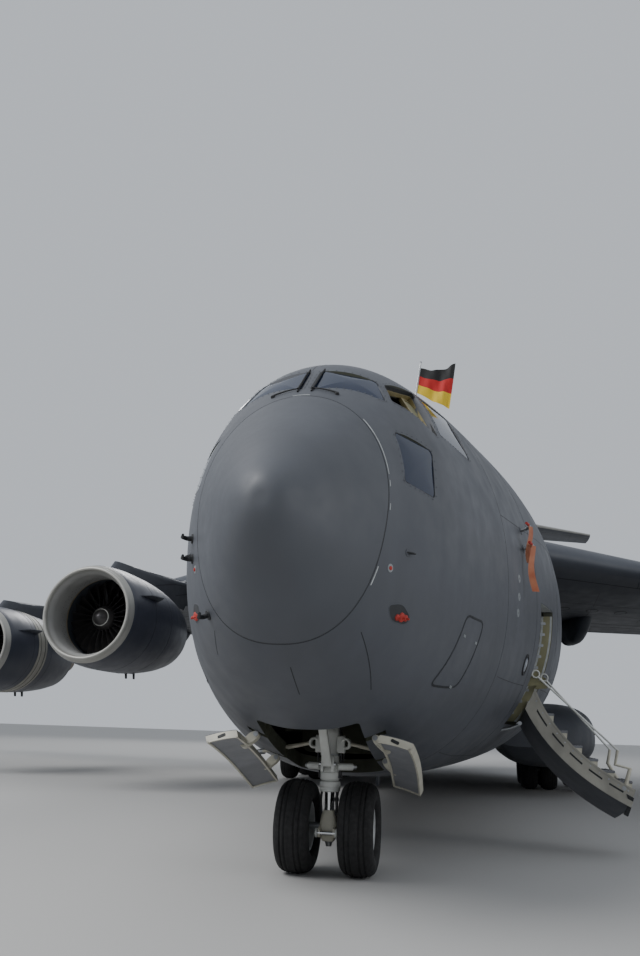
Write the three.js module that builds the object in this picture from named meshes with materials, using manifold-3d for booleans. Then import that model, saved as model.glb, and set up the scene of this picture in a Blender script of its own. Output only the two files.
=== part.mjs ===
// Military transport plane at half scale, parked on its gear with its crew door open.
// Lengths below are full-size millimetres: x to port, y aft of the nose tip, z above the ground.
import * as THREE from 'three';
import { mergeVertices } from 'three/addons/utils/BufferGeometryUtils.js';
import Module from 'manifold-3d';

const wasm = await Module();
wasm.setup();

// Driving dimensions
const SCALE = 0.5;
const LENGTH = 53040;
const SEAT = 0.8;
const SLOT = 10;
const WALL = 160;
const PORT = 1;
const STARBOARD = -1;

// The radome's joint leans: its station at one height, and how much further aft each unit above is
const RADOME_SEAM = { station: 1070, height: 3520, lean: 0.175, end: 1700, bulkhead: 120 };
const NOSE_END = 12500;
const RAMP_HINGE_STATION = 33500;
const HOLLOW_END = 45400;
const TAIL_END = 48600;
const FLOOR_TOP = 1630;

const FUSELAGE_COLUMNS = ['station', 'crown', 'keel', 'halfWidth', 'waist'];
const FUSELAGE = [
  [0, 3470, 3370, 50, 3420],
  [80, 3670, 3150, 220, 3430],
  [250, 3890, 2920, 390, 3440],
  [480, 4140, 2640, 570, 3460],
  [750, 4410, 2380, 750, 3500],
  [1100, 4740, 2120, 980, 3530],
  [1550, 5150, 1860, 1210, 3570],
  [2100, 5650, 1600, 1430, 3600],
  [2700, 6010, 1400, 1640, 3630],
  [3500, 6310, 1210, 1880, 3670],
  [4500, 6580, 1060, 2170, 3720],
  [5800, 6850, 970, 2540, 3780],
  [7500, 7100, 950, 3020, 3860],
  [9000, 7300, 950, 3290, 3920],
  [10500, 7430, 950, 3430, 3960],
  [33500, 7430, 950, 3430, 3960],
  [36000, 7430, 1420, 3400, 4150],
  [39300, 7420, 2420, 3050, 4500],
  [42500, 7370, 3520, 2330, 4980],
  [45400, 7200, 4520, 1500, 5500],
  [48000, 6750, 5420, 620, 6050],
  [48600, 6500, 5700, 220, 6100],
];
const SKIN_POINTS = 24;
const UPPER_EXPONENT = 2.06;
const LOWER_EXPONENT = 2.34;

// Saddle over the wing joint: the same rounded-square section all along
const FAIRING_COLUMNS = ['station', 'halfWidth', 'top', 'bottom'];
const FAIRING = [
  [13450, 600, 7500, 7000],
  [14750, 2250, 7800, 6300],
  [16250, 3150, 7960, 5500],
  [18250, 3520, 8040, 5050],
  [23250, 3560, 8040, 4800],
  [27250, 3520, 7950, 4650],
  [29550, 3000, 7780, 5200],
  [31750, 1800, 7600, 6300],
  [33550, 500, 7480, 6900],
];
const FAIRING_EXPONENT = 3;

const WING_COLUMNS = ['x', 'leading', 'chord', 'z', 'incidence', 'thickness'];
const WING = [
  [3000, 16280, 10800, 6760, 4.5, 0.15],
  [9500, 19766, 7600, 6270, 4.5, 0.125],
  [17500, 24054, 5480, 5670, 3, 0.115],
  [25145, 28150, 3400, 5100, 2, 0.11],
];
// Chordwise share, then the upper and the lower surface as shares of the section's thickness
const AIRFOIL = [
  [0, 0, 0],
  [0.012, 0.18, -0.15],
  [0.05, 0.34, -0.28],
  [0.14, 0.5, -0.41],
  [0.32, 0.56, -0.44],
  [0.52, 0.52, -0.34],
  [0.72, 0.36, -0.19],
  [0.88, 0.17, -0.07],
  [1, 0.03, -0.02],
];
const WINGLET = [
  { z: 4880, x: 25190, leading: 29000, chord: 2450, thickness: 260 },
  { z: 7810, x: 25820, leading: 30830, chord: 900, thickness: 90 },
];

const FLAP_HINGE = 0.72;
const AILERON_HINGE = 0.75;
const FLAP_DROP = 1000;
const FLAPS = [
  { name: 'inner', from: 4250, to: 9150, brackets: [5200, 8600] },
  { name: 'outer', from: 9850, to: 17500, brackets: [11400, 16300] },
];
const AILERON = { from: 18000, to: 23900 };
const AILERON_SWING = 25;

const FIN = [
  { z: 6800, leading: 35900, chord: 9800, thickness: 1050 },
  { z: 15750, leading: 43680, chord: 6900, thickness: 640 },
];
const RUDDER_HINGE = 0.7;
const RUDDERS = [
  { name: 'rudder_lower', from: 8900, to: 12100 },
  { name: 'rudder_upper', from: 12100, to: 15350 },
];
const RUDDER_SWING = 25;

const BULLET = [
  { station: 43150, halfWidth: 90, top: 16200, bottom: 16000 },
  { station: 44100, halfWidth: 360, top: 16560, bottom: 15660 },
  { station: 45600, halfWidth: 450, top: 16740, bottom: 15560 },
  { station: 50400, halfWidth: 450, top: 16790, bottom: 15560 },
  { station: 51300, halfWidth: 330, top: 16650, bottom: 15700 },
  { station: 52300, halfWidth: 60, top: 16230, bottom: 16050 },
];
const TAILPLANE = [
  { x: 475, leading: 45050, chord: 6300, z: 16120, thickness: 0.11 },
  { x: 9905, leading: 50459, chord: 2581, z: 15640, thickness: 0.1 },
];
const TAILPLANE_SHAFT = { station: 49200, z: 16120, radius: 150 };
const ELEVATOR_HINGE = 0.7;
const ELEVATOR = { from: 1150, to: 9150 };
const ELEVATOR_SWING = 25;

const POD_COLUMNS = ['station', 'outer', 'top', 'bottom'];
const POD = [
  [17570, 3750, 1950, 1350],
  [18370, 4500, 2350, 960],
  [19870, 5150, 2620, 790],
  [21070, 5300, 2680, 750],
  [27670, 5300, 2680, 750],
  [30470, 4650, 2480, 950],
  [32770, 3600, 2050, 1350],
];
const POD_INNER = 2200;

const ENGINES = [
  { name: 'left_inner', x: 8040, lip: 12190, z: 4270 },
  { name: 'right_inner', x: -8040, lip: 12190, z: 4270 },
  { name: 'left_outer', x: 13900, lip: 16100, z: 3840 },
  { name: 'right_outer', x: -13900, lip: 16100, z: 3840 },
];
const COWL_OUTER = [
  [0, 1130], [50, 1200], [300, 1280], [1200, 1345], [2700, 1320], [3900, 1190], [4550, 1060],
];
const COWL_INNER = [[4550, 1035], [3000, 1110], [1500, 1060], [300, 1020], [50, 1070]];
const CORE = [
  [1500, 0], [1500, 420], [1750, 570], [3000, 650], [4500, 730], [5300, 570], [5950, 400],
  [5950, 280], [6600, 50], [6600, 0],
];
const VANES = { count: 4, from: 1800, to: 2400, inner: 480, outer: 1085, width: 40 };
const FAN = { blades: 12, front: 980, back: 1420, hub: 330, tip: 1000, width: 45 };
const ENGINE_SIDES = 18;
const SPINNER = { tip: 700, sides: 12 };
const PYLON = {
  front: 900, foot: 900, ridge: 1350, ridgeHeight: 1620, back: 6750, reach: 0.45, tuck: 150, thickness: 400,
};

const NOSE_GEAR_STATION = 3620;
const NOSE_AXLE = 508;
const NOSE_WHEEL_OFFSET = 365;
const NOSE_TYRE = { radius: 508, width: 406, rim: 270, sides: 18 };
const NOSE_BAY = { from: 2180, to: 4480, halfWidth: 550, roof: 2650 };
const NOSE_DOOR = { from: 2240, to: 4040, inner: 200, outer: 538, thickness: 70, open: 156 };
const NOSE_DOOR_AXIS = [[660, 2240, 1610], [660, 4040, 1120]];
const NOSE_DOOR_ARMS = [430, 1420];

const MAIN_GEAR_STATIONS = { front: 22370, rear: 24970 };
const MAIN_TYRE = { radius: 635, width: 530, rim: 300, sides: 12 };
const MAIN_WHEELS = [3300, 3920, 4870];
const MAIN_LEG_X = 4395;
const WHEEL_BAY = { inner: 2950, outer: 5200, halfLength: 720, roof: 1800 };

const CREW_DOOR = { from: 6560, to: 7500, sill: 1760, head: 3600, openAngle: 114 };
const CREW_HINGE = [[2360, 6560, 1780], [2360, 7500, 1780]];
// The ramp's end face leans forward going up, by a share of the height above its lower edge
const RAMP = { halfWidth: 2150, end: 39300, endKeel: 2420, endHeight: 3150, lean: 0.7, gap: 40 };
const RAMP_HINGE = [[-2000, 33505, 965], [2000, 33505, 965]];
const CARGO_DOOR = { from: 38500, to: 45150, frontHalf: 2150, rearHalf: 950 };
const CARGO_HINGE = [[-1000, 45160, 4780], [1000, 45160, 4780]];

const FLAG_STAFF = { x: 975, station: 4200, foot: 6050, top: 6720, lean: 100 };
// Outward from the staff and height of the cloth's lower and upper outer corners, then its heights there
const FLAG = { lower: [490, 6000], upper: [505, 6540], foot: 6240, head: 6640 };

// Cutters behind a hinge line: how far they reach aft, up and down, and the wedge's spare degrees
const REACH = 6000;
const TALL = 1500;
const SWING_SPARE = 3;

// Flight-deck windows as corners on the skin: station, degrees from the crown to port
const WINDOWS = [
  [[1500, 3], [2030, 3], [2180, 27.5], [1890, 37]],
  [[2010, 38.5], [2240, 30.5], [3190, 34.5], [2630, 57], [2130, 43]],
  [[2820, 55.5], [3240, 36.5], [4200, 41.5], [3810, 61]],
  [[1590, 51], [2200, 63], [1950, 79.5], [1400, 74]],
];
const GLAZING = { from: 1000, to: 4350, lead: 150, bottom: 3750, depth: 60, thickness: 36 };

const point = (x, y, z) => new THREE.Vector3(x, y, z);
const radians = THREE.MathUtils.degToRad;
const mix = THREE.MathUtils.lerp;

// One table row between its neighbours, as an object with the table's column names
function between(table, columns, key) {
  const next = Math.min(Math.max(table.findIndex((row) => row[0] >= key), 1), table.length - 1);
  const end = key > table[table.length - 1][0] ? table.length - 1 : next;
  const share = (key - table[end - 1][0]) / (table[end][0] - table[end - 1][0]);
  return Object.fromEntries(columns.map((name, i) => [name, mix(table[end - 1][i], table[end][i], share)]));
}

function solid(points, faces) {
  const origin = points[0];
  const volume = faces.reduce((sum, [a, b, c]) => {
    const [p, q, r] = [points[a], points[b], points[c]].map((v) => v.clone().sub(origin));
    return sum + p.dot(q.cross(r));
  }, 0);
  const outward = volume < 0 ? faces.map(([a, b, c]) => [a, c, b]) : faces;
  return new wasm.Manifold(new wasm.Mesh({
    numProp: 3,
    vertProperties: new Float32Array(points.flatMap((p) => p.toArray())),
    triVerts: new Uint32Array(outward.flat()),
  }));
}

// Skin through equal rings of points; a cap is a fan, or follows a flat outline where one is given
function loft(rings, outline = null) {
  const count = rings[0].length;
  const points = rings.flat();
  const faces = [];
  for (let i = 0; i + 1 < rings.length; i += 1) {
    for (let j = 0; j < count; j += 1) {
      const a = i * count + j;
      const b = i * count + ((j + 1) % count);
      faces.push([a, b, a + count], [b, b + count, a + count]);
    }
  }
  const last = (rings.length - 1) * count;
  if (outline) {
    const flat = outline.map(([u, v]) => new THREE.Vector2(u, v));
    const turn = THREE.ShapeUtils.area(flat) > 0;
    for (const face of THREE.ShapeUtils.triangulateShape(flat, [])) {
      const corners = face.map((index) => flat[index]);
      const [a, b, c] = (THREE.ShapeUtils.area(corners) > 0) === turn ? face : [...face].reverse();
      faces.push([b, a, c], [a + last, b + last, c + last]);
    }
    return solid(points, faces);
  }
  for (const [start, reverse] of [[0, true], [last, false]]) {
    const ring = points.slice(start, start + count);
    const centre = points.push(ring.reduce((sum, p) => sum.add(p), point(0, 0, 0)).divideScalar(count)) - 1;
    for (let j = 0; j < count; j += 1) {
      const pair = [start + j, start + ((j + 1) % count)];
      faces.push([...(reverse ? pair.reverse() : pair), centre]);
    }
  }
  return solid(points, faces);
}

function box(x0, x1, y0, y1, z0, z1) {
  return sideProfile([[y0, z0], [y1, z0], [y1, z1], [y0, z1]], x0, x1);
}

// Outline in (y, z) carried from x0 to x1
function sideProfile(outline, x0, x1) {
  return loft([x0, x1].map((x) => outline.map(([y, z]) => point(x, y, z))), outline);
}

// Outline in (x, y) carried from z0 to z1
function planProfile(outline, z0, z1) {
  return loft([z0, z1].map((z) => outline.map(([x, y]) => point(x, y, z))), outline);
}

// Right-handed frame on a hinge line: along it, aft of it and up from it
function hingeFrame(start, end, upward = point(0, 0, 1)) {
  const along = end.clone().sub(start).normalize();
  const up = upward.clone().addScaledVector(along, -upward.dot(along)).normalize();
  const aft = up.clone().cross(along);
  if (aft.y < 0) aft.negate();
  const at = (distance, back, rise) => start.clone()
    .addScaledVector(along, distance).addScaledVector(aft, back).addScaledVector(up, rise);
  return { along, up, aft, at, length: end.distanceTo(start) };
}

// Outline in (aft, up) carried along a hinge line
function hingeProfile(frame, outline, from, to) {
  const rings = [from, to].map((distance) => outline.map(([back, rise]) => frame.at(distance, back, rise)));
  return loft(rings, outline);
}

function rod(from, to, radius, sides = 12, endRadius = radius) {
  const along = to.clone().sub(from).normalize();
  const helper = Math.abs(along.z) > 0.9 ? point(1, 0, 0) : point(0, 0, 1);
  const u = helper.cross(along).normalize();
  const v = along.clone().cross(u);
  const ring = (centre, size) => Array.from({ length: sides }, (_, i) => {
    const angle = ((i + 0.5) / sides) * 2 * Math.PI;
    return centre.clone()
      .addScaledVector(u, size * Math.cos(angle))
      .addScaledVector(v, size * Math.sin(angle));
  });
  return loft([ring(from, radius), ring(to, endRadius)]);
}

// Profile of [distance along, radius] turned about an axis through the centre. The radii are those of
// the flat faces where the ring is turned by half a side, and of the corners where it isn't.
function revolve(profile, centre, axis, sides, flatFoot = false) {
  const [start, size] = flatFoot ? [Math.PI / sides, 1 / Math.cos(Math.PI / sides)] : [0, 1];
  const lathe = new THREE.LatheGeometry(
    profile.map(([along, radius]) => new THREE.Vector2(radius * size, along)), sides, start,
  );
  lathe.deleteAttribute('normal');
  lathe.deleteAttribute('uv');
  lathe.applyQuaternion(new THREE.Quaternion().setFromUnitVectors(point(0, 1, 0), axis));
  lathe.translate(centre.x, centre.y, centre.z);
  const merged = mergeVertices(lathe, 0.01);
  const places = merged.getAttribute('position');
  const points = Array.from({ length: places.count }, (_, i) => (
    new THREE.Vector3().fromBufferAttribute(places, i)));
  const index = Array.from(merged.index.array);
  const faces = [];
  for (let i = 0; i < index.length; i += 3) {
    const [a, b, c] = index.slice(i, i + 3);
    if (a !== b && b !== c && c !== a) faces.push([a, b, c]);
  }
  return solid(points, faces);
}

// Knuckles about places on a hinge: each side's barrels, and the room the other side leaves for them
function knuckles(frame, places, radius, width) {
  const barrels = (from, to, size) => joined(...places.map((place) => (
    rod(frame.at(place + from, 0, 0), frame.at(place + to, 0, 0), size, 12))));
  return {
    fixed: barrels(-width, -SEAT / 2, radius),
    moving: barrels(SEAT / 2, width, radius),
    fixedRoom: barrels(-width - SLOT, 0, radius + 4),
    movingRoom: barrels(0, width + SLOT, radius + 4),
  };
}

function turned(body, frame, degrees) {
  const back = new THREE.Matrix4().makeTranslation(frame.at(0, 0, 0).negate());
  const turn = new THREE.Matrix4().makeRotationAxis(frame.along, radians(degrees));
  const place = new THREE.Matrix4().makeTranslation(frame.at(0, 0, 0));
  return body.transform(place.multiply(turn).multiply(back).elements);
}

const joined = (...solids) => solids.reduce((sum, next) => sum.add(next));
const cut = (body, ...tools) => tools.reduce((rest, tool) => rest.subtract(tool), body);

// Sections

function superellipse(angle, exponent) {
  const [c, s] = [Math.cos(angle), Math.sin(angle)];
  return [Math.sign(s) * Math.abs(s) ** (2 / exponent), Math.sign(c) * Math.abs(c) ** (2 / exponent)];
}

// Point on the fuselage skin, the angle counted from the crown towards port
function skin(station, angle, offset = 0) {
  const { crown, keel, halfWidth, waist } = between(FUSELAGE, FUSELAGE_COLUMNS, station);
  const upper = Math.cos(angle) >= 0;
  const [across, up] = superellipse(angle, upper ? UPPER_EXPONENT : LOWER_EXPONENT);
  const height = (upper ? crown - waist : waist - keel) + offset;
  return point((halfWidth + offset) * across, station, waist + height * up);
}

function ringAngles(count) {
  return Array.from({ length: count }, (_, i) => (i / count) * 2 * Math.PI);
}

function stationsBetween(table, from, to) {
  return [from, ...table.map((row) => row[0]).filter((y) => y > from && y < to), to];
}

function fuselage(from, to, offset = 0) {
  const rings = stationsBetween(FUSELAGE, from, to);
  return loft(rings.map((y) => ringAngles(SKIN_POINTS).map((angle) => skin(y, angle, offset))));
}

function fuselageShell(from, to) {
  return cut(fuselage(from, to), fuselage(from - SLOT, to + SLOT, -WALL));
}

// Prism through the skin under a polygon of [station, degrees] corners
function skinPatch(corners, side, above, below) {
  const steps = 2;
  const edge = corners.flatMap((corner, i) => {
    const next = corners[(i + 1) % corners.length];
    return Array.from({ length: steps }, (_, k) => corner.map((value, n) => mix(value, next[n], k / steps)));
  });
  const rings = [above, below].map((offset) => (
    edge.map(([station, degrees]) => skin(station, radians(degrees) * side, offset))));
  return loft(rings);
}

function wingFairing(grow = 0) {
  return loft(FAIRING.map(([station]) => {
    const { halfWidth, top, bottom } = between(FAIRING, FAIRING_COLUMNS, station);
    return ringAngles(28).map((angle) => {
      const [across, up] = superellipse(angle, FAIRING_EXPONENT);
      const middle = (top + bottom) / 2;
      return point((halfWidth + grow) * across, station, middle + ((top - bottom) / 2 + grow) * up);
    });
  }));
}

function gearPod(side) {
  return loft(POD.map(([station]) => {
    const { outer, top, bottom } = between(POD, POD_COLUMNS, station);
    return ringAngles(24).map((angle) => {
      const [across, up] = superellipse(angle, 2.6);
      const x = (outer + POD_INNER) / 2 + ((outer - POD_INNER) / 2) * across;
      return point(side * x, station, (top + bottom) / 2 + ((top - bottom) / 2) * up);
    });
  }));
}

// Closed ring of airfoil points placed by a function of chordwise share and height share
function airfoil(place) {
  const upper = AIRFOIL.map(([share, high]) => place(share, high));
  const lower = AIRFOIL.slice(1).reverse().map(([share, , low]) => place(share, low));
  return [...upper, ...lower];
}

const WING_RINGS = WING.map(([x]) => between(WING, WING_COLUMNS, x));

function wingPlace(ring, share, height, grow) {
  const tilt = radians(ring.incidence);
  const lift = height * ring.chord * ring.thickness + grow * (Math.sign(height) || 0);
  const along = share * ring.chord + grow * (share > 0.5 ? 1 : -1);
  const y = ring.leading + along * Math.cos(tilt) + lift * Math.sin(tilt);
  return [y, ring.z - along * Math.sin(tilt) + lift * Math.cos(tilt)];
}

// Point of the wing at a span place, straight between the table's sections
function wingPoint(side, x, share, height = 0, grow = 0) {
  const end = Math.max(1, WING_RINGS.findIndex((ring) => ring.x >= x));
  const [inner, outer] = [WING_RINGS[end - 1], WING_RINGS[end]];
  const part = (x - inner.x) / (outer.x - inner.x);
  const [a, b] = [inner, outer].map((ring) => wingPlace(ring, share, height, grow));
  return point(side * x, mix(a[0], b[0], part), mix(a[1], b[1], part));
}

function wing(side, grow = 0) {
  return loft(WING_RINGS.map(({ x }) => airfoil((share, height) => wingPoint(side, x, share, height, grow))));
}

// Upright blade: rows of z, x, leading edge, chord and thickness
function uprightBlade(rows, side = 1, grow = 0) {
  return loft(rows.map(({ z, x = 0, leading, chord, thickness }) => airfoil((share, height) => (
    point(side * (x + height * thickness + grow * Math.sign(height)), leading + share * chord, z)))));
}

function symmetricRing(place) {
  const half = AIRFOIL.map(([share, high, low]) => [share, (high - low) / 2]);
  return [...half.map(([share, h]) => place(share, h)),
    ...half.slice(1).reverse().map(([share, h]) => place(share, -h))];
}

function fin(grow = 0) {
  return loft(FIN.map(({ z, leading, chord, thickness }) => symmetricRing((share, height) => point(
    height * thickness + grow * Math.sign(height),
    leading + share * chord + grow * (share > 0.5 ? 1 : -1),
    z + grow,
  ))));
}

function finHingePoint(z) {
  const part = (z - FIN[0].z) / (FIN[1].z - FIN[0].z);
  return point(0, mix(...FIN.map(({ leading, chord }) => leading + RUDDER_HINGE * chord), part), z);
}

function tailplanePoint(side, x, share, height = 0) {
  const part = (x - TAILPLANE[0].x) / (TAILPLANE[1].x - TAILPLANE[0].x);
  const [y, z] = [0, 1].map((axis) => mix(...TAILPLANE.map((row) => (
    axis ? row.z + height * row.thickness * row.chord : row.leading + share * row.chord)), part));
  return point(side * x, y, z);
}

function tailplaneHalf(side) {
  return loft(TAILPLANE.map(({ x }) => (
    symmetricRing((share, height) => tailplanePoint(side, x, share, height)))));
}

const hingeOf = (ends) => hingeFrame(...ends.map((place) => point(...place)));

// Everything aft of a hinge line, with room at both ends
function aftOf(frame, front, spare) {
  const outline = [[front, -TALL], [REACH, -TALL], [REACH, TALL], [front, TALL]];
  return hingeProfile(frame, outline, -spare, frame.length + spare);
}

// A moving surface's part of that: its nose is a wedge whose edge lies on the hinge
function surfaceZone(frame, swing) {
  const run = TALL * Math.tan(radians(swing + SWING_SPARE));
  const outline = [[SEAT, 0], [run, -TALL], [REACH, -TALL], [REACH, TALL], [run, TALL]];
  return hingeProfile(frame, outline, 0, frame.length);
}

const model = new THREE.Group();
const airplane = new THREE.Group();
airplane.position.set(0, -LENGTH / 2, 0);
model.add(airplane);
model.scale.setScalar(SCALE);

function finish(color, roughness, metalness = 0) {
  return { color, roughness, metalness };
}

const GREY_PAINT = finish(0x6b7680, 0.55, 0.1);
const RADOME_PAINT = finish(0x73787c, 0.6);
const GEAR_PAINT = finish(0xc9ccc8, 0.45, 0.1);
const PRIMER = finish(0x8d8c4a, 0.6);
const RUBBER = finish(0x17181a, 0.85);
const RIM_PAINT = finish(0xb9bcba, 0.45, 0.2);
const BARE_METAL = finish(0xb5b8ba, 0.3, 0.9);
const DARK_METAL = finish(0x3a3d40, 0.45, 0.7);
const GLASS = finish(0x1b222a, 0.08);
const CLOTH = finish(0xd9a400, 0.8);

function piece(name, body, look) {
  const mesh = body.getMesh();
  const geometry = new THREE.BufferGeometry();
  geometry.setAttribute('position', new THREE.BufferAttribute(new Float32Array(mesh.vertProperties), 3));
  geometry.setIndex(new THREE.BufferAttribute(new Uint32Array(mesh.triVerts), 1));
  geometry.computeVertexNormals();
  const part = new THREE.Mesh(geometry, new THREE.MeshStandardMaterial(look));
  part.name = name;
  airplane.add(part);
}

const sides = [[PORT, 'left'], [STARBOARD, 'right']];

// Radome: a thick shell that opens to the rear
const seamStation = (height, shift) => (
  RADOME_SEAM.station + (height - RADOME_SEAM.height) * RADOME_SEAM.lean + shift);
const aheadOfSeam = (shift) => sideProfile([
  [-LENGTH, 0], [seamStation(0, shift), 0], [seamStation(FIN[1].z, shift), FIN[1].z], [-LENGTH, FIN[1].z],
], -REACH, REACH);
piece('radome', cut(
  fuselage(0, RADOME_SEAM.end).intersect(aheadOfSeam(-SEAT / 2)),
  fuselage(250, RADOME_SEAM.end + SLOT, -60),
), RADOME_PAINT);

// Nose section with its pressure bulkhead, window openings, crew doorway and nose-gear bay
const deckWindows = sides.flatMap(([side]) => WINDOWS.map((corners) => skinPatch(corners, side, 120, -420)));
const glazingZone = (inset) => cut(
  box(-3000, 3000, GLAZING.from, GLAZING.to - inset, GLAZING.bottom + inset, 7400),
  aheadOfSeam(GLAZING.lead + inset),
);
const baySkin = 60;
const bayBox = (grow) => box(
  -NOSE_BAY.halfWidth - grow, NOSE_BAY.halfWidth + grow,
  NOSE_BAY.from - grow, NOSE_BAY.to + grow, 900, NOSE_BAY.roof + grow,
);

function doorFrame(side) {
  const [front, back] = NOSE_DOOR_AXIS.map(([x, y, z]) => point(side * x, y, z));
  const along = back.clone().sub(front).normalize();
  const up = point(0, 0, 1).addScaledVector(along, -along.z).normalize();
  const outward = point(side, 0, 0);
  const at = (distance, out, rise) => front.clone()
    .addScaledVector(along, distance).addScaledVector(outward, out).addScaledVector(up, rise);
  return { along, at };
}

function doorProfile(frame, outline, from, to) {
  const rings = [from, to].map((distance) => outline.map(([out, rise]) => frame.at(distance, out, rise)));
  return loft(rings, outline);
}

const armHalf = 45;
const earWidth = 50;
const earOutline = [[-55, -40], [45, -40], [45, 60], [70, 260], [-55, 260]];
const noseOuter = cut(fuselage(600, NOSE_END - SEAT / 2), aheadOfSeam(SEAT / 2));
const cabinRoom = cut(fuselage(650, NOSE_END + SLOT, -WALL), aheadOfSeam(RADOME_SEAM.bulkhead));
let noseSection = cut(noseOuter, cabinRoom);
noseSection = cut(noseSection, fuselage(GLAZING.from, GLAZING.to, -GLAZING.depth).intersect(glazingZone(0)));
noseSection = cut(noseSection, ...deckWindows);
noseSection = joined(noseSection, bayBox(baySkin).intersect(noseOuter));
noseSection = cut(noseSection, bayBox(0));
for (const [side] of sides) {
  const frame = doorFrame(side);
  for (const place of NOSE_DOOR_ARMS) {
    const slotOutline = [[-130, -300], [110, -300], [110, 190], [-130, 190]];
    const armSlot = doorProfile(frame, slotOutline, place - armHalf - SLOT, place + armHalf + SLOT);
    noseSection = cut(noseSection, armSlot);
    for (const ear of [place - armHalf - SLOT - earWidth, place + armHalf + SLOT]) {
      noseSection = joined(noseSection, doorProfile(frame, earOutline, ear, ear + earWidth));
    }
  }
}
const crewDoorway = box(1500, 4200, CREW_DOOR.from, CREW_DOOR.to, CREW_DOOR.sill, CREW_DOOR.head);
const crewHinge = hingeOf(CREW_HINGE);
const crewPlaces = [230, 700];
const crewKnuckles = knuckles(crewHinge, crewPlaces, 22, 80);
const crewPlates = (outline, from, to) => joined(...crewPlaces.map((place) => (
  hingeProfile(crewHinge, outline, place + from, place + to))));
piece('forward_fuselage', joined(
  cut(noseSection, crewDoorway),
  crewKnuckles.fixed, crewPlates([[-20, -8], [20, -4], [360, -40], [360, -140], [200, -140]], -80, -SEAT / 2),
), GREY_PAINT);

piece('flight_deck_glazing', cut(
  fuselage(GLAZING.from + SEAT, GLAZING.to - SEAT, -GLAZING.depth - SEAT),
  fuselage(GLAZING.from - SLOT, GLAZING.to + SLOT, -GLAZING.depth - GLAZING.thickness),
).intersect(glazingZone(SEAT)), GLASS);

const rampHinge = hingeOf(RAMP_HINGE);
const rampKnuckles = knuckles(rampHinge, [1700, 2300], 35, 80);
piece('mid_fuselage', joined(
  cut(fuselageShell(NOSE_END + SEAT / 2, RAMP_HINGE_STATION - SEAT / 2), rampKnuckles.movingRoom),
  rampKnuckles.fixed,
), GREY_PAINT);

// Flight deck: floor, rear wall, instrument panel and two seats
const DECK = { from: 1750, to: 5900, top: 4020, thickness: 90, panel: 2350, seat: 2900, rows: [1100, 7500] };
const deckInterior = fuselage(...DECK.rows, -WALL - SEAT);
const deckFloor = box(
  -3000, 3000, DECK.from, DECK.to, DECK.top - DECK.thickness, DECK.top,
).intersect(deckInterior);
const deckWall = box(-3000, 3000, DECK.to - 100, DECK.to, DECK.top - 10, 7200).intersect(deckInterior);
const deckPanel = sideProfile(
  [
    [DECK.panel - 350, DECK.top - 10], [DECK.panel, DECK.top - 10],
    [DECK.panel, 4850], [DECK.panel - 350, 4850],
  ],
  -620, 620,
);
const seats = [-560, 560].map((x) => sideProfile([
  [DECK.seat, DECK.top - 10], [DECK.seat + 480, DECK.top - 10], [DECK.seat + 480, 4420],
  [DECK.seat + 640, 5220], [DECK.seat + 500, 5240], [DECK.seat + 380, 4520], [DECK.seat, 4500],
], x - 250, x + 250));
const console = box(-180, 180, DECK.panel + 200, DECK.seat + 400, DECK.top - 10, 4420);
piece('flight_deck', joined(deckFloor, deckWall, deckPanel, console, ...seats), DARK_METAL);

const FLOOR = { from: 6200, row: 5800, thickness: 240 };
piece('cargo_floor', box(
  -3400, 3400, FLOOR.from, RAMP_HINGE_STATION, FLOOR_TOP - FLOOR.thickness, FLOOR_TOP,
).intersect(fuselage(FLOOR.row, RAMP_HINGE_STATION + SLOT, -WALL - SEAT)), DARK_METAL);

// Rear fuselage with the ramp and cargo-door openings
const rampSlope = (RAMP.endHeight - FLOOR_TOP) / (RAMP.end - RAMP_HINGE_STATION);
const rampEnd = (height, shift) => RAMP.end - RAMP.lean * (height - RAMP.endKeel) + shift;
const rampZone = (grow) => sideProfile([
  [RAMP_HINGE_STATION + SLOT - grow, 0], [rampEnd(0, grow), 0],
  [rampEnd(RAMP.endHeight, grow), RAMP.endHeight + grow * 2],
  [RAMP_HINGE_STATION + SLOT - grow, FLOOR_TOP + rampSlope * SLOT + grow * 2],
], -RAMP.halfWidth - grow, RAMP.halfWidth + grow);
const aheadOfDoor = sideProfile([
  [RAMP_HINGE_STATION, 0], [rampEnd(0, RAMP.gap), 0],
  [rampEnd(REACH, RAMP.gap), REACH], [RAMP_HINGE_STATION, REACH],
], -REACH, REACH);
const cargoDoorZone = (grow) => planProfile([
  [-CARGO_DOOR.frontHalf - grow, CARGO_DOOR.from - grow],
  [CARGO_DOOR.frontHalf + grow, CARGO_DOOR.from - grow],
  [CARGO_DOOR.rearHalf + grow, CARGO_DOOR.to + grow], [-CARGO_DOOR.rearHalf - grow, CARGO_DOOR.to + grow],
], -500, 5100);
const aftInner = fuselage(RAMP_HINGE_STATION - SLOT, HOLLOW_END, -WALL);
const aftShell = cut(fuselage(RAMP_HINGE_STATION + SEAT / 2, TAIL_END), aftInner);
const cargoHinge = hingeOf(CARGO_HINGE);
const cargoPlaces = [500, 1500];
const cargoKnuckles = knuckles(cargoHinge, cargoPlaces, 40, 70);
const cargoPlates = (outline, from, to) => joined(...cargoPlaces.map((place) => (
  hingeProfile(cargoHinge, outline, place + from, place + to))));
piece('aft_fuselage', joined(
  cut(aftShell, rampZone(SLOT), cargoDoorZone(SLOT)),
  cargoKnuckles.fixed, cargoPlates([[0, -35], [300, -60], [300, 60], [0, 35]], -70, -SEAT / 2),
), GREY_PAINT);
piece('cargo_ramp', joined(
  cut(fuselage(RAMP_HINGE_STATION, CARGO_DOOR.to).intersect(rampZone(0)), rampKnuckles.fixedRoom),
  rampKnuckles.moving,
), GREY_PAINT);
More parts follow.
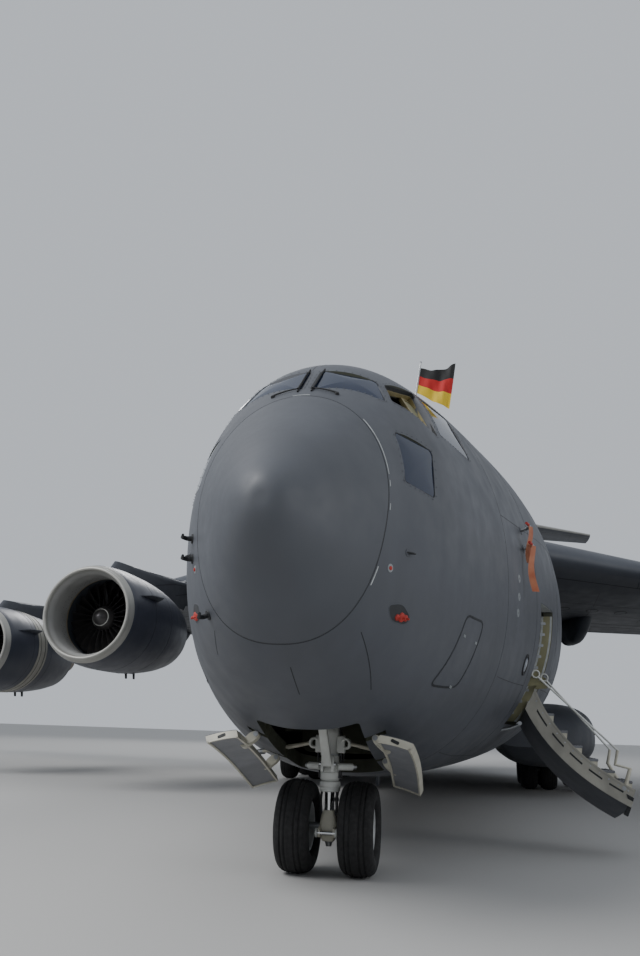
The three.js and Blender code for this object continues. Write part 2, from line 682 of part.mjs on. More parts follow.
piece('cargo_door', joined(
  cut(fuselage(CARGO_DOOR.from, CARGO_DOOR.to), aftInner, aheadOfDoor).intersect(cargoDoorZone(0)),
  cargoKnuckles.moving,
  cargoPlates([[0, 35], [-500, -260], [-200, -260], [-20, -100], [0, -35]], SEAT / 2, 70),
), GREY_PAINT);

// Crew door: the doorway's wall with steps, swung down about its sill
const doorShell = (outer, inner) => cut(
  fuselage(CREW_DOOR.from - 150, CREW_DOOR.to + 150, outer),
  fuselage(CREW_DOOR.from - 160, CREW_DOOR.to + 160, inner),
);
const crewPanel = doorShell(0, -90).intersect(
  box(1500, 4200, CREW_DOOR.from + SLOT, CREW_DOOR.to - SLOT, CREW_DOOR.sill + SLOT, CREW_DOOR.head - SLOT),
);
const crewSteps = Array.from({ length: 6 }, (_, i) => CREW_DOOR.sill + 260 + i * 290).map((z) => box(
  1500, 4200, CREW_DOOR.from + 120, CREW_DOOR.to - 120, z, z + 30,
)).reduce((sum, next) => sum.add(next)).intersect(doorShell(-80, -300));
piece('crew_door', turned(joined(
  crewPanel, crewSteps, crewKnuckles.moving,
  crewPlates([[-15, -15], [-15, 20], [150, 130], [250, 130], [230, 40], [20, 0]], SEAT / 2, 80),
), crewHinge, CREW_DOOR.openAngle), PRIMER);

// Wings, their joint fairing and the surfaces on them
const grownFuselage = fuselage(1000, 47500, SEAT);
const grownFairing = wingFairing(SEAT);
piece('wing_fairing', cut(wingFairing(), grownFuselage), GREY_PAINT);

// Flap bracket fairings in front of the hinge line and behind it; the rear one clears the front as it turns
const BRACKET_FRONT = [
  [-2300, -60], [-1500, -720], [-500, -1130], [-SLOT, -1130], [-SLOT, 0], [-2300, 0],
];
const BRACKET_REAR = [
  [SLOT, -FLAP_DROP], [150, -1130], [450, -1080], [1250, -520], [1500, 0], [SLOT, 0],
];
const BRACKET_HALF = 110;
const FLAP_LUG = { radius: 60, clearance: 1.5, sides: 18 };

for (const [side, hand] of sides) {
  let panel = cut(wing(side), grownFairing, grownFuselage);
  for (const flap of FLAPS) {
    const frame = hingeFrame(
      wingPoint(side, flap.from, FLAP_HINGE), wingPoint(side, flap.to, FLAP_HINGE),
    );
    let moving = wing(side).intersect(aftOf(frame, SLOT, 0));
    panel = cut(panel, aftOf(frame, 0, SLOT));
    for (const x of flap.brackets) {
      const place = ((x - flap.from) / (flap.to - flap.from)) * frame.length;
      const plate = (outline) => hingeProfile(frame, outline, place - BRACKET_HALF, place + BRACKET_HALF);
      const lug = (half, radius) => rod(
        frame.at(place - half, 0, -FLAP_DROP), frame.at(place + half, 0, -FLAP_DROP), radius, FLAP_LUG.sides,
      );
      panel = joined(panel, plate(BRACKET_FRONT), lug(BRACKET_HALF, FLAP_LUG.radius));
      moving = cut(
        joined(moving, plate(BRACKET_REAR)),
        lug(BRACKET_HALF + SLOT, FLAP_LUG.radius + FLAP_LUG.clearance),
      );
    }
    piece(`flap_${flap.name}_${hand}`, moving, GREY_PAINT);
  }
  const aileron = hingeFrame(
    wingPoint(side, AILERON.from, AILERON_HINGE, 0.08), wingPoint(side, AILERON.to, AILERON_HINGE, 0.08),
  );
  piece(`aileron_${hand}`, wing(side).intersect(surfaceZone(aileron, AILERON_SWING)), GREY_PAINT);
  piece(`wing_${hand}`, cut(panel, aftOf(aileron, 0, SLOT)), GREY_PAINT);
  const wingTip = (WING[WING.length - 1][0] + SEAT) * side;
  const [inboard, outboard] = [wingTip - REACH * side, wingTip].sort((a, b) => a - b);
  piece(`winglet_${hand}`, cut(
    uprightBlade(WINGLET, side), box(inboard, outboard, 0, LENGTH, 0, 2 * REACH),
  ), GREY_PAINT);
}

// Tail: fin with two rudders, bullet, and a trimming tailplane with elevators
let finBody = cut(fin(), grownFuselage);
for (const rudder of RUDDERS) {
  const frame = hingeFrame(finHingePoint(rudder.from), finHingePoint(rudder.to), point(1, 0, 0));
  const inner = { ...frame, length: frame.length - SLOT };
  piece(rudder.name, fin().intersect(surfaceZone(inner, RUDDER_SWING)), GREY_PAINT);
  finBody = cut(finBody, aftOf(frame, 0, SLOT));
}
piece('fin', finBody, GREY_PAINT);

const shaftEnds = [-TAILPLANE[0].x - 100, TAILPLANE[0].x + 100];
const tailShaft = rod(
  ...shaftEnds.map((x) => point(x, TAILPLANE_SHAFT.station, TAILPLANE_SHAFT.z)), TAILPLANE_SHAFT.radius, 16,
);
const bulletBody = loft(BULLET.map(({ station, halfWidth, top, bottom }) => ringAngles(20).map((angle) => {
  const [across, up] = superellipse(angle, 4);
  return point(halfWidth * across, station, (top + bottom) / 2 + ((top - bottom) / 2) * up);
})));
// The bore's flats clear the shaft's corners at every trim angle
const boreRadius = (TAILPLANE_SHAFT.radius + SEAT) / Math.cos(Math.PI / 16);
const shaftBore = revolve(
  [[shaftEnds[0], 0], [shaftEnds[0], boreRadius], [shaftEnds[1], boreRadius], [shaftEnds[1], 0]],
  point(0, TAILPLANE_SHAFT.station, TAILPLANE_SHAFT.z), point(1, 0, 0), 16,
);
piece('tail_bullet', cut(bulletBody, shaftBore, fin(SEAT)), GREY_PAINT);

let tailplane = tailShaft;
for (const [side, hand] of sides) {
  const elevator = hingeFrame(
    tailplanePoint(side, ELEVATOR.from, ELEVATOR_HINGE), tailplanePoint(side, ELEVATOR.to, ELEVATOR_HINGE),
  );
  tailplane = joined(tailplane, cut(tailplaneHalf(side), aftOf(elevator, 0, SLOT)));
  piece(`elevator_${hand}`, tailplaneHalf(side).intersect(surfaceZone(elevator, ELEVATOR_SWING)), GREY_PAINT);
}
piece('tailplane', tailplane, GREY_PAINT);

// Engines: cowl, core and guide vanes in one body, a free fan and a pylon
const aftward = point(0, 1, 0);
for (const { name, x, lip, z } of ENGINES) {
  const centre = point(x, lip, z);
  const cowl = revolve([...COWL_OUTER, ...COWL_INNER, COWL_OUTER[0]], centre, aftward, ENGINE_SIDES);
  const core = revolve(CORE, centre, aftward, ENGINE_SIDES);
  const vanes = ringAngles(VANES.count).map((angle) => {
    const outward = point(Math.cos(angle), 0, Math.sin(angle));
    const across = point(-Math.sin(angle), 0, Math.cos(angle));
    const ring = (radius) => [
      [VANES.from, -1], [VANES.to, -1], [VANES.to, 1], [VANES.from, 1],
    ].map(([along, hand]) => centre.clone().addScaledVector(outward, radius)
      .addScaledVector(aftward, along).addScaledVector(across, (hand * VANES.width) / 2));
    return loft([ring(VANES.inner), ring(VANES.outer)]);
  });
  piece(`engine_${name}`, joined(cowl, core, ...vanes), DARK_METAL);
  const spinnerBack = CORE[0][0] - SEAT;
  const spinner = [
    [SPINNER.tip, 0], [SPINNER.tip + 40, 90], [SPINNER.tip + 200, 230], [FAN.front, FAN.hub],
    [spinnerBack, FAN.hub], [spinnerBack, 0],
  ];
  const blades = ringAngles(FAN.blades).map((angle) => {
    const outward = point(Math.cos(angle), 0, Math.sin(angle));
    const across = point(-Math.sin(angle), 0, Math.cos(angle));
    const ring = (radius, pitch) => [[-1, -1], [1, -1], [1, 1], [-1, 1]].map(([end, hand]) => {
      const along = (FAN.front + FAN.back) / 2 + end * ((FAN.back - FAN.front) / 2) * Math.cos(pitch);
      const swing = end * ((FAN.back - FAN.front) / 2) * Math.sin(pitch) + (hand * FAN.width) / 2;
      return centre.clone().addScaledVector(outward, radius).addScaledVector(aftward, along)
        .addScaledVector(across, swing);
    });
    return loft([ring(FAN.hub - 60, 0.15), ring(FAN.tip, 0.75)]);
  });
  piece(`fan_${name}`, joined(revolve(spinner, centre, aftward, SPINNER.sides), ...blades), BARE_METAL);

  const side = Math.sign(x);
  const wingFoot = wingPoint(side, Math.abs(x), 0, 0);
  const wingBack = wingPoint(side, Math.abs(x), PYLON.reach).y;
  const rows = [
    [z + PYLON.foot, lip + PYLON.front, lip + PYLON.back],
    [z + PYLON.ridgeHeight, lip + PYLON.ridge, (lip + PYLON.back + wingBack) / 2],
    [wingFoot.z + 80, wingFoot.y + PYLON.tuck, wingBack],
  ].map(([height, leading, trailing]) => (
    { z: height, x: Math.abs(x), leading, chord: trailing - leading, thickness: PYLON.thickness }));
  const cowlEnd = COWL_OUTER[COWL_OUTER.length - 1][0] + SEAT;
  const hull = [...COWL_OUTER.map(([along, radius]) => [along, radius + SEAT]), [cowlEnd, 0]];
  const cowlSolid = revolve([[0, 0], ...hull], centre, aftward, ENGINE_SIDES);
  piece(`pylon_${name}`, cut(uprightBlade(rows, side), cowlSolid, wing(side, SEAT)), GREY_PAINT);
}

// Gear pods with open wheel bays, legs and three-wheel sets
const across = point(1, 0, 0);
const tyreProfile = ({ radius, width, rim }) => {
  const half = width / 2;
  return [
    [-half * 0.72, rim], [-half, rim + 60], [-half, radius - 110],
    [-half * 0.72, radius], [half * 0.72, radius],
    [half, radius - 110], [half, rim + 60], [half * 0.72, rim], [-half * 0.72, rim],
  ];
};
const wheelProfile = ({ radius, width, rim }) => {
  const half = width / 2;
  return [
    [-half * 0.35, 0], [-half * 0.35, rim], [-half, rim + 60], [-half, radius - 110], [-half * 0.72, radius],
    [half * 0.72, radius], [half, radius - 110], [half, rim + 60], [half * 0.35, rim], [half * 0.35, 0],
  ];
};
const turnedWheel = (profile, centre, sides) => revolve(profile, centre, across, sides, true);
for (const [side, hand] of sides) {
  const bays = Object.values(MAIN_GEAR_STATIONS).map((y) => box(
    ...[WHEEL_BAY.inner, WHEEL_BAY.outer].map((x) => side * x).sort((a, b) => a - b),
    y - WHEEL_BAY.halfLength, y + WHEEL_BAY.halfLength, 0, WHEEL_BAY.roof,
  ));
  piece(`gear_pod_${hand}`, cut(gearPod(side), fuselage(17000, 36000, SEAT), ...bays), GREY_PAINT);
  for (const [place, y] of Object.entries(MAIN_GEAR_STATIONS)) {
    const axle = point(0, y, MAIN_TYRE.radius);
    const legX = side * MAIN_LEG_X;
    const bore = rod(point(side * 2500, y, MAIN_TYRE.radius), point(side * 5600, y, MAIN_TYRE.radius), 71);
    const leg = joined(
      rod(point(legX, y, WHEEL_BAY.roof - SEAT), point(legX, y, MAIN_TYRE.radius), 125, 14),
      rod(point(legX - 125, y, MAIN_TYRE.radius), point(legX + 125, y, MAIN_TYRE.radius), 150, 14),
    );
    piece(`main_leg_${place}_${hand}`, cut(leg, bore), GEAR_PAINT);
    const wheels = MAIN_WHEELS.map((x) => turnedWheel(
      wheelProfile(MAIN_TYRE), axle.clone().add(point(side * x, 0, 0)), MAIN_TYRE.sides,
    ));
    const shaft = rod(
      point(side * (MAIN_WHEELS[0] - 60), y, axle.z), point(side * (MAIN_WHEELS[2] + 60), y, axle.z), 70,
    );
    piece(`main_wheels_${place}_${hand}`, joined(shaft, ...wheels), RUBBER);
  }
}

// Nose gear: fixed leg with trunnion and brace, steered fork, twin wheels
const legFoot = 1010;
const gearLeg = joined(
  rod(point(0, NOSE_GEAR_STATION, legFoot), point(0, NOSE_GEAR_STATION, NOSE_BAY.roof - SEAT), 115, 16),
  rod(
    point(-NOSE_BAY.halfWidth + SEAT, NOSE_GEAR_STATION, 2080),
    point(NOSE_BAY.halfWidth - SEAT, NOSE_GEAR_STATION, 2080), 90, 12,
  ),
  rod(point(0, NOSE_GEAR_STATION - 40, 1320), point(0, NOSE_BAY.from - 400, 2520), 55, 8)
    .intersect(box(-200, 200, NOSE_BAY.from + SEAT, 5000, 1000, NOSE_BAY.roof - SEAT)),
);
piece('nose_gear_leg', gearLeg, GEAR_PAINT);
piece('nose_gear_fork', cut(
  joined(
    rod(point(0, NOSE_GEAR_STATION, legFoot - SEAT), point(0, NOSE_GEAR_STATION, 600), 76, 16),
    box(-95, 95, NOSE_GEAR_STATION - 110, NOSE_GEAR_STATION + 110, 400, 640),
  ),
  rod(point(-400, NOSE_GEAR_STATION, NOSE_AXLE), point(400, NOSE_GEAR_STATION, NOSE_AXLE), 46),
), BARE_METAL);
const rimProfile = ({ width, rim }) => {
  const half = width * 0.36;
  return [[-half * 0.5, 0], [-half * 0.5, rim - 50], [-half, rim - SEAT], [half, rim - SEAT],
    [half * 0.5, rim - 50], [half * 0.5, 0]];
};
const noseAxle = (x) => point(x, NOSE_GEAR_STATION, NOSE_AXLE);
piece('nose_wheels', joined(
  rod(noseAxle(-NOSE_WHEEL_OFFSET), noseAxle(NOSE_WHEEL_OFFSET), 45),
  ...[-1, 1].map((side) => turnedWheel(
    rimProfile(NOSE_TYRE), noseAxle(side * NOSE_WHEEL_OFFSET), NOSE_TYRE.sides,
  )),
), RIM_PAINT);
for (const [side, hand] of sides) {
  piece(`nose_tyre_${hand}`, turnedWheel(
    tyreProfile(NOSE_TYRE), noseAxle(side * NOSE_WHEEL_OFFSET), NOSE_TYRE.sides,
  ), RUBBER);
}

// Nose-gear doors on two arms each, swung out
for (const [side, hand] of sides) {
  const frame = doorFrame(side);
  const [x0, x1] = [NOSE_DOOR.inner * side, NOSE_DOOR.outer * side].sort((a, b) => a - b);
  const skinPanel = cut(
    fuselage(NOSE_BAY.from, NOSE_BAY.to),
    fuselage(NOSE_BAY.from - SLOT, NOSE_BAY.to + SLOT, -NOSE_DOOR.thickness),
  ).intersect(box(x0, x1, NOSE_DOOR.from, NOSE_DOOR.to, 900, 2400));
  const arms = NOSE_DOOR_ARMS.map((place) => joined(
    doorProfile(frame, [[-420, 40], [-300, 130], [0, 40], [30, 0], [0, -40], [-60, -40], [-140, 30]],
      place - armHalf, place + armHalf),
    rod(frame.at(place - armHalf - SLOT + SEAT, 0, 0), frame.at(place + armHalf + SLOT - SEAT, 0, 0), 30, 12),
  ));
  piece(`nose_door_${hand}`, turned(joined(skinPanel, ...arms), frame, -side * NOSE_DOOR.open), GEAR_PAINT);
}

// Flag on its staff behind the flight-deck roof
const staffFoot = point(FLAG_STAFF.x, FLAG_STAFF.station, FLAG_STAFF.foot);
const staffTop = point(FLAG_STAFF.x + FLAG_STAFF.lean, FLAG_STAFF.station, FLAG_STAFF.top);
const staffSkin = fuselage(FLAG_STAFF.station - 600, FLAG_STAFF.station + 600, SEAT);
piece('flag_staff', cut(rod(staffFoot, staffTop, 14, 8), staffSkin), BARE_METAL);
const staffAt = (z) => mix(staffFoot.x, staffTop.x, (z - staffFoot.z) / (staffTop.z - staffFoot.z));
const flagInset = 14 + SEAT;
piece('flag', loft([FLAG_STAFF.station - 12, FLAG_STAFF.station + 12].map((y) => [
  [flagInset, FLAG.foot], FLAG.lower, FLAG.upper, [flagInset, FLAG.head],
].map(([out, z]) => point(staffAt(z) + out, y, z)))), CLOTH);

export default model;
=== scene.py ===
"""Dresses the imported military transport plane, which is at half scale.

Shapes are worked out in metres of the full-size aircraft, x to port, y aft of the nose tip and z above the
ground, and are scaled and centred once, when a piece is made.
"""

import logging
import math
from collections.abc import Callable, Sequence
from dataclasses import dataclass
from enum import Enum

import bmesh
import bpy
import numpy as np
from mathutils import Matrix


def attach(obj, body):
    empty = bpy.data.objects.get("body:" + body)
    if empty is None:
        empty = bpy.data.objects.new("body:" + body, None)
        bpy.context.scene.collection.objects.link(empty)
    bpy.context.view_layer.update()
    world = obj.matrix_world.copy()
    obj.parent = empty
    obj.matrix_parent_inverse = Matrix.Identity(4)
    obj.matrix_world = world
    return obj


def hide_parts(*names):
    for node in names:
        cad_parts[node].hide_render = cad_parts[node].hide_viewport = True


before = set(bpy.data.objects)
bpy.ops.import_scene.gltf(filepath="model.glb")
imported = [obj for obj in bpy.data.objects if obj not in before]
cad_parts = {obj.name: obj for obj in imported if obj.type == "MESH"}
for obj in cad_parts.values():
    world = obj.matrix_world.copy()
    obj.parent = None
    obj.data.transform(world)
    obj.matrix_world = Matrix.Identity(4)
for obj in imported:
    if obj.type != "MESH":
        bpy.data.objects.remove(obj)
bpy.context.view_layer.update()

LOG = logging.getLogger("transport_plane")
SCALE = 0.5
MIDDLE = 26.52
TURN = 2 * math.pi
ACROSS, AFT, UP = (1, 0, 0), (0, 1, 0), (0, 0, 1)
PORT, STARBOARD = 1, -1
SIDES = ((PORT, "left"), (STARBOARD, "right"))
BOTH_FACES = (1, 2)
SMOOTH_ANGLE = math.radians(32)
Array = np.ndarray
Piece = bpy.types.Object
Vector = Sequence[float]
Rows = Sequence[Sequence[float]]
PIECES: list[Piece] = []


def to_frame(points: Array) -> Array:
    """Full-size metres to the frame's metres: aft places are counted from mid-length, then all is halved."""
    placed = np.array(points, float)
    placed[..., 1] -= MIDDLE
    return placed * SCALE


def unit(vectors: Array) -> Array:
    """Each vector divided by its length."""
    vectors = np.asarray(vectors, float)
    return vectors / np.maximum(np.linalg.norm(vectors, axis=-1, keepdims=True), 1e-12)


def circle(steps: int) -> Array:
    """Even angles once round, in radians."""
    return np.arange(steps) / steps * TURN


def strip_rings(middle: Array, beside: Vector, out: Vector, width: float, height: float,
                sink: float = 0.003) -> Array:
    """Four points round each place of a strip: half its width to either side, sunk and standing proud.

    Args:
        middle: The centre line's points.
        beside: The direction across the strip.
        out: The direction away from the surface.
        width: The strip's width.
        height: How proud it stands.
        sink: How far its edges lie under the surface.

    Returns:
        One ring of four points for each place.
    """
    rows = ((-0.5, -sink), (-0.5, height), (0.5, height), (0.5, -sink))
    beside, out = np.asarray(beside, float), np.asarray(out, float)
    return np.stack([middle + beside * width * across + out * up for across, up in rows], 1)


def eased(knots: Array, values: Array, at: Array) -> Array:
    """Monotone cubic curve through knots: harmonic-mean slopes, so that it never overshoots.

    Args:
        knots: Rising places of the knots.
        values: One row of values per knot.
        at: Places at which the curve is wanted.

    Returns:
        The values there, with the shape of at and one more axis for the columns.
    """
    knots, values = np.asarray(knots, float), np.asarray(values, float)
    gaps = np.diff(knots)[:, None]
    rise = np.diff(values, axis=0) / gaps
    near, far = 2 * gaps[1:] + gaps[:-1], gaps[1:] + 2 * gaps[:-1]
    same = rise[:-1] * rise[1:] > 0
    safe = np.where(same, rise[:-1], 1), np.where(same, rise[1:], 1)
    inner = np.where(same, (near + far) / (near / safe[0] + far / safe[1]), 0)
    slope = np.vstack([rise[:1], inner, rise[-1:]])
    at = np.clip(np.asarray(at, float), knots[0], knots[-1])
    i = np.clip(np.searchsorted(knots, at, side="right") - 1, 0, len(knots) - 2)
    h = (knots[i + 1] - knots[i])[..., None]
    t = (at - knots[i])[..., None] / h
    return (
        values[i] * (2 * t**3 - 3 * t**2 + 1)
        + slope[i] * h * (t**3 - 2 * t**2 + t)
        + values[i + 1] * (3 * t**2 - 2 * t**3)
        + slope[i + 1] * h * (t**3 - t**2)
    )


def superellipse(angle: Array, exponent: Array | float) -> tuple[Array, Array]:
    """Across and up on a superellipse: sine and cosine, each to the power two over the exponent."""
    c, s = np.cos(angle), np.sin(angle)
    return np.sign(s) * np.abs(s) ** (2 / exponent), np.sign(c) * np.abs(c) ** (2 / exponent)


def turned(points: Array, origin: Vector, axis: Vector, degrees: float) -> Array:
    """Points turned about a line: the part along the axis stays and the rest goes round by the angle.

    Args:
        points: Any array of points.
        origin: A point of the line.
        axis: The line's direction.
        degrees: The angle, by the right-hand rule.

    Returns:
        The turned points.
    """
    axis = unit(axis)
    arm = np.asarray(points, float) - origin
    a = math.radians(degrees)
    along = (arm @ axis)[..., None] * axis
    return origin + arm * math.cos(a) + np.cross(axis, arm) * math.sin(a) + along * (1 - math.cos(a))


@dataclass(frozen=True)
class Coat:
    """A finish: base colour, gloss, and the size and strength of its patches, streaks and grain."""

    colour: tuple[float, float, float]
    roughness: float
    metallic: float = 0.0
    mottle: float = 0.14
    patch: float = 0.45
    streak: float = 0.3
    grain: float = 0.15
    grain_size: float = 0.006
    clear: float = 0.0
    see_through: float = 0.0
    shine: float = 0.5


class Finish(Enum):
    """The finishes on the aircraft."""

    BODY_GREY = Coat((0.074, 0.08, 0.094), 0.54, mottle=0.12, patch=0.7)
    COMPOSITE_GREY = Coat((0.062, 0.069, 0.084), 0.5, mottle=0.1, patch=0.9)
    RADOME_GREY = Coat((0.075, 0.081, 0.094), 0.54, mottle=0.08, patch=0.4, streak=0.15)
    # A darker copy of the body grey as painted shade, for the flap fairings under the wing and the duct
    # behind the fan.
    UNDER_GREY = Coat((0.045, 0.053, 0.066), 0.48, mottle=0.18, patch=0.6)
    # Near black: the dark of joints, and painted shade in the slots of the cowl's grille.
    SEAM_DARK = Coat((0.018, 0.02, 0.024), 0.7, mottle=0.2, patch=0.1)
    SEALANT = Coat((0.42, 0.44, 0.44), 0.6, mottle=0.25, patch=0.05)
    # Near black: the black of seals, rubber and fittings, and painted shade in holes and slots.
    SEAL_BLACK = Coat((0.012, 0.013, 0.015), 0.65, mottle=0.2, patch=0.05)
    FRAME_METAL = Coat((0.3, 0.32, 0.33), 0.42, 0.5, mottle=0.15, patch=0.1)
    GOLDEN_FRAME = Coat((0.3, 0.25, 0.12), 0.45, 0.5, mottle=0.15, patch=0.06)
    KHAKI = Coat((0.2, 0.19, 0.1), 0.6, mottle=0.15, patch=0.08)
    # Dark navy tint on glass that lets some light through: a painted reflection of the sky.
    GLASS = Coat((0.014, 0.027, 0.065), 0.07, mottle=0.05, grain=0.0, see_through=0.3, shine=0.22)
    # Dark grey of the flight deck's inside, and painted shade in the sensor's recess on the nose.
    CABIN_DARK = Coat((0.035, 0.038, 0.042), 0.75, mottle=0.2, patch=0.2)
    SEAT_CLOTH = Coat((0.06, 0.07, 0.055), 0.9, mottle=0.25, patch=0.06, grain=0.5, grain_size=0.003)
    PRIMER = Coat((0.23, 0.22, 0.125), 0.58, mottle=0.2, patch=0.15)
    # The primer darkened as painted shade, for the insides of the shells and the bays' walls.
    PRIMER_DARK = Coat((0.045, 0.048, 0.03), 0.7, mottle=0.3, patch=0.12)
    COWL_GREY = Coat((0.042, 0.047, 0.066), 0.4, mottle=0.1, patch=0.6)
    # Mid grey: painted shade on the nose doors' inner faces, and also used for the stair treads and risers.
    DOOR_INNER = Coat((0.17, 0.175, 0.19), 0.55, mottle=0.15, patch=0.2)
    STAIR_GREY = Coat((0.3, 0.29, 0.25), 0.5, mottle=0.2, patch=0.15)
    GEAR_WHITE = Coat((0.56, 0.57, 0.54), 0.42, mottle=0.12, patch=0.12)
    GEAR_CREAM = Coat((0.47, 0.45, 0.37), 0.48, mottle=0.15, patch=0.1)
    CHROME = Coat((0.62, 0.63, 0.64), 0.12, 1.0, mottle=0.05, patch=0.05, grain=0.02)
    STEEL = Coat((0.34, 0.35, 0.36), 0.36, 0.9, mottle=0.18, patch=0.07)
    LIP_METAL = Coat((0.36, 0.355, 0.33), 0.42, 0.35, mottle=0.1, patch=0.3)
    LINER = Coat((0.34, 0.34, 0.33), 0.46, 0.15, mottle=0.1, patch=0.2)
    BRASS = Coat((0.42, 0.34, 0.2), 0.42, 0.5, mottle=0.2, patch=0.08)
    TITANIUM = Coat((0.075, 0.072, 0.074), 0.36, 0.7, mottle=0.15, patch=0.1)
    HOT_METAL = Coat((0.16, 0.13, 0.1), 0.45, 0.85, mottle=0.35, patch=0.15)
    RUBBER = Coat((0.011, 0.0108, 0.0112), 0.85, mottle=0.35, patch=0.09, grain=0.4)
    RIM_GREY = Coat((0.4, 0.41, 0.41), 0.45, 0.2, mottle=0.2, patch=0.06)
    HOSE = Coat((0.02, 0.02, 0.022), 0.5, mottle=0.15, patch=0.03)
    WARNING_RED = Coat((0.42, 0.03, 0.02), 0.6, mottle=0.2, patch=0.03)
    LAMP_LENS = Coat((0.2, 0.22, 0.26), 0.1, mottle=0.03, patch=0.02, grain=0.0, clear=0.5)
    FLOOR_METAL = Coat((0.16, 0.165, 0.17), 0.55, 0.4, mottle=0.25, patch=0.2)


def noise(nodes: bpy.types.Nodes, links: bpy.types.NodeLinks, place: bpy.types.NodeSocket, size: float,
          detail: float) -> bpy.types.NodeSocket:
    """Soft fractal noise with features of that size in metres.

    Args:
        nodes: The material's nodes.
        links: Their links.
        place: The coordinates that it reads.
        size: The size of its features.
        detail: How many finer layers it has.

    Returns:
        Its output.
    """
    cloud = nodes.new("ShaderNodeTexNoise")
    cloud.inputs["Scale"].default_value = 1 / size
    cloud.inputs["Detail"].default_value = detail
    links.new(place, cloud.inputs["Vector"])
    return cloud.outputs["Fac"]


def new_material(name: str) -> tuple:
    """An empty material: itself, its nodes, their links and its shader."""
    material = bpy.data.materials.new(name)
    material.use_nodes = True
    tree = material.node_tree
    return material, tree.nodes, tree.links, tree.nodes["Principled BSDF"]


def coat_material(finish: Finish) -> bpy.types.Material:
    """The material of a finish, made once.

    Large patches and rain streaks down the side blend two tones of the colour, a finer noise varies the
    gloss, and the finest is the grain's bump.

    Args:
        finish: The finish.

    Returns:
        Its material.
    """
    name = f"coat_{finish.name.lower()}"
    if name in bpy.data.materials:
        return bpy.data.materials[name]
    coat = finish.value
    material, nodes, links, shader = new_material(name)
    place = nodes.new("ShaderNodeTexCoord").outputs["Object"]
    patches = noise(nodes, links, place, coat.patch, 6)
    drops = nodes.new("ShaderNodeMapping")
    drops.inputs["Scale"].default_value = (9, 9, 0.7)
    links.new(place, drops.inputs["Vector"])
    streaks = noise(nodes, links, drops.outputs["Vector"], 0.8, 4)
    blend = nodes.new("ShaderNodeMix")
    blend.inputs["Factor"].default_value = coat.streak
    links.new(patches, blend.inputs["A"])
    links.new(streaks, blend.inputs["B"])
    tones = nodes.new("ShaderNodeValToRGB")
    for stop, place_at, share in zip(tones.color_ramp.elements, (0.34, 0.66),
                                     (1 - coat.mottle, 1 + coat.mottle)):
        stop.position = place_at
        stop.color = (*(min(1.0, channel * share) for channel in coat.colour), 1)
    links.new(blend.outputs["Result"], tones.inputs["Fac"])
    links.new(tones.outputs["Color"], shader.inputs["Base Color"])
    gloss = nodes.new("ShaderNodeMapRange")
    gloss.inputs["From Min"].default_value, gloss.inputs["From Max"].default_value = 0.3, 0.7
    gloss.inputs["To Min"].default_value = coat.roughness * 0.85
    gloss.inputs["To Max"].default_value = min(1.0, coat.roughness * 1.15)
    links.new(noise(nodes, links, place, coat.patch / 4, 4), gloss.inputs["Value"])
    links.new(gloss.outputs["Result"], shader.inputs["Roughness"])
    shader.inputs["Metallic"].default_value = coat.metallic
    shader.inputs["Coat Weight"].default_value = coat.clear
    shader.inputs["Transmission Weight"].default_value = coat.see_through
    shader.inputs["Specular IOR Level"].default_value = coat.shine
    if coat.grain:
        bump = nodes.new("ShaderNodeBump")
        bump.inputs["Strength"].default_value = coat.grain
        bump.inputs["Distance"].default_value = 0.0006
        links.new(noise(nodes, links, place, coat.grain_size, 3), bump.inputs["Height"])
        links.new(bump.outputs["Normal"], shader.inputs["Normal"])
    return material


def volume(points: Array, blocks: Sequence[Array]) -> float:
    """Six times the space inside a closed surface: positive where its faces point outwards.

    Args:
        points: The surface's points.
        blocks: Arrays with one row of indices per face.

    Returns:
        The signed sum over the faces' triangles.
    """
    total = 0.0
    for faces in blocks:
        corners = points[faces] - points.mean(0)
        total += float(np.sum(corners[:, :1] * np.cross(corners[:, 1:-1], corners[:, 2:])))
    return total


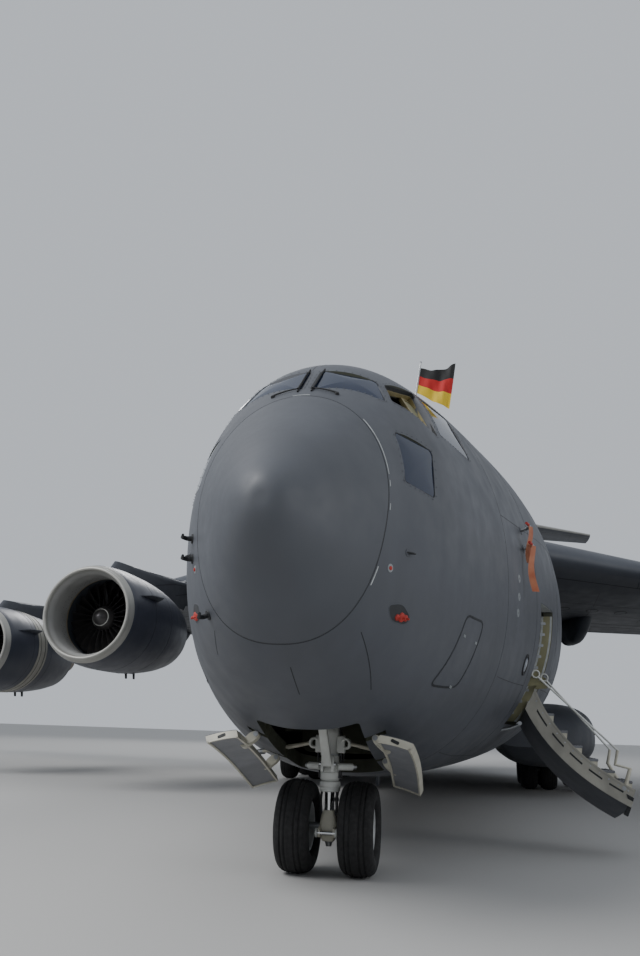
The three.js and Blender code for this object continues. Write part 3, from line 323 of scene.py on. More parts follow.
class Shape:
    """Points and faces of one piece while it is worked out, in full-size metres."""

    def __init__(self) -> None:
        """Starts empty."""
        self.points: list[Array] = []
        self.faces: list[Array] = []
        self.tones: list[Array] = []
        self.finishes: list[Finish] = []
        self.count = 0

    def add(self, points: Array, blocks: Sequence[Array], finish: Finish, closed: bool = False) -> "Shape":
        """Takes points and the faces between them.

        Args:
            points: Any array of points whose last axis is x, y, z.
            blocks: Arrays with one row of indices per face, counted from the first of these points.
            finish: The finish of all the faces.
            closed: Whether they enclose a space, so that they can be turned outwards.

        Returns:
            The shape itself.
        """
        flat = np.asarray(points, float).reshape(-1, 3)
        if finish not in self.finishes:
            self.finishes.append(finish)
        blocks = [np.asarray(faces, np.int64) for faces in blocks]
        inverted = closed and volume(flat, blocks) < 0
        self.points.append(flat)
        for faces in blocks:
            self.faces.append((faces[:, ::-1] if inverted else faces) + self.count)
            self.tones.append(np.full(len(faces), self.finishes.index(finish)))
        self.count += len(flat)
        return self

    def grid(self, points: Array, finish: Finish, ring: bool = True, loop: bool = False,
             closed: bool = False, ends: bool = False) -> "Shape":
        """Quads between the neighbours of a grid of points.

        Args:
            points: Rows by columns by three.
            finish: The finish.
            ring: Whether each row closes on itself.
            loop: Whether the last row joins the first.
            closed: Whether the rows end in poles, so that the grid encloses a space.
            ends: Whether a face closes the first row and another the last.

        Returns:
            The shape itself.
        """
        points = np.asarray(points, float)
        rows, columns = points.shape[:2]
        i, j = np.meshgrid(np.arange(rows if loop else rows - 1), np.arange(columns if ring else columns - 1),
                           indexing="ij")
        a, b = i * columns + j, i * columns + (j + 1) % columns
        c, d = (i + 1) % rows * columns + (j + 1) % columns, (i + 1) % rows * columns + j
        blocks = [np.stack([a, b, c, d], -1).reshape(-1, 4)]
        if ends:
            count = np.arange(columns)
            blocks += [count[None, ::-1], count[None] + (rows - 1) * columns]
        return self.add(points, blocks, finish, closed or ends or (ring and loop))

    def loft(self, rings: Array, finish: Finish) -> "Shape":
        """A closed body through equal rings, with a face across each end, turned outwards."""
        return self.grid(rings, finish, ends=True)

    def tube(self, path: Rows, radius: float | Vector, finish: Finish, sides: int = 12) -> "Shape":
        """A round bar along a path: a circle at each point, square to the line between its neighbours.

        Args:
            path: The points of the centre line.
            radius: One radius, or one for each point.
            finish: The finish.
            sides: How many flats.

        Returns:
            The shape itself.
        """
        path = np.asarray(path, float)
        ahead = unit(np.gradient(path, axis=0))
        helper = np.where(np.abs(ahead[:, 2:]) > 0.9, [1.0, 0, 0], [0, 0, 1.0])
        u = unit(np.cross(helper, ahead))
        v = np.cross(ahead, u)
        angle = circle(sides)
        size = np.broadcast_to(np.asarray(radius, float), (len(path),))[:, None, None]
        ring = u[:, None] * np.cos(angle)[None, :, None] + v[:, None] * np.sin(angle)[None, :, None]
        return self.loft(path[:, None] + ring * size, finish)

    def lathe(self, profile: Rows, centre: Vector, axis: Vector, finish: Finish, sides: int = 48,
              closed: bool = False) -> "Shape":
        """A profile of distance along and radius, carried round an axis.

        Args:
            profile: Distance along the axis and radius, point by point.
            centre: Where the distance is zero.
            axis: The direction of the axis.
            finish: The finish.
            sides: How many steps round.
            closed: Whether the profile's last point joins its first.

        Returns:
            The shape itself.
        """
        profile = np.asarray(profile, float)
        axis = unit(axis)
        helper = np.array([0, 0, 1.0]) if abs(axis[2]) < 0.9 else np.array([1.0, 0, 0])
        u = unit(np.cross(helper, axis))
        v = np.cross(axis, u)
        angle = circle(sides)
        ring = u * np.cos(angle)[:, None] + v * np.sin(angle)[:, None]
        points = np.asarray(centre, float) + profile[:, :1, None] * axis + profile[:, 1:, None] * ring
        poles = profile[0, 1] == 0 and profile[-1, 1] == 0
        return self.grid(points, finish, loop=closed, closed=poles)

    def prism(self, outline: Rows, origin: Vector, u: Vector, v: Vector, depth: Vector,
              finish: Finish) -> "Shape":
        """A flat outline in the directions u and v, carried along depth, half to each side of origin.

        Args:
            outline: Pairs of distances along u and v.
            origin: Where both are zero.
            u: The first direction.
            v: The second direction.
            depth: The way and the length that it is carried.
            finish: The finish.

        Returns:
            The shape itself.
        """
        outline = np.asarray(outline, float)
        origin, u, v, depth = (np.asarray(vector, float) for vector in (origin, u, v, depth))
        flat = origin + outline[:, :1] * u + outline[:, 1:] * v
        half = depth / 2
        return self.loft(np.stack([flat - half, flat + half]), finish)

    def side_plate(self, outline: Rows, origin: Vector, thickness: float, finish: Finish) -> "Shape":
        """A plate whose outline runs aft and up, as thick as that across."""
        return self.prism(outline, origin, AFT, UP, (thickness, 0, 0), finish)

    def cross_plate(self, outline: Rows, origin: Vector, thickness: float, finish: Finish) -> "Shape":
        """A plate whose outline runs across and up, as thick as that along the aircraft."""
        return self.prism(outline, origin, ACROSS, UP, (0, thickness, 0), finish)

    def flat_plate(self, outline: Rows, origin: Vector, thickness: float, finish: Finish) -> "Shape":
        """A level plate whose outline runs across and aft."""
        return self.prism(outline, origin, ACROSS, AFT, (0, 0, thickness), finish)

    def box(self, low: Vector, high: Vector, finish: Finish) -> "Shape":
        """A plain block between two corners.

        Args:
            low: One corner.
            high: The opposite corner.
            finish: The finish.

        Returns:
            The shape itself.
        """
        low, high = np.minimum(low, high), np.maximum(low, high)
        x, y, z = (low + high) / 2
        w, d, h = high - low
        outline = rounded_box(w, h, min(w, h) * 0.12)
        return self.cross_plate(outline, (x, y, z), d, finish)

    def turn(self, origin: Vector, axis: Vector, degrees: float) -> "Shape":
        """Turns all that is in the shape about a line."""
        self.points = [turned(points, origin, axis, degrees) for points in self.points]
        return self

    def mirror(self) -> "Shape":
        """The same shape on the other side, with its faces turned back outwards."""
        self.points = [points * (-1, 1, 1) for points in self.points]
        self.faces = [faces[:, ::-1] for faces in self.faces]
        return self

    def build(self, name: str, body: str, slot: str | None = None, replaces: Sequence[str] = (),
              smooth: float = SMOOTH_ANGLE) -> Piece:
        """Puts the arrays into a mesh and hands the piece over to a body.

        Args:
            name: The piece's name.
            body: The body that it moves with.
            slot: Not used.
            replaces: The CAD nodes that it stands for.
            smooth: Edges sharper than this angle stay sharp.

        Returns:
            The new object.
        """
        mesh = bpy.data.meshes.new(name)
        points = to_frame(np.concatenate(self.points))
        sizes = np.concatenate([np.full(len(faces), faces.shape[1]) for faces in self.faces])
        mesh.vertices.add(len(points))
        mesh.vertices.foreach_set("co", points.astype(np.float32).ravel())
        mesh.loops.add(int(sizes.sum()))
        corners = np.concatenate([faces.ravel() for faces in self.faces])
        mesh.loops.foreach_set("vertex_index", corners.astype(np.int32))
        mesh.polygons.add(len(sizes))
        mesh.polygons.foreach_set("loop_start", np.concatenate([[0], np.cumsum(sizes)[:-1]]).astype(np.int32))
        mesh.polygons.foreach_set("material_index", np.concatenate(self.tones).astype(np.int32))
        for finish in self.finishes:
            mesh.materials.append(coat_material(finish))
        mesh.update(calc_edges=True)
        mesh.validate()
        merge_doubles(mesh)
        return dress(bpy.data.objects.new(name, mesh), body, replaces, smooth)


def standing(x: Vector, y: Vector, z: Vector, place: Vector) -> Matrix:
    """The matrix of an object with its own axes along x, y and z and its origin at place."""
    turn = np.eye(4)
    turn[:3] = np.stack([x, y, z, place], 1)
    return Matrix(turn.tolist())


def merge_doubles(mesh: bpy.types.Mesh, near: float = 2e-5) -> None:
    """Joins points of a mesh that lie in one place, and drops faces that this leaves without area.

    Args:
        mesh: The mesh.
        near: How close the points of one place lie.
    """
    work = bmesh.new()
    work.from_mesh(mesh)
    bmesh.ops.remove_doubles(work, verts=work.verts, dist=near)
    bmesh.ops.dissolve_degenerate(work, edges=work.edges, dist=near)
    work.to_mesh(mesh)
    work.free()


def dress(piece: Piece, body: str, replaces: Sequence[str], smooth: float) -> Piece:
    """Links a piece, shades it, puts it under its body, and hides the nodes that it stands for.

    Args:
        piece: The new object.
        body: The body that it moves with.
        replaces: The CAD nodes that it stands for.
        smooth: Edges sharper than this angle stay sharp.

    Returns:
        The piece.
    """
    bpy.context.scene.collection.objects.link(piece)
    piece.data.shade_smooth()
    piece.data.set_sharp_from_angle(angle=smooth)
    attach(piece, body)
    if replaces:
        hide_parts(*replaces)
    PIECES.append(piece)
    return piece


def cutter(shape: Shape) -> Piece:
    """A shape as a loose object for a cut, deleted afterwards.

    Args:
        shape: A closed body.

    Returns:
        The loose object.
    """
    mesh = bpy.data.meshes.new("cutter")
    points = to_frame(np.concatenate(shape.points))
    faces = [face.tolist() for block in shape.faces for face in block]
    mesh.from_pydata(points.tolist(), [], faces)
    merge_doubles(mesh)
    tool = bpy.data.objects.new("cutter", mesh)
    bpy.context.scene.collection.objects.link(tool)
    return tool


def carve(piece: Piece, tools: Sequence[Shape]) -> None:
    """Cuts closed shapes out of a finished piece, one after the other.

    Args:
        piece: The piece.
        tools: The shapes.
    """
    for tool in map(cutter, tools):
        modifier = piece.modifiers.new("opening", "BOOLEAN")
        modifier.operation = "DIFFERENCE"
        modifier.solver = "EXACT"
        modifier.object = tool
        bpy.context.view_layer.update()
        result = bpy.data.meshes.new_from_object(piece.evaluated_get(bpy.context.evaluated_depsgraph_get()))
        piece.modifiers.clear()
        piece.data = result
        bpy.data.objects.remove(tool)
    piece.data.shade_smooth()
    piece.data.set_sharp_from_angle(angle=SMOOTH_ANGLE)


def face_values(piece: Piece, name: str, columns: int = 3) -> Array:
    """One row of a named value for each face of a piece."""
    values = np.zeros(len(piece.data.polygons) * columns, np.float32)
    piece.data.polygons.foreach_get(name, values)
    return values.reshape(-1, columns)


def prime_faces(piece: Piece, primed: Array) -> None:
    """Gives the marked faces of a grey shell the primer of its inside, darkened as painted shade."""
    piece.data.materials.clear()
    for finish in (Finish.BODY_GREY, Finish.PRIMER_DARK):
        piece.data.materials.append(coat_material(finish))
    piece.data.polygons.foreach_set("material_index", primed.astype(np.int32))


def kept_node(node: str, finish: Finish, body: str, smooth: float = SMOOTH_ANGLE) -> Piece:
    """A merged, smoothly shaded copy of a CAD node, which then stands for it.

    Args:
        node: The node's name.
        finish: The finish.
        body: The body that it moves with.
        smooth: Edges sharper than this angle stay sharp.

    Returns:
        The new object.
    """
    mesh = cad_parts[node].data.copy()
    mesh.name = f"{node}_finished"
    mesh.materials.clear()
    mesh.materials.append(coat_material(finish))
    merge_doubles(mesh)
    mesh.polygons.foreach_set("material_index", np.zeros(len(mesh.polygons), np.int32))
    return dress(bpy.data.objects.new(mesh.name, mesh), body, (node,), smooth)


def rounded_outline(corners: Rows, radius: float, steps: int = 6, stretch: float = 1.0) -> Array:
    """A polygon with its corners rounded by quadratic curves that start at radius from each corner.

    Args:
        corners: The polygon's corners.
        radius: How far from the corner the curve starts, at most 0.45 of the side.
        steps: Points in each curve.
        stretch: Length of one unit of the second coordinate, in units of the first.

    Returns:
        The outline's points.
    """
    corners = np.asarray(corners, float)
    size = np.array([1, stretch])
    share = np.linspace(0, 1, steps)[:, None]
    points = []
    for before, corner, after in zip(np.roll(corners, 1, 0), corners, np.roll(corners, -1, 0)):
        ends = []
        for other in (before, after):
            side = np.linalg.norm((other - corner) * size)
            ends.append(corner + (other - corner) * min(radius / side, 0.45))
        points.append(ends[0] * (1 - share) ** 2 + corner * 2 * share * (1 - share) + ends[1] * share**2)
    return np.concatenate(points)


def rounded_box(width: float, height: float, radius: float, steps: int = 4) -> Array:
    """A rectangle about the origin with rounded corners."""
    x, y = width / 2, height / 2
    return rounded_outline([(-x, -y), (x, -y), (x, y), (-x, y)], radius, steps)


def line(start: Vector, end: Vector, count: int = 2) -> Array:
    """Points at equal steps on a straight line."""
    return np.linspace(np.asarray(start, float), np.asarray(end, float), count)


@dataclass(frozen=True)
class FuselageForm:
    """The fuselage's sections: superellipses with one exponent above the waist and one below it."""

    rows: tuple[tuple[float, ...], ...] = (
        (0, 3.47, 3.37, 0.05, 3.42), (0.25, 3.89, 2.92, 0.39, 3.44), (0.75, 4.41, 2.38, 0.75, 3.5),
        (1.55, 5.15, 1.86, 1.21, 3.57), (2.4, 5.85, 1.49, 1.55, 3.61), (3.5, 6.31, 1.21, 1.88, 3.67),
        (5.8, 6.85, 0.97, 2.54, 3.78), (7.5, 7.1, 0.95, 3.02, 3.86), (9, 7.3, 0.95, 3.29, 3.92),
        (10.5, 7.43, 0.95, 3.43, 3.96), (33.5, 7.43, 0.95, 3.43, 3.96), (36, 7.43, 1.42, 3.4, 4.15),
        (39.3, 7.42, 2.42, 3.05, 4.5), (42.5, 7.37, 3.52, 2.33, 4.98), (45.4, 7.2, 4.52, 1.5, 5.5),
        (48, 6.75, 5.42, 0.62, 6.05), (48.6, 6.5, 5.7, 0.22, 6.1),
    )
    upper: float = 2.06
    lower: float = 2.34
    seam_station: float = 1.07
    seam_height: float = 3.52
    seam_lean: float = 0.175

    def at(self, station: Array | float, angle: Array | float, offset: float = 0.0) -> Array:
        """Points of the skin: the table's curve along the root of the station, a superellipse around.

        Args:
            station: Aft of the nose tip.
            angle: Radians from the crown, towards port.
            offset: How far outside the skin.

        Returns:
            Points, with the arguments' common shape and one more axis.
        """
        station, angle = np.broadcast_arrays(np.asarray(station, float), np.asarray(angle, float))
        table = np.array(self.rows)
        row = eased(np.sqrt(table[:, 0]), table[:, 1:], np.sqrt(np.maximum(station, 0)))
        above = np.cos(angle) >= 0
        across, up = superellipse(angle, np.where(above, self.upper, self.lower))
        height = np.where(above, row[..., 0] - row[..., 3], row[..., 3] - row[..., 1])
        x = np.maximum(row[..., 2] + offset, 0.001) * across
        return np.stack([x, station, row[..., 3] + np.maximum(height + offset, 0.001) * up], -1)

    def seam(self, angle: Array, shift: float = 0.0, offset: float = 0.0) -> Array:
        """Stations at which the skin crosses the radome's leaning joint plane, by repeated substitution.

        Args:
            angle: Radians from the crown.
            shift: How far aft of the joint.
            offset: How far outside the skin.

        Returns:
            One station for each angle.
        """
        station = np.full(np.shape(angle), self.seam_station + shift)
        for _ in range(12):
            height = self.at(station, angle, offset)[..., 2]
            station = self.seam_station + shift + (height - self.seam_height) * self.seam_lean
        return station

    def normals(self, station: Array, angle: Array) -> Array:
        """Outward directions: the cross product of the skin's two tangents."""
        step = 1e-3
        along = self.at(station + step, angle) - self.at(np.maximum(station - step, 0), angle)
        around = self.at(station, angle + step) - self.at(station, angle - step)
        return unit(np.cross(around, along))

    def edge_frame(self, outline: Array) -> tuple[Array, Array, Array, Array]:
        """Along a closed outline of stations and degrees: its points, and the ways out, ahead and away."""
        station, angle = outline[:, 0], np.radians(outline[:, 1])
        middle, out = self.at(station, angle), self.normals(station, angle)
        ahead = unit(np.roll(middle, -1, 0) - np.roll(middle, 1, 0))
        return middle, out, ahead, unit(np.cross(out, ahead)) * (1 if orientation(outline) > 0 else -1)

    def ribbon(self, shape: Shape, path: Rows, width: float, finish: Finish,
               height: float = 0.0025, loop: bool = False, step: float = 0.06) -> None:
        """A thin strip that follows the skin: its edges sink into it and its middle stands just proud.

        Args:
            shape: The shape that gets the strip.
            path: Station and degrees from the crown, corner by corner.
            width: The strip's width.
            finish: Its finish.
            height: How proud it stands.
            loop: Whether the path closes.
            step: The longest step between its points.
        """
        corners = np.asarray(path, float)
        if loop:
            corners = np.vstack([corners, corners[:1]])
        runs = []
        for start, end in zip(corners[:-1], corners[1:]):
            gap = self.at(*(end * (1, math.pi / 180))) - self.at(*(start * (1, math.pi / 180)))
            count = max(2, int(np.linalg.norm(gap) / step) + 1)
            runs.append(np.linspace(start, end, count, endpoint=False))
        flat = np.concatenate(runs if loop else [*runs, corners[-1:]])
        station, angle = flat[:, 0], np.radians(flat[:, 1])
        middle, out = self.at(station, angle), self.normals(station, angle)
        ahead = np.roll(middle, -1, 0) - np.roll(middle, 1, 0) if loop else np.gradient(middle, axis=0)
        beside = unit(np.cross(out, unit(ahead)))
        strip = strip_rings(middle, beside, out, width, height, 0.002)
        shape.grid(strip, finish, loop=loop, ends=not loop)

    def pane(self, shape: Shape, outline: Array, top: float, bottom: float, finish: Finish) -> None:
        """A curved plate that fills an outline on the skin: the outline shrunk to its middle, ring by ring.

        Args:
            shape: The shape that gets the plate.
            outline: Station and degrees of the outline's points.
            top: Height of its outer face over the skin.
            bottom: Height of its inner face.
            finish: Its finish.
        """
        middle = outline.mean(0)
        share = np.linspace(0.02, 1, 6)[:, None, None]
        flat = middle + (outline - middle) * share
        faces = [self.at(flat[..., 0], np.radians(flat[..., 1]), offset) for offset in (top, bottom)]
        shape.grid(np.concatenate([faces[0], faces[1][::-1]]), finish, ends=True)

    def frame_ring(self, shape: Shape, outline: Array, profile: Rows, finish: Finish) -> None:
        """A closed frame along an outline on the skin.

        Args:
            shape: The shape that gets the frame.
            outline: Station and degrees of the outline's points.
            profile: Distance outwards from the outline and height above the skin, round the frame's section.
            finish: Its finish.
        """
        middle, out, _, beside = self.edge_frame(outline)
        rows = np.stack([middle + beside * across + out * up for across, up in profile], 1)
        shape.grid(rows, finish, loop=True)

    def prism(self, outline: Array, above: float, below: float) -> Shape:
        """The closed body under an outline on the skin, for cutting."""
        station, angle = outline[:, 0], np.radians(outline[:, 1])
        rings = [self.at(station, angle, offset) for offset in (above, below)]
        return Shape().loft(np.stack(rings), Finish.SEAM_DARK)


def orientation(outline: Array) -> float:
    """Positive where an outline runs from the first coordinate towards the second."""
    x, y = outline[:, 0], outline[:, 1]
    return float(np.sum(x * np.roll(y, -1) - y * np.roll(x, -1)))


FORM = FuselageForm()


@dataclass(frozen=True)
class DeckWindows:
    """The flight deck's windows as corners on the skin: station and degrees from the crown."""

    windscreen: tuple = ((1.5, 2.1), (2.03, 2.1), (2.18, 27.5), (1.89, 37))
    sliding: tuple = ((2.01, 38.5), (2.24, 30.5), (3.19, 34.5), (2.63, 57), (2.13, 43))
    aft: tuple = ((2.82, 55.5), (3.24, 36.5), (4.2, 41.5), (3.81, 61))
    lower: tuple = ((1.59, 51), (2.2, 63), (1.95, 79.5), (1.4, 74))
    frame_section: tuple = ((0.03, -0.004), (0.026, 0.0015), (0.007, 0.0015), (0.007, -0.004))
    seal_section: tuple = ((0.008, -0.05), (0.008, 0.0015), (-0.006, 0.0), (-0.009, -0.05))
    corner: float = 0.05
    metres_per_degree: float = 0.024
    glass_depth: float = 0.005

    def rounded(self, corners: Rows, side: int) -> Array:
        """A window's outline on a side, with its corners rounded."""
        return rounded_outline(np.array(corners, float) * (1, side), self.corner, 6, self.metres_per_degree)

    def outlines(self, side: int) -> dict[str, Array]:
        """The rounded outline of each window on a side."""
        named = {"windscreen": self.windscreen, "sliding": self.sliding, "aft": self.aft, "lower": self.lower}
        return {name: self.rounded(corners, side) for name, corners in named.items()}

    def build(self) -> None:
        """Makes the panes, tinted dark blue as a painted sky reflection, their frames and seals, the opened
        side window, and the wipers.
        """
        for side, hand in SIDES:
            panes, frames = Shape(), Shape()
            for name, outline in self.outlines(side).items():
                if not (name == "sliding" and side == PORT):
                    # The panes' dark blue tint is a painted reflection of the sky.
                    FORM.pane(panes, outline, -self.glass_depth, -self.glass_depth - 0.022, Finish.GLASS)
                FORM.frame_ring(frames, outline, self.frame_section, Finish.BODY_GREY)
                FORM.frame_ring(frames, outline, self.seal_section, Finish.SEAL_BLACK)
                self.screws(frames, outline)
            panes.build(f"cockpit_panes_{hand}", "airframe", "window_glass",
                        ("flight_deck_glazing",) if side == PORT else ())
            frames.build(f"window_frames_{hand}", "airframe", "grey_paint")
        self.slid_window()
        self.wipers()

    def screws(self, shape: Shape, outline: Array) -> None:
        """Flush screw heads at even steps round a frame: low domes of a few faces.

        Args:
            shape: The shape that gets it.
            outline: Station and degrees of the frame's outline.
        """
        closed = np.vstack([outline, outline[:1]])
        size = np.linalg.norm(np.diff(closed, axis=0) * (1, self.metres_per_degree), axis=1)
        gone = np.concatenate([[0], np.cumsum(size)])
        at = np.linspace(0, gone[-1], int(gone[-1] / 0.085), endpoint=False)
        flat = np.stack([np.interp(at, gone, closed[:, i]) for i in range(2)], 1)
        centre, out, ahead, beside = FORM.edge_frame(flat)
        centre = centre + beside * 0.028
        turn = circle(6)
        ring = ahead[:, None] * np.cos(turn)[:, None] + beside[:, None] * np.sin(turn)[:, None]
        domes = np.stack([centre[:, None] + ring * 0.008 + out[:, None] * 0.005,
                          centre[:, None] + ring * 0.005 + out[:, None] * 0.0095], 1)
        for dome in domes:
            shape.loft(dome, Finish.BODY_GREY)

    def slid_window(self) -> None:
        """The port side window, slid aft inside: its pane, golden frame and rails, and the jamb it left."""
        outline = self.rounded(np.array(self.sliding) + (0.62, 5.0), PORT)
        shape = Shape()
        FORM.pane(shape, outline, -0.115, -0.135, Finish.KHAKI)
        FORM.frame_ring(shape, outline, [(0.045, -0.15), (0.045, -0.1), (-0.012, -0.1), (-0.012, -0.15)],
                        Finish.GOLDEN_FRAME)
        for start, end in (((2.05, 46), (3.9, 62)), ((2.2, 30), (3.9, 38))):
            path = line(start, end, 16)
            shape.tube(FORM.at(path[:, 0], np.radians(path[:, 1]), -0.14), 0.014, Finish.STEEL, 8)
        shape.build("side_window_slid_open", "airframe", "window_glass")
        jamb = Shape()
        hole = self.rounded(self.sliding, PORT)
        FORM.frame_ring(jamb, hole, [(0.03, -0.1), (0.03, -0.05), (-0.03, -0.05), (-0.035, -0.1)],
                        Finish.GOLDEN_FRAME)
        jamb.build("side_window_jamb", "airframe", "primer")

    def wipers(self) -> None:
        """Two wipers parked along the centre post: a foot, an arm, and a rubber blade in its holder."""
        for side, hand in SIDES:
            shape = Shape()
            foot = FORM.at(1.47, math.radians(17 * side), 0.012)
            arm = FORM.at(np.linspace(1.47, 1.5, 10), np.radians(np.linspace(17, 4, 10) * side), 0.022)
            shape.tube(arm, np.linspace(0.011, 0.007, 10), Finish.SEAL_BLACK, 10)
            blade = FORM.at(np.linspace(1.44, 2.09, 14), np.radians(np.linspace(3.5, 3.2, 14) * side), 0.012)
            shape.tube(blade, 0.009, Finish.RUBBER, 8)
            holder = FORM.at(np.linspace(1.47, 1.95, 12), np.radians(np.linspace(3.6, 3.3, 12) * side), 0.032)
            shape.tube(holder, np.linspace(0.01, 0.006, 12), Finish.SEAL_BLACK, 8)
            out = FORM.normals(np.array(1.47), np.array(math.radians(17 * side)))
            shape.lathe([(-0.02, 0.0), (-0.02, 0.026), (0.0, 0.025), (0.016, 0.018), (0.02, 0.0)], foot, out,
                        Finish.SEAL_BLACK, 16)
            shape.build(f"wiper_{hand}", "airframe", "grey_paint")


@dataclass(frozen=True)
class Skin:
    """The fuselage's shells from the radome to the rear joint, with their openings."""

    around: int = 168
    nose_end: float = 12.5
    rear: float = 33.5
    wall: float = 0.16
    door: tuple[float, float, float, float] = (6.56, 7.5, 1.76, 3.6)
    bay: tuple[float, float, float, float] = (2.18, 4.48, 0.55, 2.65)
    door_slot_half: float = 0.055
    gap: float = 0.0004
    radome_gap: float = 0.0006
    radome_wall: float = 0.06
    joint_height: float = 0.0012
    joint_rings: tuple[float, ...] = (6.3, 8.2, 10.4, 12.5, 15.0, 33.5)
    middle_height: float = 3.8
    cut_from: float = 0.8

    def ring_angles(self) -> Array:
        """Even angles round the skin, from the crown towards port."""
        return circle(self.around)

    def rings(self, start: Array, end: Array, count: int, bend: float, offset: float) -> Array:
        """Skin rings between two edges, closer together near the first: the share goes by a power."""
        angle = self.ring_angles()
        share = np.linspace(0, 1, count)[:, None] ** bend
        return FORM.at(start + (end - start) * share, angle[None, :], offset)

    def capped(self, outer: Array, inner: Array) -> Array:
        """The rings of the outer and inner skins as one surface, with a pole at either end."""
        poles = [np.repeat(ring.mean(1, keepdims=True), self.around, 1) for ring in (outer[:1], inner[-1:])]
        return np.concatenate([poles[0], outer, inner, poles[1]])

    def build_radome(self) -> Piece:
        """The radome: a round-tipped shell that ends at the leaning joint, with a hollow open to the rear."""
        angle = self.ring_angles()
        edge = FORM.seam(angle, -self.radome_gap)
        outer = self.rings(np.zeros(self.around), edge, 84, 2.0, 0.0)
        inner_edge = FORM.seam(angle, -self.radome_gap, -self.radome_wall)
        inner = self.rings(np.full(self.around, 0.25), inner_edge, 40, 1.6, -self.radome_wall)[::-1]
        shape = Shape()
        shape.grid(self.capped(outer, inner), Finish.RADOME_GREY, closed=True)
        return shape.build("radome_shell", "radome", "radome_grey", ("radome",))

    def build_forward(self) -> Piece:
        """The nose section: outer skin, bulkhead and inner skin in one closed surface, then its openings."""
        angle = self.ring_angles()
        end = np.full(self.around, self.nose_end - self.gap)
        outer = self.rings(FORM.seam(angle, self.radome_gap), end, 190, 1.3, 0.0)
        inner = self.rings(FORM.seam(angle, 0.12, -self.wall), end, 64, 1.3, -self.wall)[::-1]
        shape = Shape()
        shape.grid(self.capped(outer, inner), Finish.BODY_GREY, closed=True)
        piece = shape.build("nose_section_shell", "airframe", "grey_paint", ("forward_fuselage",))
        windows = DeckWindows()
        tools = [FORM.prism(outline, 0.12, -0.42) for side, _ in SIDES
                 for outline in windows.outlines(side).values()]
        front, back, sill, head = self.door
        outline = rounded_box(back - front, head - sill, 0.012, 3) + ((front + back) / 2, (sill + head) / 2)
        tools.append(Shape().side_plate(outline, (2.85, 0, 0), 2.7, Finish.SEAM_DARK))
        first, last, half, roof = self.bay
        outline = rounded_box(2 * half, last - first, 0.06) + (0, (first + last) / 2)
        middle = (self.cut_from + roof) / 2
        tools.append(Shape().flat_plate(outline, (0, 0, middle), roof - self.cut_from, Finish.SEAM_DARK))
        tools += [NoseDoors.slot(side, place) for side, _ in SIDES for place in NoseDoors.arms]
        carve(piece, tools)
        self.line_inside(piece)
        return piece

    def line_inside(self, piece: Piece) -> None:
        """Gives the faces that point inwards the cabin's primer, darkened as painted shade."""
        normal, centre = (face_values(piece, name) for name in ("normal", "center"))
        outward = centre * (1, 0, 1) - (0, 0, self.middle_height * SCALE)
        prime_faces(piece, np.einsum("ij,ij->i", normal * (1, 0, 1), outward) < 0)

    def build_middle(self) -> Piece:
        """The constant section between the nose and rear joints, as a tube with a wall."""
        start = np.full(self.around, self.nose_end + self.gap)
        end = np.full(self.around, self.rear - self.gap)
        shape = Shape()
        outer = self.rings(start, end, 60, 1, 0)
        inner = self.rings(start, end, 12, 1, -self.wall)[::-1]
        shape.grid(np.concatenate([outer, inner]), Finish.BODY_GREY, loop=True)
        return shape.build("mid_fuselage_shell", "airframe", "grey_paint", ("mid_fuselage",))

    def build_seams(self) -> None:
        """Panel joints and sealant lines on the skin as thin strips, and the equipment door's joints."""
        angles = np.arange(0, 360, 5)
        seam = FORM.seam(np.radians(angles))
        shape = Shape()
        FORM.ribbon(shape, np.stack([seam + 0.008, angles], 1), 0.01, Finish.SEAM_DARK, self.joint_height,
                    loop=True)
        for first, last, width in ((38, 70, 0.011), (73, 76, 0.008), (84, 87, 0.007), (108, 117, 0.012),
                                   (-5, 4, 0.011)):
            bead = [(FORM.seam(np.radians(np.array(a))) + 0.03, a) for a in np.linspace(first, last, 12)]
            FORM.ribbon(shape, bead, width, Finish.SEALANT, 0.003)
        for path in ([(1.13, 137), (1.77, 150)], [(1.13, -137), (1.4, -142)], [(1.12, 178), (1.5, 178)],
                     [(2.09, -2.2), (2.9, -2.2)], [(2.3, 0), (2.9, 0)], [(4.6, 14), (4.6, 172)],
                     [(4.6, -14), (4.6, -172)], [(4.6, 14), (12.4, 14)], [(4.6, -14), (12.4, -14)],
                     [(4.6, 75), (12.4, 75)], [(4.6, -75), (12.4, -75)], [(4.7, 118), (6.3, 118)],
                     [(7.75, 118), (12.4, 118)], [(4.7, -118), (12.4, -118)], [(4.7, 150), (12.4, 150)],
                     [(4.7, -150), (12.4, -150)]):
            FORM.ribbon(shape, path, 0.009, Finish.SEAM_DARK, self.joint_height, step=0.1)
        for station in self.joint_rings:
            path = [(station, degrees) for degrees in range(0, 360, 15)]
            FORM.ribbon(shape, path, 0.012, Finish.SEAM_DARK, self.joint_height, loop=True, step=0.12)
        shape.build("skin_seams", "airframe", "grey_paint")
        self.build_access_panel()

    def build_access_panel(self) -> None:
        """The equipment door low on the port side, with its thick dark joint and its latches."""
        corners = [(2.93, 106), (3.59, 105.4), (3.31, 127), (2.57, 132)]
        shape = Shape()
        for side, _ in SIDES:
            outline = rounded_outline(np.array(corners, float) * (1, side), 0.12, 5, 0.035)
            FORM.ribbon(shape, outline, 0.026, Finish.SEAM_DARK, 0.003, loop=True)
            for station, degrees in ((2.95, 112), (3.4, 112), (3.1, 128)):
                FORM.ribbon(shape, [(station, degrees * side), (station + 0.07, degrees * side)], 0.03,
                            Finish.FRAME_METAL, 0.004)
        shape.build("equipment_panel_joints", "airframe", "grey_paint")


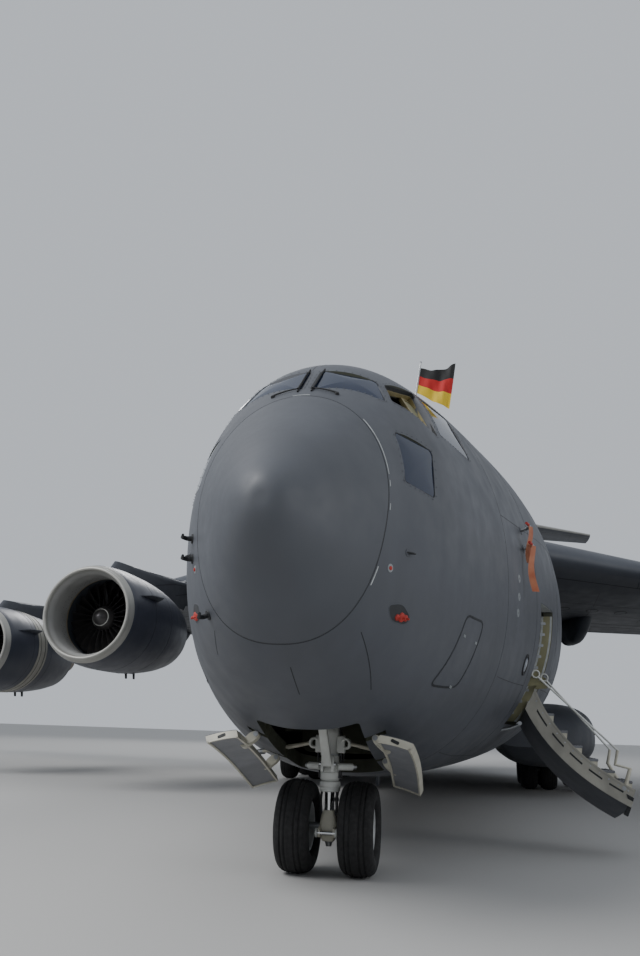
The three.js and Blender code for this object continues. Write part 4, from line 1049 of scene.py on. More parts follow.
@dataclass(frozen=True)
class Probe:
    """One small fitting on the skin: where it is, in station and degrees, and its size."""

    station: float
    degrees: float
    size: float

    def on(self, side: int) -> "Probe":
        """The same fitting on that side of the aircraft."""
        return Probe(self.station, self.degrees * side, self.size)

    def axes(self) -> tuple[Array, Array, Array]:
        """Its foot on the skin, the outward direction and the direction forward along the skin."""
        station, angle = np.array(self.station), np.array(math.radians(self.degrees))
        foot, out = FORM.at(station, angle), FORM.normals(station, angle)
        ahead = unit(out * out[1] - AFT)
        return foot, out, ahead


@dataclass(frozen=True)
class SkinFittings:
    """Air-data probes with their streamers, static ports, plugs, lamps and aerials."""

    pitots: tuple[Probe, ...] = (Probe(5.8, 75.5, 1), Probe(5.7, 81.2, 1))
    statics: tuple[Probe, ...] = (Probe(5.21, 90.3, 0.06), Probe(5.18, 94.2, 0.06), Probe(5.14, 98.3, 0.06))
    stubs: tuple[Probe, ...] = (Probe(1.08, -129.5, 0.14), Probe(1.29, -94, 0.14), Probe(1.27, -101, 0.14))
    landing_lamp: Probe = Probe(6.0, 111.5, 0.11)
    small_plug: Probe = Probe(1.17, 106.3, 0.035)
    small_vane: Probe = Probe(1.39, 98.5, 0.05)
    ribbon_width: float = 0.11

    def build(self) -> None:
        """Makes every fitting on both sides."""
        for side, hand in SIDES:
            shape = Shape()
            for probe in self.pitots:
                self.pitot(shape, probe.on(side))
            for probe in self.statics:
                self.port_disc(shape, probe.on(side))
            self.lamp(shape, self.landing_lamp.on(side))
            self.plug(shape, self.small_plug.on(side))
            self.scoop(shape, side)
            self.vane(shape, self.small_vane.on(side))
            shape.build(f"air_data_probes_{hand}", "airframe", "gear_chrome")
        shape = Shape()
        for probe in self.stubs:
            self.stub(shape, probe)
        shape.build("starboard_probes", "airframe", "gear_chrome")
        self.aerials()
        self.streamers()

    def pitot(self, shape: Shape, probe: Probe) -> None:
        """A strut out of the skin that turns forward into a tapered tube, under its cover.

        Args:
            shape: The shape that gets it.
            probe: Where it is, and its size.
        """
        foot, out, ahead = probe.axes()
        k = probe.size
        path = [foot - out * 0.02, foot + out * 0.1 * k, foot + out * 0.16 * k + ahead * 0.05 * k,
                foot + out * 0.17 * k + ahead * 0.34 * k]
        shape.tube(path, [0.03 * k, 0.024 * k, 0.02 * k, 0.013 * k], Finish.STEEL, 12)
        cover = [path[-1] - ahead * 0.12 * k, path[-1] + ahead * 0.02 * k]
        shape.tube(cover, [0.022 * k, 0.02 * k], Finish.WARNING_RED, 12)
        base = [foot - out * 0.01, foot + out * 0.008]
        shape.tube(base, [0.075 * k, 0.065 * k], Finish.BODY_GREY, 20)

    def port_disc(self, shape: Shape, probe: Probe) -> None:
        """A flat ring round a small hole."""
        foot, out, _ = probe.axes()
        r = probe.size
        ring = [(-0.004, r), (0.004, r * 0.94), (0.004, r * 0.3), (-0.02, r * 0.26), (-0.02, 0.0)]
        shape.lathe(ring, foot, out, Finish.FRAME_METAL, 28)

    def plug(self, shape: Shape, probe: Probe) -> None:
        """A recess with its ring, and the red cover in it.

        Args:
            shape: The shape that gets it.
            probe: Where it is, and its size.
        """
        foot, out, _ = probe.axes()
        r = probe.size
        shape.lathe([(-0.01, 0.0), (-0.01, r * 1.2), (0.003, r * 1.15), (0.004, r * 0.9), (0.002, 0.0)],
                    foot, out, Finish.FRAME_METAL, 28)
        shape.lathe([(0.0, 0.0), (0.0, r * 0.6), (0.012, r * 0.5), (0.016, r * 0.2), (0.016, 0.0)], foot, out,
                    Finish.WARNING_RED, 28)

    def scoop(self, shape: Shape, side: int) -> None:
        """The sensor's rounded recess low on the nose, shown by a dark plate as painted shade, with its rim
        and the red covers in it.

        Args:
            shape: The shape that gets it.
            side: Which side of the aircraft, 1 for port.
        """
        corners = np.array([(1.264, 119.5), (1.45, 115.75), (1.64, 118.25), (1.6, 121.5), (1.373, 124.0)])
        outline = rounded_outline(corners * (1, side), 0.07, 5, 0.03)
        # A dark plate on the skin stands in for the recess: painted shade.
        FORM.pane(shape, outline, 0.0025, -0.02, Finish.CABIN_DARK)
        FORM.frame_ring(shape, outline, [(0.01, -0.004), (0.007, 0.002), (0.0, 0.003), (-0.002, -0.004)],
                        Finish.BODY_GREY)
        for station, degrees, size in ((1.5, 120.3, 0.05), (1.56, 119.6, 0.036), (1.44, 121.4, 0.034)):
            foot, out, ahead = Probe(station, degrees * side, size).axes()
            shape.lathe([(-0.004, 0.0), (-0.004, size), (0.012, size * 0.9), (0.022, size * 0.4),
                         (0.022, 0.0)], foot, out, Finish.WARNING_RED, 20)
            shape.tube([foot + out * 0.015, foot + out * 0.045 - ahead * 0.01], size * 0.3,
                       Finish.WARNING_RED, 10)

    def lamp(self, shape: Shape, probe: Probe) -> None:
        """An oval landing lamp in a black ring.

        Args:
            shape: The shape that gets it.
            probe: Where it is, and its size.
        """
        foot, out, ahead = probe.axes()
        beside = np.cross(out, ahead)
        angle = circle(32)
        oval = ahead * np.cos(angle)[:, None] * 0.85 + beside * np.sin(angle)[:, None] * 1.15
        rings = [foot + oval * probe.size * r + out * h for r, h in
                 ((1.3, -0.01), (1.25, 0.012), (1.0, 0.014), (0.95, -0.004))]
        shape.grid(np.stack(rings), Finish.SEAL_BLACK, loop=True)
        lens = [foot + oval * probe.size * r + out * h for r, h in ((0.97, 0.0), (0.7, 0.012), (0.35, 0.018),
                                                                    (0.01, 0.02))]
        shape.loft(np.stack(lens), Finish.LAMP_LENS)

    def vane(self, shape: Shape, probe: Probe) -> None:
        """A round base with a small swept blade that feels the airflow.

        Args:
            shape: The shape that gets it.
            probe: Where it is, and its size.
        """
        foot, out, ahead = probe.axes()
        shape.tube([foot - out * 0.01, foot + out * 0.006], [0.04, 0.036], Finish.BODY_GREY, 20)
        beside = np.cross(out, ahead)
        outline = [(0.03, 0), (-0.05, 0), (-0.075, probe.size), (-0.035, probe.size)]
        shape.prism(outline, foot, ahead, out, beside * 0.012, Finish.SEAL_BLACK)

    def stub(self, shape: Shape, probe: Probe) -> None:
        """A short dark probe on a round base, which stands out of the skin and leans forward.

        Args:
            shape: The shape that gets it.
            probe: Where it is, and its size.
        """
        foot, out, ahead = probe.axes()
        path = [foot - out * 0.02, foot + out * 0.06, foot + out * 0.11 + ahead * 0.04,
                foot + out * 0.12 + ahead * probe.size]
        shape.tube(path, [0.028, 0.024, 0.02, 0.014], Finish.SEAL_BLACK, 10)
        shape.tube([foot - out * 0.01, foot + out * 0.012], [0.055, 0.048], Finish.SEAL_BLACK, 16)

    def aerials(self) -> None:
        """Blade aerials along the crown and the keel, and two beacons."""
        shape = Shape()
        blade = [(0, -0.05), (0.34, -0.05), (0.3, 0.3), (0.14, 0.34)]
        for station in (5.2, 8.6, 11.2, 36.5, 38.8):
            top = FORM.at(station, 0.0)
            shape.side_plate(blade, top, 0.035, Finish.COMPOSITE_GREY)
        for station in (8.0, 11.4, 14.2):
            low = FORM.at(station, math.pi)
            shape.side_plate(np.array(blade) * (1, -0.7), low, 0.035, Finish.COMPOSITE_GREY)
        for station, angle, sign in ((12.9, 0.0, 1), (13.2, math.pi, -1)):
            foot = FORM.at(station, angle)
            base = [(-0.02, 0.11), (0.03, 0.11), (0.06, 0.09)]
            shape.lathe(base, foot, (0, 0, sign), Finish.FRAME_METAL, 28)
            shape.lathe([(0.05, 0.088), (0.13, 0.075), (0.17, 0.03), (0.175, 0.0)], foot, (0, 0, sign),
                        Finish.WARNING_RED, 28)
        shape.build("aerials_and_beacons", "airframe", "grey_paint")

    def streamers(self) -> None:
        """Ribbons that hang from the port probes' covers, each a strip that twists a little as it hangs."""
        width = self.ribbon_width
        for number, probe in enumerate(self.pitots, 1):
            foot, out, ahead = probe.axes()
            top = foot + out * 0.17 + ahead * 0.2
            length = 0.46 + 0.12 * number
            drop = np.linspace(0, 1, 26)
            sway, lag = 0.03 * np.sin(drop * 5 + number), -0.05 * drop + 0.015 * np.sin(drop * 9)
            middle = top + np.stack([sway, lag, -length * 0.985 * drop - 0.02], 1)
            twist = 0.35 * np.sin(drop * 3 + number)
            beside = np.stack([0.75 * np.cos(twist), 0.66 * np.cos(twist) + np.sin(twist), 0 * twist], 1)
            across = np.linspace(-0.5, 0.5, 5)
            cloth = middle[:, None] + unit(beside)[:, None] * across[:, None] * width
            shape = Shape().grid(cloth, Finish.WARNING_RED, ring=False)
            piece = shape.build(f"streamer_{number}", "airframe", "flag_cloth")
            piece.data.materials.clear()
            piece.data.materials.append(streamer_material())
            flat = (width * SCALE, surface_area(piece) / (width * SCALE))


def surface_area(piece: Piece) -> float:
    """The total area of a piece's faces, in the frame's square metres."""
    return float(face_values(piece, "area", 1).sum())


def streamer_material() -> bpy.types.Material:
    """Faded red ribbon with a fine plain weave."""
    name = "streamer_cloth"
    if name in bpy.data.materials:
        return bpy.data.materials[name]
    material, nodes, links, shader = new_material(name)
    place = nodes.new("ShaderNodeTexCoord").outputs["Object"]
    fade = nodes.new("ShaderNodeValToRGB")
    for stop, at, colour in zip(fade.color_ramp.elements, (0.35, 0.7),
                                ((0.36, 0.1, 0.045, 1), (0.46, 0.18, 0.09, 1))):
        stop.position = at
        stop.color = colour
    links.new(noise(nodes, links, place, 0.08, 4), fade.inputs["Fac"])
    links.new(fade.outputs["Color"], shader.inputs["Base Color"])
    shader.inputs["Roughness"].default_value = 0.85
    shader.inputs["Sheen Weight"].default_value = 0.3
    return material


def side_point(station: Array, height: Array, offset: float = 0.0) -> Array:
    """Points of the port skin at given heights: the angle whose height matches, by halving the interval.

    Args:
        station: Aft of the nose tip.
        height: Above the ground.
        offset: How far outside the skin.

    Returns:
        The points, with one more axis than the places.
    """
    station, height = np.broadcast_arrays(np.asarray(station, float), np.asarray(height, float))
    low, high = np.zeros(station.shape), np.full(station.shape, math.pi)
    for _ in range(40):
        middle = (low + high) / 2
        above = FORM.at(station, middle, offset)[..., 2] > height
        low, high = np.where(above, middle, low), np.where(above, high, middle)
    return FORM.at(station, (low + high) / 2, offset)


def side_bar(shape: Shape, y: Vector, z: Vector, rows: Rows, finish: Finish) -> None:
    """A closed bar along the port skin, through corners of shift aft, shift up and offset from the skin."""
    corners = [side_point(np.asarray(y) + aft, np.asarray(z) + up, offset) for aft, up, offset in rows]
    shape.loft(np.stack(corners, 1), finish)


def under_point(x: Array, station: Array, offset: float = 0.0) -> Array:
    """Points of the skin's underside at given places across, by halving the interval of angles.

    Args:
        x: Places across.
        station: Aft of the nose tip.
        offset: How far outside the skin.

    Returns:
        The points, with one more axis than the places.
    """
    x, station = np.broadcast_arrays(np.asarray(x, float), np.asarray(station, float))
    low, high = np.full(x.shape, math.pi / 2), np.full(x.shape, math.pi)
    for _ in range(40):
        middle = (low + high) / 2
        outside = FORM.at(station, middle, offset)[..., 0] > np.abs(x)
        low, high = np.where(outside, middle, low), np.where(outside, high, middle)
    found = FORM.at(station, (low + high) / 2, offset)
    found[..., 0] = x
    return found


@dataclass(frozen=True)
class NoseDoors:
    """The two nose-gear doors, each a curved panel on two arms that turn about a sloping axis."""

    arms = (0.43, 1.42)
    arm_corners = ((-0.21, 0.045), (-0.17, 0.09), (-0.02, 0.052), (0.036, 0.02), (0.03, -0.036),
                   (-0.06, -0.042), (-0.15, 0.0))
    front = (0.66, 2.24, 1.61)
    rear = (0.66, 4.04, 1.12)
    inner: float = 0.2
    outer: float = 0.538
    span: tuple[float, float] = (2.24, 4.04)
    thickness: float = 0.07
    opened: float = 156

    @staticmethod
    def axes(side: int) -> tuple[Array, Array, Array, Array]:
        """The axis's front end, its direction, the outward direction and the one up from it."""
        front = np.array(NoseDoors.front) * (side, 1, 1)
        along = unit(np.array(NoseDoors.rear) * (side, 1, 1) - front)
        up = unit(np.array([0, 0, 1.0]) - along * along[2])
        return front, along, np.array([float(side), 0, 0]), up

    @staticmethod
    def slot(side: int, place: float) -> Shape:
        """The cutter of one arm's slot in the skin beside the gear bay."""
        front, along, out, up = NoseDoors.axes(side)
        outline = [(-0.13, -0.3), (0.11, -0.3), (0.11, 0.19), (-0.13, 0.19)]
        width = 2 * Skin.door_slot_half
        return Shape().prism(outline, front + along * place, out, up, along * width, Finish.SEAM_DARK)

    def build(self) -> None:
        """Makes each door closed and swings it open about its axis."""
        for side, hand in SIDES:
            shape = Shape()
            # The third layer is the inner face plate, in mid grey as painted shade on the door's inner face.
            for inset, depths, finish in ((0.0, (0.008, self.thickness), Finish.GEAR_CREAM),
                                          (0.003, (0.0, 0.012), Finish.BODY_GREY),
                                          (0.023, (0.066, 0.08), Finish.DOOR_INNER)):
                x = np.linspace(self.inner + inset, self.outer - inset, 14)
                y = np.linspace(self.span[0] + inset, self.span[1] - inset, 40)
                self.slab(shape, side, x, y, depths, finish)
            self.rim(shape, side)
            front, along, out, up = self.axes(side)
            for place in self.arms:
                centre = front + along * place
                arm = rounded_outline(self.arm_corners, 0.03, 4)
                shape.prism(arm, centre, out, up, along * 0.084, Finish.GEAR_CREAM)
                shape.tube([centre - along * 0.054, centre + along * 0.054], 0.028, Finish.STEEL, 16)
            shape.turn(front, along, -side * self.opened)
            shape.build(f"nose_door_{hand}_panel", f"nose_door_{hand}", "door_white", (f"nose_door_{hand}",))

    def slab(self, shape: Shape, side: int, x: Array, y: Array, depths: tuple[float, float],
             finish: Finish) -> None:
        """A curved plate between two depths under the skin: a ring round its section at each station."""
        outer, inner = (under_point(x[None, :] * side, y[:, None], -depth) for depth in depths)
        shape.loft(np.concatenate([outer, inner[:, ::-1]], 1), finish)

    def rim(self, shape: Shape, side: int) -> None:
        """The raised cream frame round the inside of the panel, and a black plate in its front edge as the
        slot's painted shade.

        Args:
            shape: The shape that gets it.
            side: Which side of the aircraft, 1 for port.
        """
        x0, x1 = self.inner, self.outer
        y0, y1 = self.span
        for left, right, front, rear, steps in ((x0, x1, y0, y0 + 0.03, 8), (x0, x1, y1 - 0.03, y1, 8),
                                                (x0, x0 + 0.022, y0, y1, 36), (x1 - 0.022, x1, y0, y1, 36)):
            x, y = np.linspace(left, right, 8), np.linspace(front, rear, steps)
            self.slab(shape, side, x, y, (0.068, 0.09), Finish.GEAR_CREAM)
        # A black plate stands in for the slot: painted shade.
        slot = rounded_box(0.09, 0.035, 0.015)
        centre = under_point(np.array(side * 0.37), np.array(y0), -0.05) + (0, -0.001, 0)
        shape.cross_plate(slot, centre, 0.006, Finish.SEAL_BLACK)


@dataclass(frozen=True)
class NoseGear:
    """The nose leg, its steered part with the axle block, and the wheel pair."""

    station: float = 3.62
    foot: float = 1.01
    axle: float = 0.508
    wheel_x: float = 0.365
    radius: float = 0.508
    width: float = 0.406
    rim: float = 0.27

    def at(self, x: float, aft: float, z: float) -> Array:
        """A point counted from the leg's centre line."""
        return np.array([x, self.station + aft, z])

    def build(self) -> None:
        """Makes the bay, the leg, the steered fork, the wheels and the tyres."""
        self.build_bay()
        self.build_leg()
        self.build_fork()
        self.build_wheels()

    def build_bay(self) -> None:
        """The bay's lining: five thin walls in primer darkened as painted shade, with ribs in plain primer,
        and pipes along its roof.
        """
        shape = Shape()
        first, last, half, roof = Skin.bay
        # The walls are in primer darkened as painted shade; the ribs are in plain primer.
        shape.box((-half - 0.03, first - 0.03, roof), (half + 0.03, last + 0.03, roof + 0.03),
                  Finish.PRIMER_DARK)
        for side in (STARBOARD, PORT):
            for y0, y1, low in ((first, 2.95, 2.02), (2.95, 3.6, 1.72), (3.6, last, 1.55)):
                shape.box((side * half, y0, low), (side * (half + 0.03), y1, roof), Finish.PRIMER_DARK)
            for y in np.linspace(first + 0.2, last - 0.2, 6):
                shape.box((side * half, y - 0.02, 2.0), (side * (half - 0.04), y + 0.02, roof), Finish.PRIMER)
        shape.box((-half, first - 0.03, 2.0), (half, first, roof), Finish.PRIMER_DARK)
        shape.box((-half, last, 1.3), (half, last + 0.03, roof), Finish.PRIMER_DARK)
        for x, z, r, finish in ((-0.3, 2.55, 0.02, Finish.STEEL), (-0.24, 2.56, 0.012, Finish.HOSE),
                                (0.28, 2.55, 0.016, Finish.STEEL), (0.34, 2.57, 0.011, Finish.HOSE)):
            shape.tube(line((x, first, z), (x, last, z), 8), r, finish, 10)
        shape.build("nose_gear_bay_lining", "airframe", "primer")

    def build_leg(self) -> None:
        """The fixed leg: housing with rings, trunnion, drag brace, door rods in their clamps, and hoses."""
        shape = Shape()
        housing = [(self.foot, 0.0), (self.foot, 0.1), (1.03, 0.116), (1.1, 0.118), (1.11, 0.108),
                   (1.14, 0.108), (1.15, 0.116), (1.2, 0.116), (1.22, 0.104), (1.5, 0.1), (1.53, 0.115),
                   (1.57, 0.115), (1.6, 0.1), (2.0, 0.098), (Skin.bay[3] - 0.001, 0.098),
                   (Skin.bay[3] - 0.001, 0.0)]
        shape.lathe(housing, self.at(0, 0, 0), UP, Finish.GEAR_WHITE, 40)
        shape.lathe([(-0.548, 0.0), (-0.548, 0.09), (-0.42, 0.095), (-0.3, 0.075), (0.3, 0.075),
                     (0.42, 0.095), (0.548, 0.09), (0.548, 0.0)], self.at(0, 0, 2.08), ACROSS,
                    Finish.GEAR_WHITE, 28)
        self.brace(shape)
        for side in (STARBOARD, PORT):
            lug = rounded_box(0.09, 0.2, 0.03)
            shape.side_plate(lug, self.at(side * 0.13, -0.03, 1.42), 0.09, Finish.GEAR_WHITE)
            inner = self.at(side * 0.19, -0.05, 1.43)
            for shift in (-0.026, 0.03):
                self.ring(shape, inner + (0, shift, 0), (0.35 * side, 1, 0.1), 0.052, 0.016)
            start, end = inner + (side * 0.05, 0.02, -0.004), np.array([side * 0.93, 3.86, 1.295])
            share = np.linspace(0, 1, 12)
            radius = 0.019 + 0.008 * np.sin(share * math.pi)
            radius[[0, -1]] = 0.022
            shape.tube(line(start, end, 12), radius, Finish.GEAR_CREAM, 14)
            shape.tube([end - (side * 0.05, 0, -0.008), end + (side * 0.04, 0.004, -0.006)], 0.034,
                       Finish.STEEL, 14)
            cylinder = [self.at(side * 0.1, -0.1, 1.17), self.at(side * 0.26, 0.02, 1.17)]
            shape.tube(cylinder, 0.04, Finish.GEAR_WHITE, 16)
            shape.tube([cylinder[1], cylinder[1] + (side * 0.04, 0.03, 0)], 0.026, Finish.STEEL, 14)
        self.hoses(shape)
        shape.build("nose_leg_housing", "airframe", "gear_white", ("nose_gear_leg",))

    def brace(self, shape: Shape) -> None:
        """The drag brace: a tapered bar with rounded flanges and a fork at its foot, in front of the leg.

        Args:
            shape: The shape that gets it.
        """
        foot, head = self.at(0, -0.2, 1.2), np.array([0.0, 2.2, 2.58])
        ahead = unit(head - foot)
        across = np.array([1.0, 0, 0])
        up = np.cross(ahead, across)
        share = np.linspace(0, 1, 14)
        half = 0.055 - 0.018 * share
        outline = rounded_box(2, 2, 0.5, 4)
        rings = (foot + ahead * np.linalg.norm(head - foot) * share[:, None])[:, None] + (
            across * outline[:, :1] + up * outline[:, 1:] * 0.7)[None] * half[:, None, None]
        shape.loft(rings, Finish.GEAR_WHITE)
        for side in (STARBOARD, PORT):
            ear = rounded_outline([(-0.06, -0.05), (0.05, -0.05), (0.05, 0.14), (-0.02, 0.14)], 0.04, 4)
            shape.side_plate(ear, self.at(side * 0.062, -0.17, 1.16), 0.028, Finish.GEAR_WHITE)
        shape.tube([self.at(-0.095, -0.18, 1.2), self.at(0.095, -0.18, 1.2)], 0.024, Finish.CHROME, 16)

    def ring(self, shape: Shape, centre: Array, axis: Vector, radius: float, bar: float) -> None:
        """A round ring: a small circle carried round an axis.

        Args:
            shape: The shape that gets it.
            centre: The ring's centre.
            axis: The direction through it.
            radius: The ring's radius.
            bar: The radius of its bar.
        """
        angle = circle(12)
        profile = np.stack([np.sin(angle) * bar, radius + np.cos(angle) * bar], 1)
        shape.lathe(profile, centre, axis, Finish.GEAR_WHITE, 28, closed=True)

    def hoses(self, shape: Shape) -> None:
        """Hydraulic hoses and a cable loom that run down the leg in easy bends, with their clamps.

        Args:
            shape: The shape that gets it.
        """
        share = np.linspace(0, 1, 24)
        for x, y, r, wave in ((0.118, -0.05, 0.011, 0.02), (0.13, 0.0, 0.009, 0.03),
                              (-0.12, -0.04, 0.011, 0.025), (-0.06, 0.125, 0.013, 0.015),
                              (0.05, 0.13, 0.01, 0.02)):
            path = np.stack([x + np.sign(x) * wave * np.sin(share * math.pi * 3) ** 2, y + 0 * share,
                             2.6 - share * 1.56], 1) + (0, self.station, 0)
            shape.tube(path, r, Finish.HOSE, 8)
        for z in (1.3, 1.75, 2.2):
            shape.lathe([(-0.012, 0.112), (-0.012, 0.124), (0.012, 0.124), (0.012, 0.112)], self.at(0, 0, z),
                        UP, Finish.STEEL, 32, closed=True)

    def build_fork(self) -> None:
        """The steered part: collar, bright piston, torque links behind, axle block and tow fitting."""
        shape = Shape()
        collar = [(0.89, 0.0), (0.89, 0.112), (0.9, 0.122), (0.925, 0.122), (0.93, 0.114), (0.945, 0.114),
                  (0.95, 0.122), (0.995, 0.122), (1.005, 0.112), (1.0085, 0.0)]
        shape.lathe(collar, self.at(0, 0, 0), UP, Finish.GEAR_WHITE, 40)
        shape.lathe([(0.6, 0.0), (0.6, 0.056), (0.9, 0.056), (0.9, 0.0)], self.at(0, 0, 0), UP,
                    Finish.CHROME, 36)
        block = rounded_box(0.19, 0.2, 0.05, 5)
        heights, sizes = (0.36, 0.42, 0.5, 0.62, 0.69), (0.7, 1.0, 1.1, 0.92, 0.66)
        rings = [self.at(0, 0, z) + np.stack([block[:, 0] * k, block[:, 1] * k, 0 * block[:, 0]], 1)
                 for z, k in zip(heights, sizes)]
        shape.loft(np.stack(rings), Finish.GEAR_CREAM)
        for side in (STARBOARD, PORT):
            share = np.linspace(0, 1, 12)
            path = np.stack([side * (0.078 + 0.018 * np.sin(share * math.pi)), -0.03 + 0 * share,
                             0.96 - 0.34 * share], 1) + (0, self.station, 0)
            shape.tube(path, 0.014, Finish.HOSE, 10)
            flange = [(-0.012, 0.0), (-0.012, 0.05), (0.012, 0.05), (0.012, 0.0)]
            shape.lathe(flange, self.at(side * 0.115, -0.15, 0.455), ACROSS, Finish.GEAR_WHITE, 24)
            arm = rounded_outline([(-0.17, -0.045), (0.0, -0.06), (0.0, 0.09), (-0.17, 0.05)], 0.03, 4)
            shape.side_plate(arm, self.at(side * 0.085, 0, 0.455), 0.024, Finish.GEAR_CREAM)
            self.torque_link(shape, side)
        shape.tube([self.at(-0.135, -0.15, 0.455), self.at(0.135, -0.15, 0.455)], 0.022, Finish.CHROME, 18)
        shape.tube([self.at(0, 0.02, 0.36), self.at(0, 0.02, 0.3)], [0.05, 0.03], Finish.STEEL, 18)
        shape.build("nose_fork_steered", "nose_fork", "gear_chrome", ("nose_gear_fork",))

    def torque_link(self, shape: Shape, side: int) -> None:
        """One leg of each of the two hinged links behind the piston that turn the axle with the collar.

        Args:
            shape: The shape that gets it.
            side: Which side of the aircraft, 1 for port.
        """
        knee = self.at(side * 0.02, 0.34, 0.78)
        for start, end in ((self.at(side * 0.09, 0.11, 0.95), knee), (self.at(side * 0.09, 0.1, 0.58), knee)):
            share = np.linspace(0, 1, 6)
            shape.tube(line(start, end, 6), 0.024 - 0.008 * share, Finish.GEAR_WHITE, 12)
        if side > 0:
            shape.tube([knee - (0.075, 0, 0), knee + (0.035, 0, 0)], 0.022, Finish.STEEL, 14)

    def build_wheels(self) -> None:
        """Axle, dished rims with their bolts and hub caps, and grooved tyres."""
        shape = Shape()
        shape.tube([self.at(-self.wheel_x, 0, self.axle), self.at(self.wheel_x, 0, self.axle)], 0.044,
                   Finish.STEEL, 24)
        for side, hand in SIDES:
            centre = self.at(side * self.wheel_x, 0, self.axle)
            WHEELS.rim(shape, centre, side, self.rim, self.width * 0.36)
            WHEELS.rim(shape, centre, -side, self.rim, self.width * 0.36)
            tyre = Shape()
            grooves = (-0.105, -0.055, 0.0, 0.055, 0.105)
            profile = WHEELS.tyre_profile(self.radius, self.width, self.rim, grooves, 110)
            tyre.lathe(profile, centre, ACROSS, Finish.RUBBER, 96, closed=True)
            tyre.build(f"nose_tyre_{hand}_tread", "nose_wheels", "tyre_rubber", (f"nose_tyre_{hand}",))
        shape.build("nose_wheel_rims", "nose_wheels", "rim_grey", ("nose_wheels",))


@dataclass(frozen=True)
class WheelMaker:
    """The parts that all the wheels share."""

    bolts: int = 12

    def tyre_profile(self, radius: float, width: float, rim: float, grooves: Vector, count: int) -> Array:
        """A tyre's section: a superellipse from bead to bead, with narrow grooves cut by a bell curve.

        Args:
            radius: The tread's radius.
            width: The tyre's width.
            rim: The bead's radius.
            grooves: Places of the grooves across the tread.
            count: How many points.

        Returns:
            Distance along the axle and radius, point by point.
        """
        angle = np.radians(np.linspace(-158, 158, count))
        across, up = superellipse(angle, 2.5)
        middle = rim + (radius - rim) * 0.47
        x = across * width / 2
        r = middle + np.where(up > 0, radius - middle, (middle - rim) * 1.04) * up
        for groove in grooves:
            r = r - np.where(up > 0.5, 0.018 * np.exp(-(((x - groove) / 0.0085) ** 2)), 0)
        return np.stack([x, np.minimum(r, radius)], 1)

    def rim(self, shape: Shape, centre: Array, side: int, radius: float, half: float) -> None:
        """A dished rim face with a flange, bolts, black discs as the vent holes' painted shade, and a domed
        hub cap.

        Args:
            shape: The shape that gets it.
            centre: The wheel's centre.
            side: Which way the face points along x.
            radius: The bead's radius.
            half: Half the width over the flanges.
        """
        r = radius
        profile = [(-0.01, r * 0.96), (half * 0.8, r * 0.97), (half * 0.98, r * 1.0), (half, r * 0.985),
                   (half * 0.97, r * 0.93), (half * 0.7, r * 0.86), (half * 0.52, r * 0.74),
                   (half * 0.44, r * 0.5), (half * 0.5, r * 0.34), (half * 0.66, r * 0.32),
                   (half * 0.74, r * 0.27), (half * 0.8, r * 0.12), (half * 0.81, 0.0)]
        shape.lathe(profile, centre, (side, 0, 0), Finish.RIM_GREY, 48)
        angle = circle(self.bolts)
        for a in angle:
            at = centre + np.array([side * half * 0.46, math.cos(a) * r * 0.62, math.sin(a) * r * 0.62])
            shape.tube([at, at + (side * 0.022, 0, 0)], r * 0.045, Finish.STEEL, 6)
        # Black discs stand in for the vent holes: painted shade.
        for a in angle[::2] + 0.26:
            at = centre + np.array([side * half * 0.505, math.cos(a) * r * 0.8, math.sin(a) * r * 0.8])
            ends = [at - (side * 0.02, 0, 0), at + (side * 0.006, 0, 0)]
            shape.tube(ends, r * 0.075, Finish.SEAL_BLACK, 12)


WHEELS = WheelMaker()


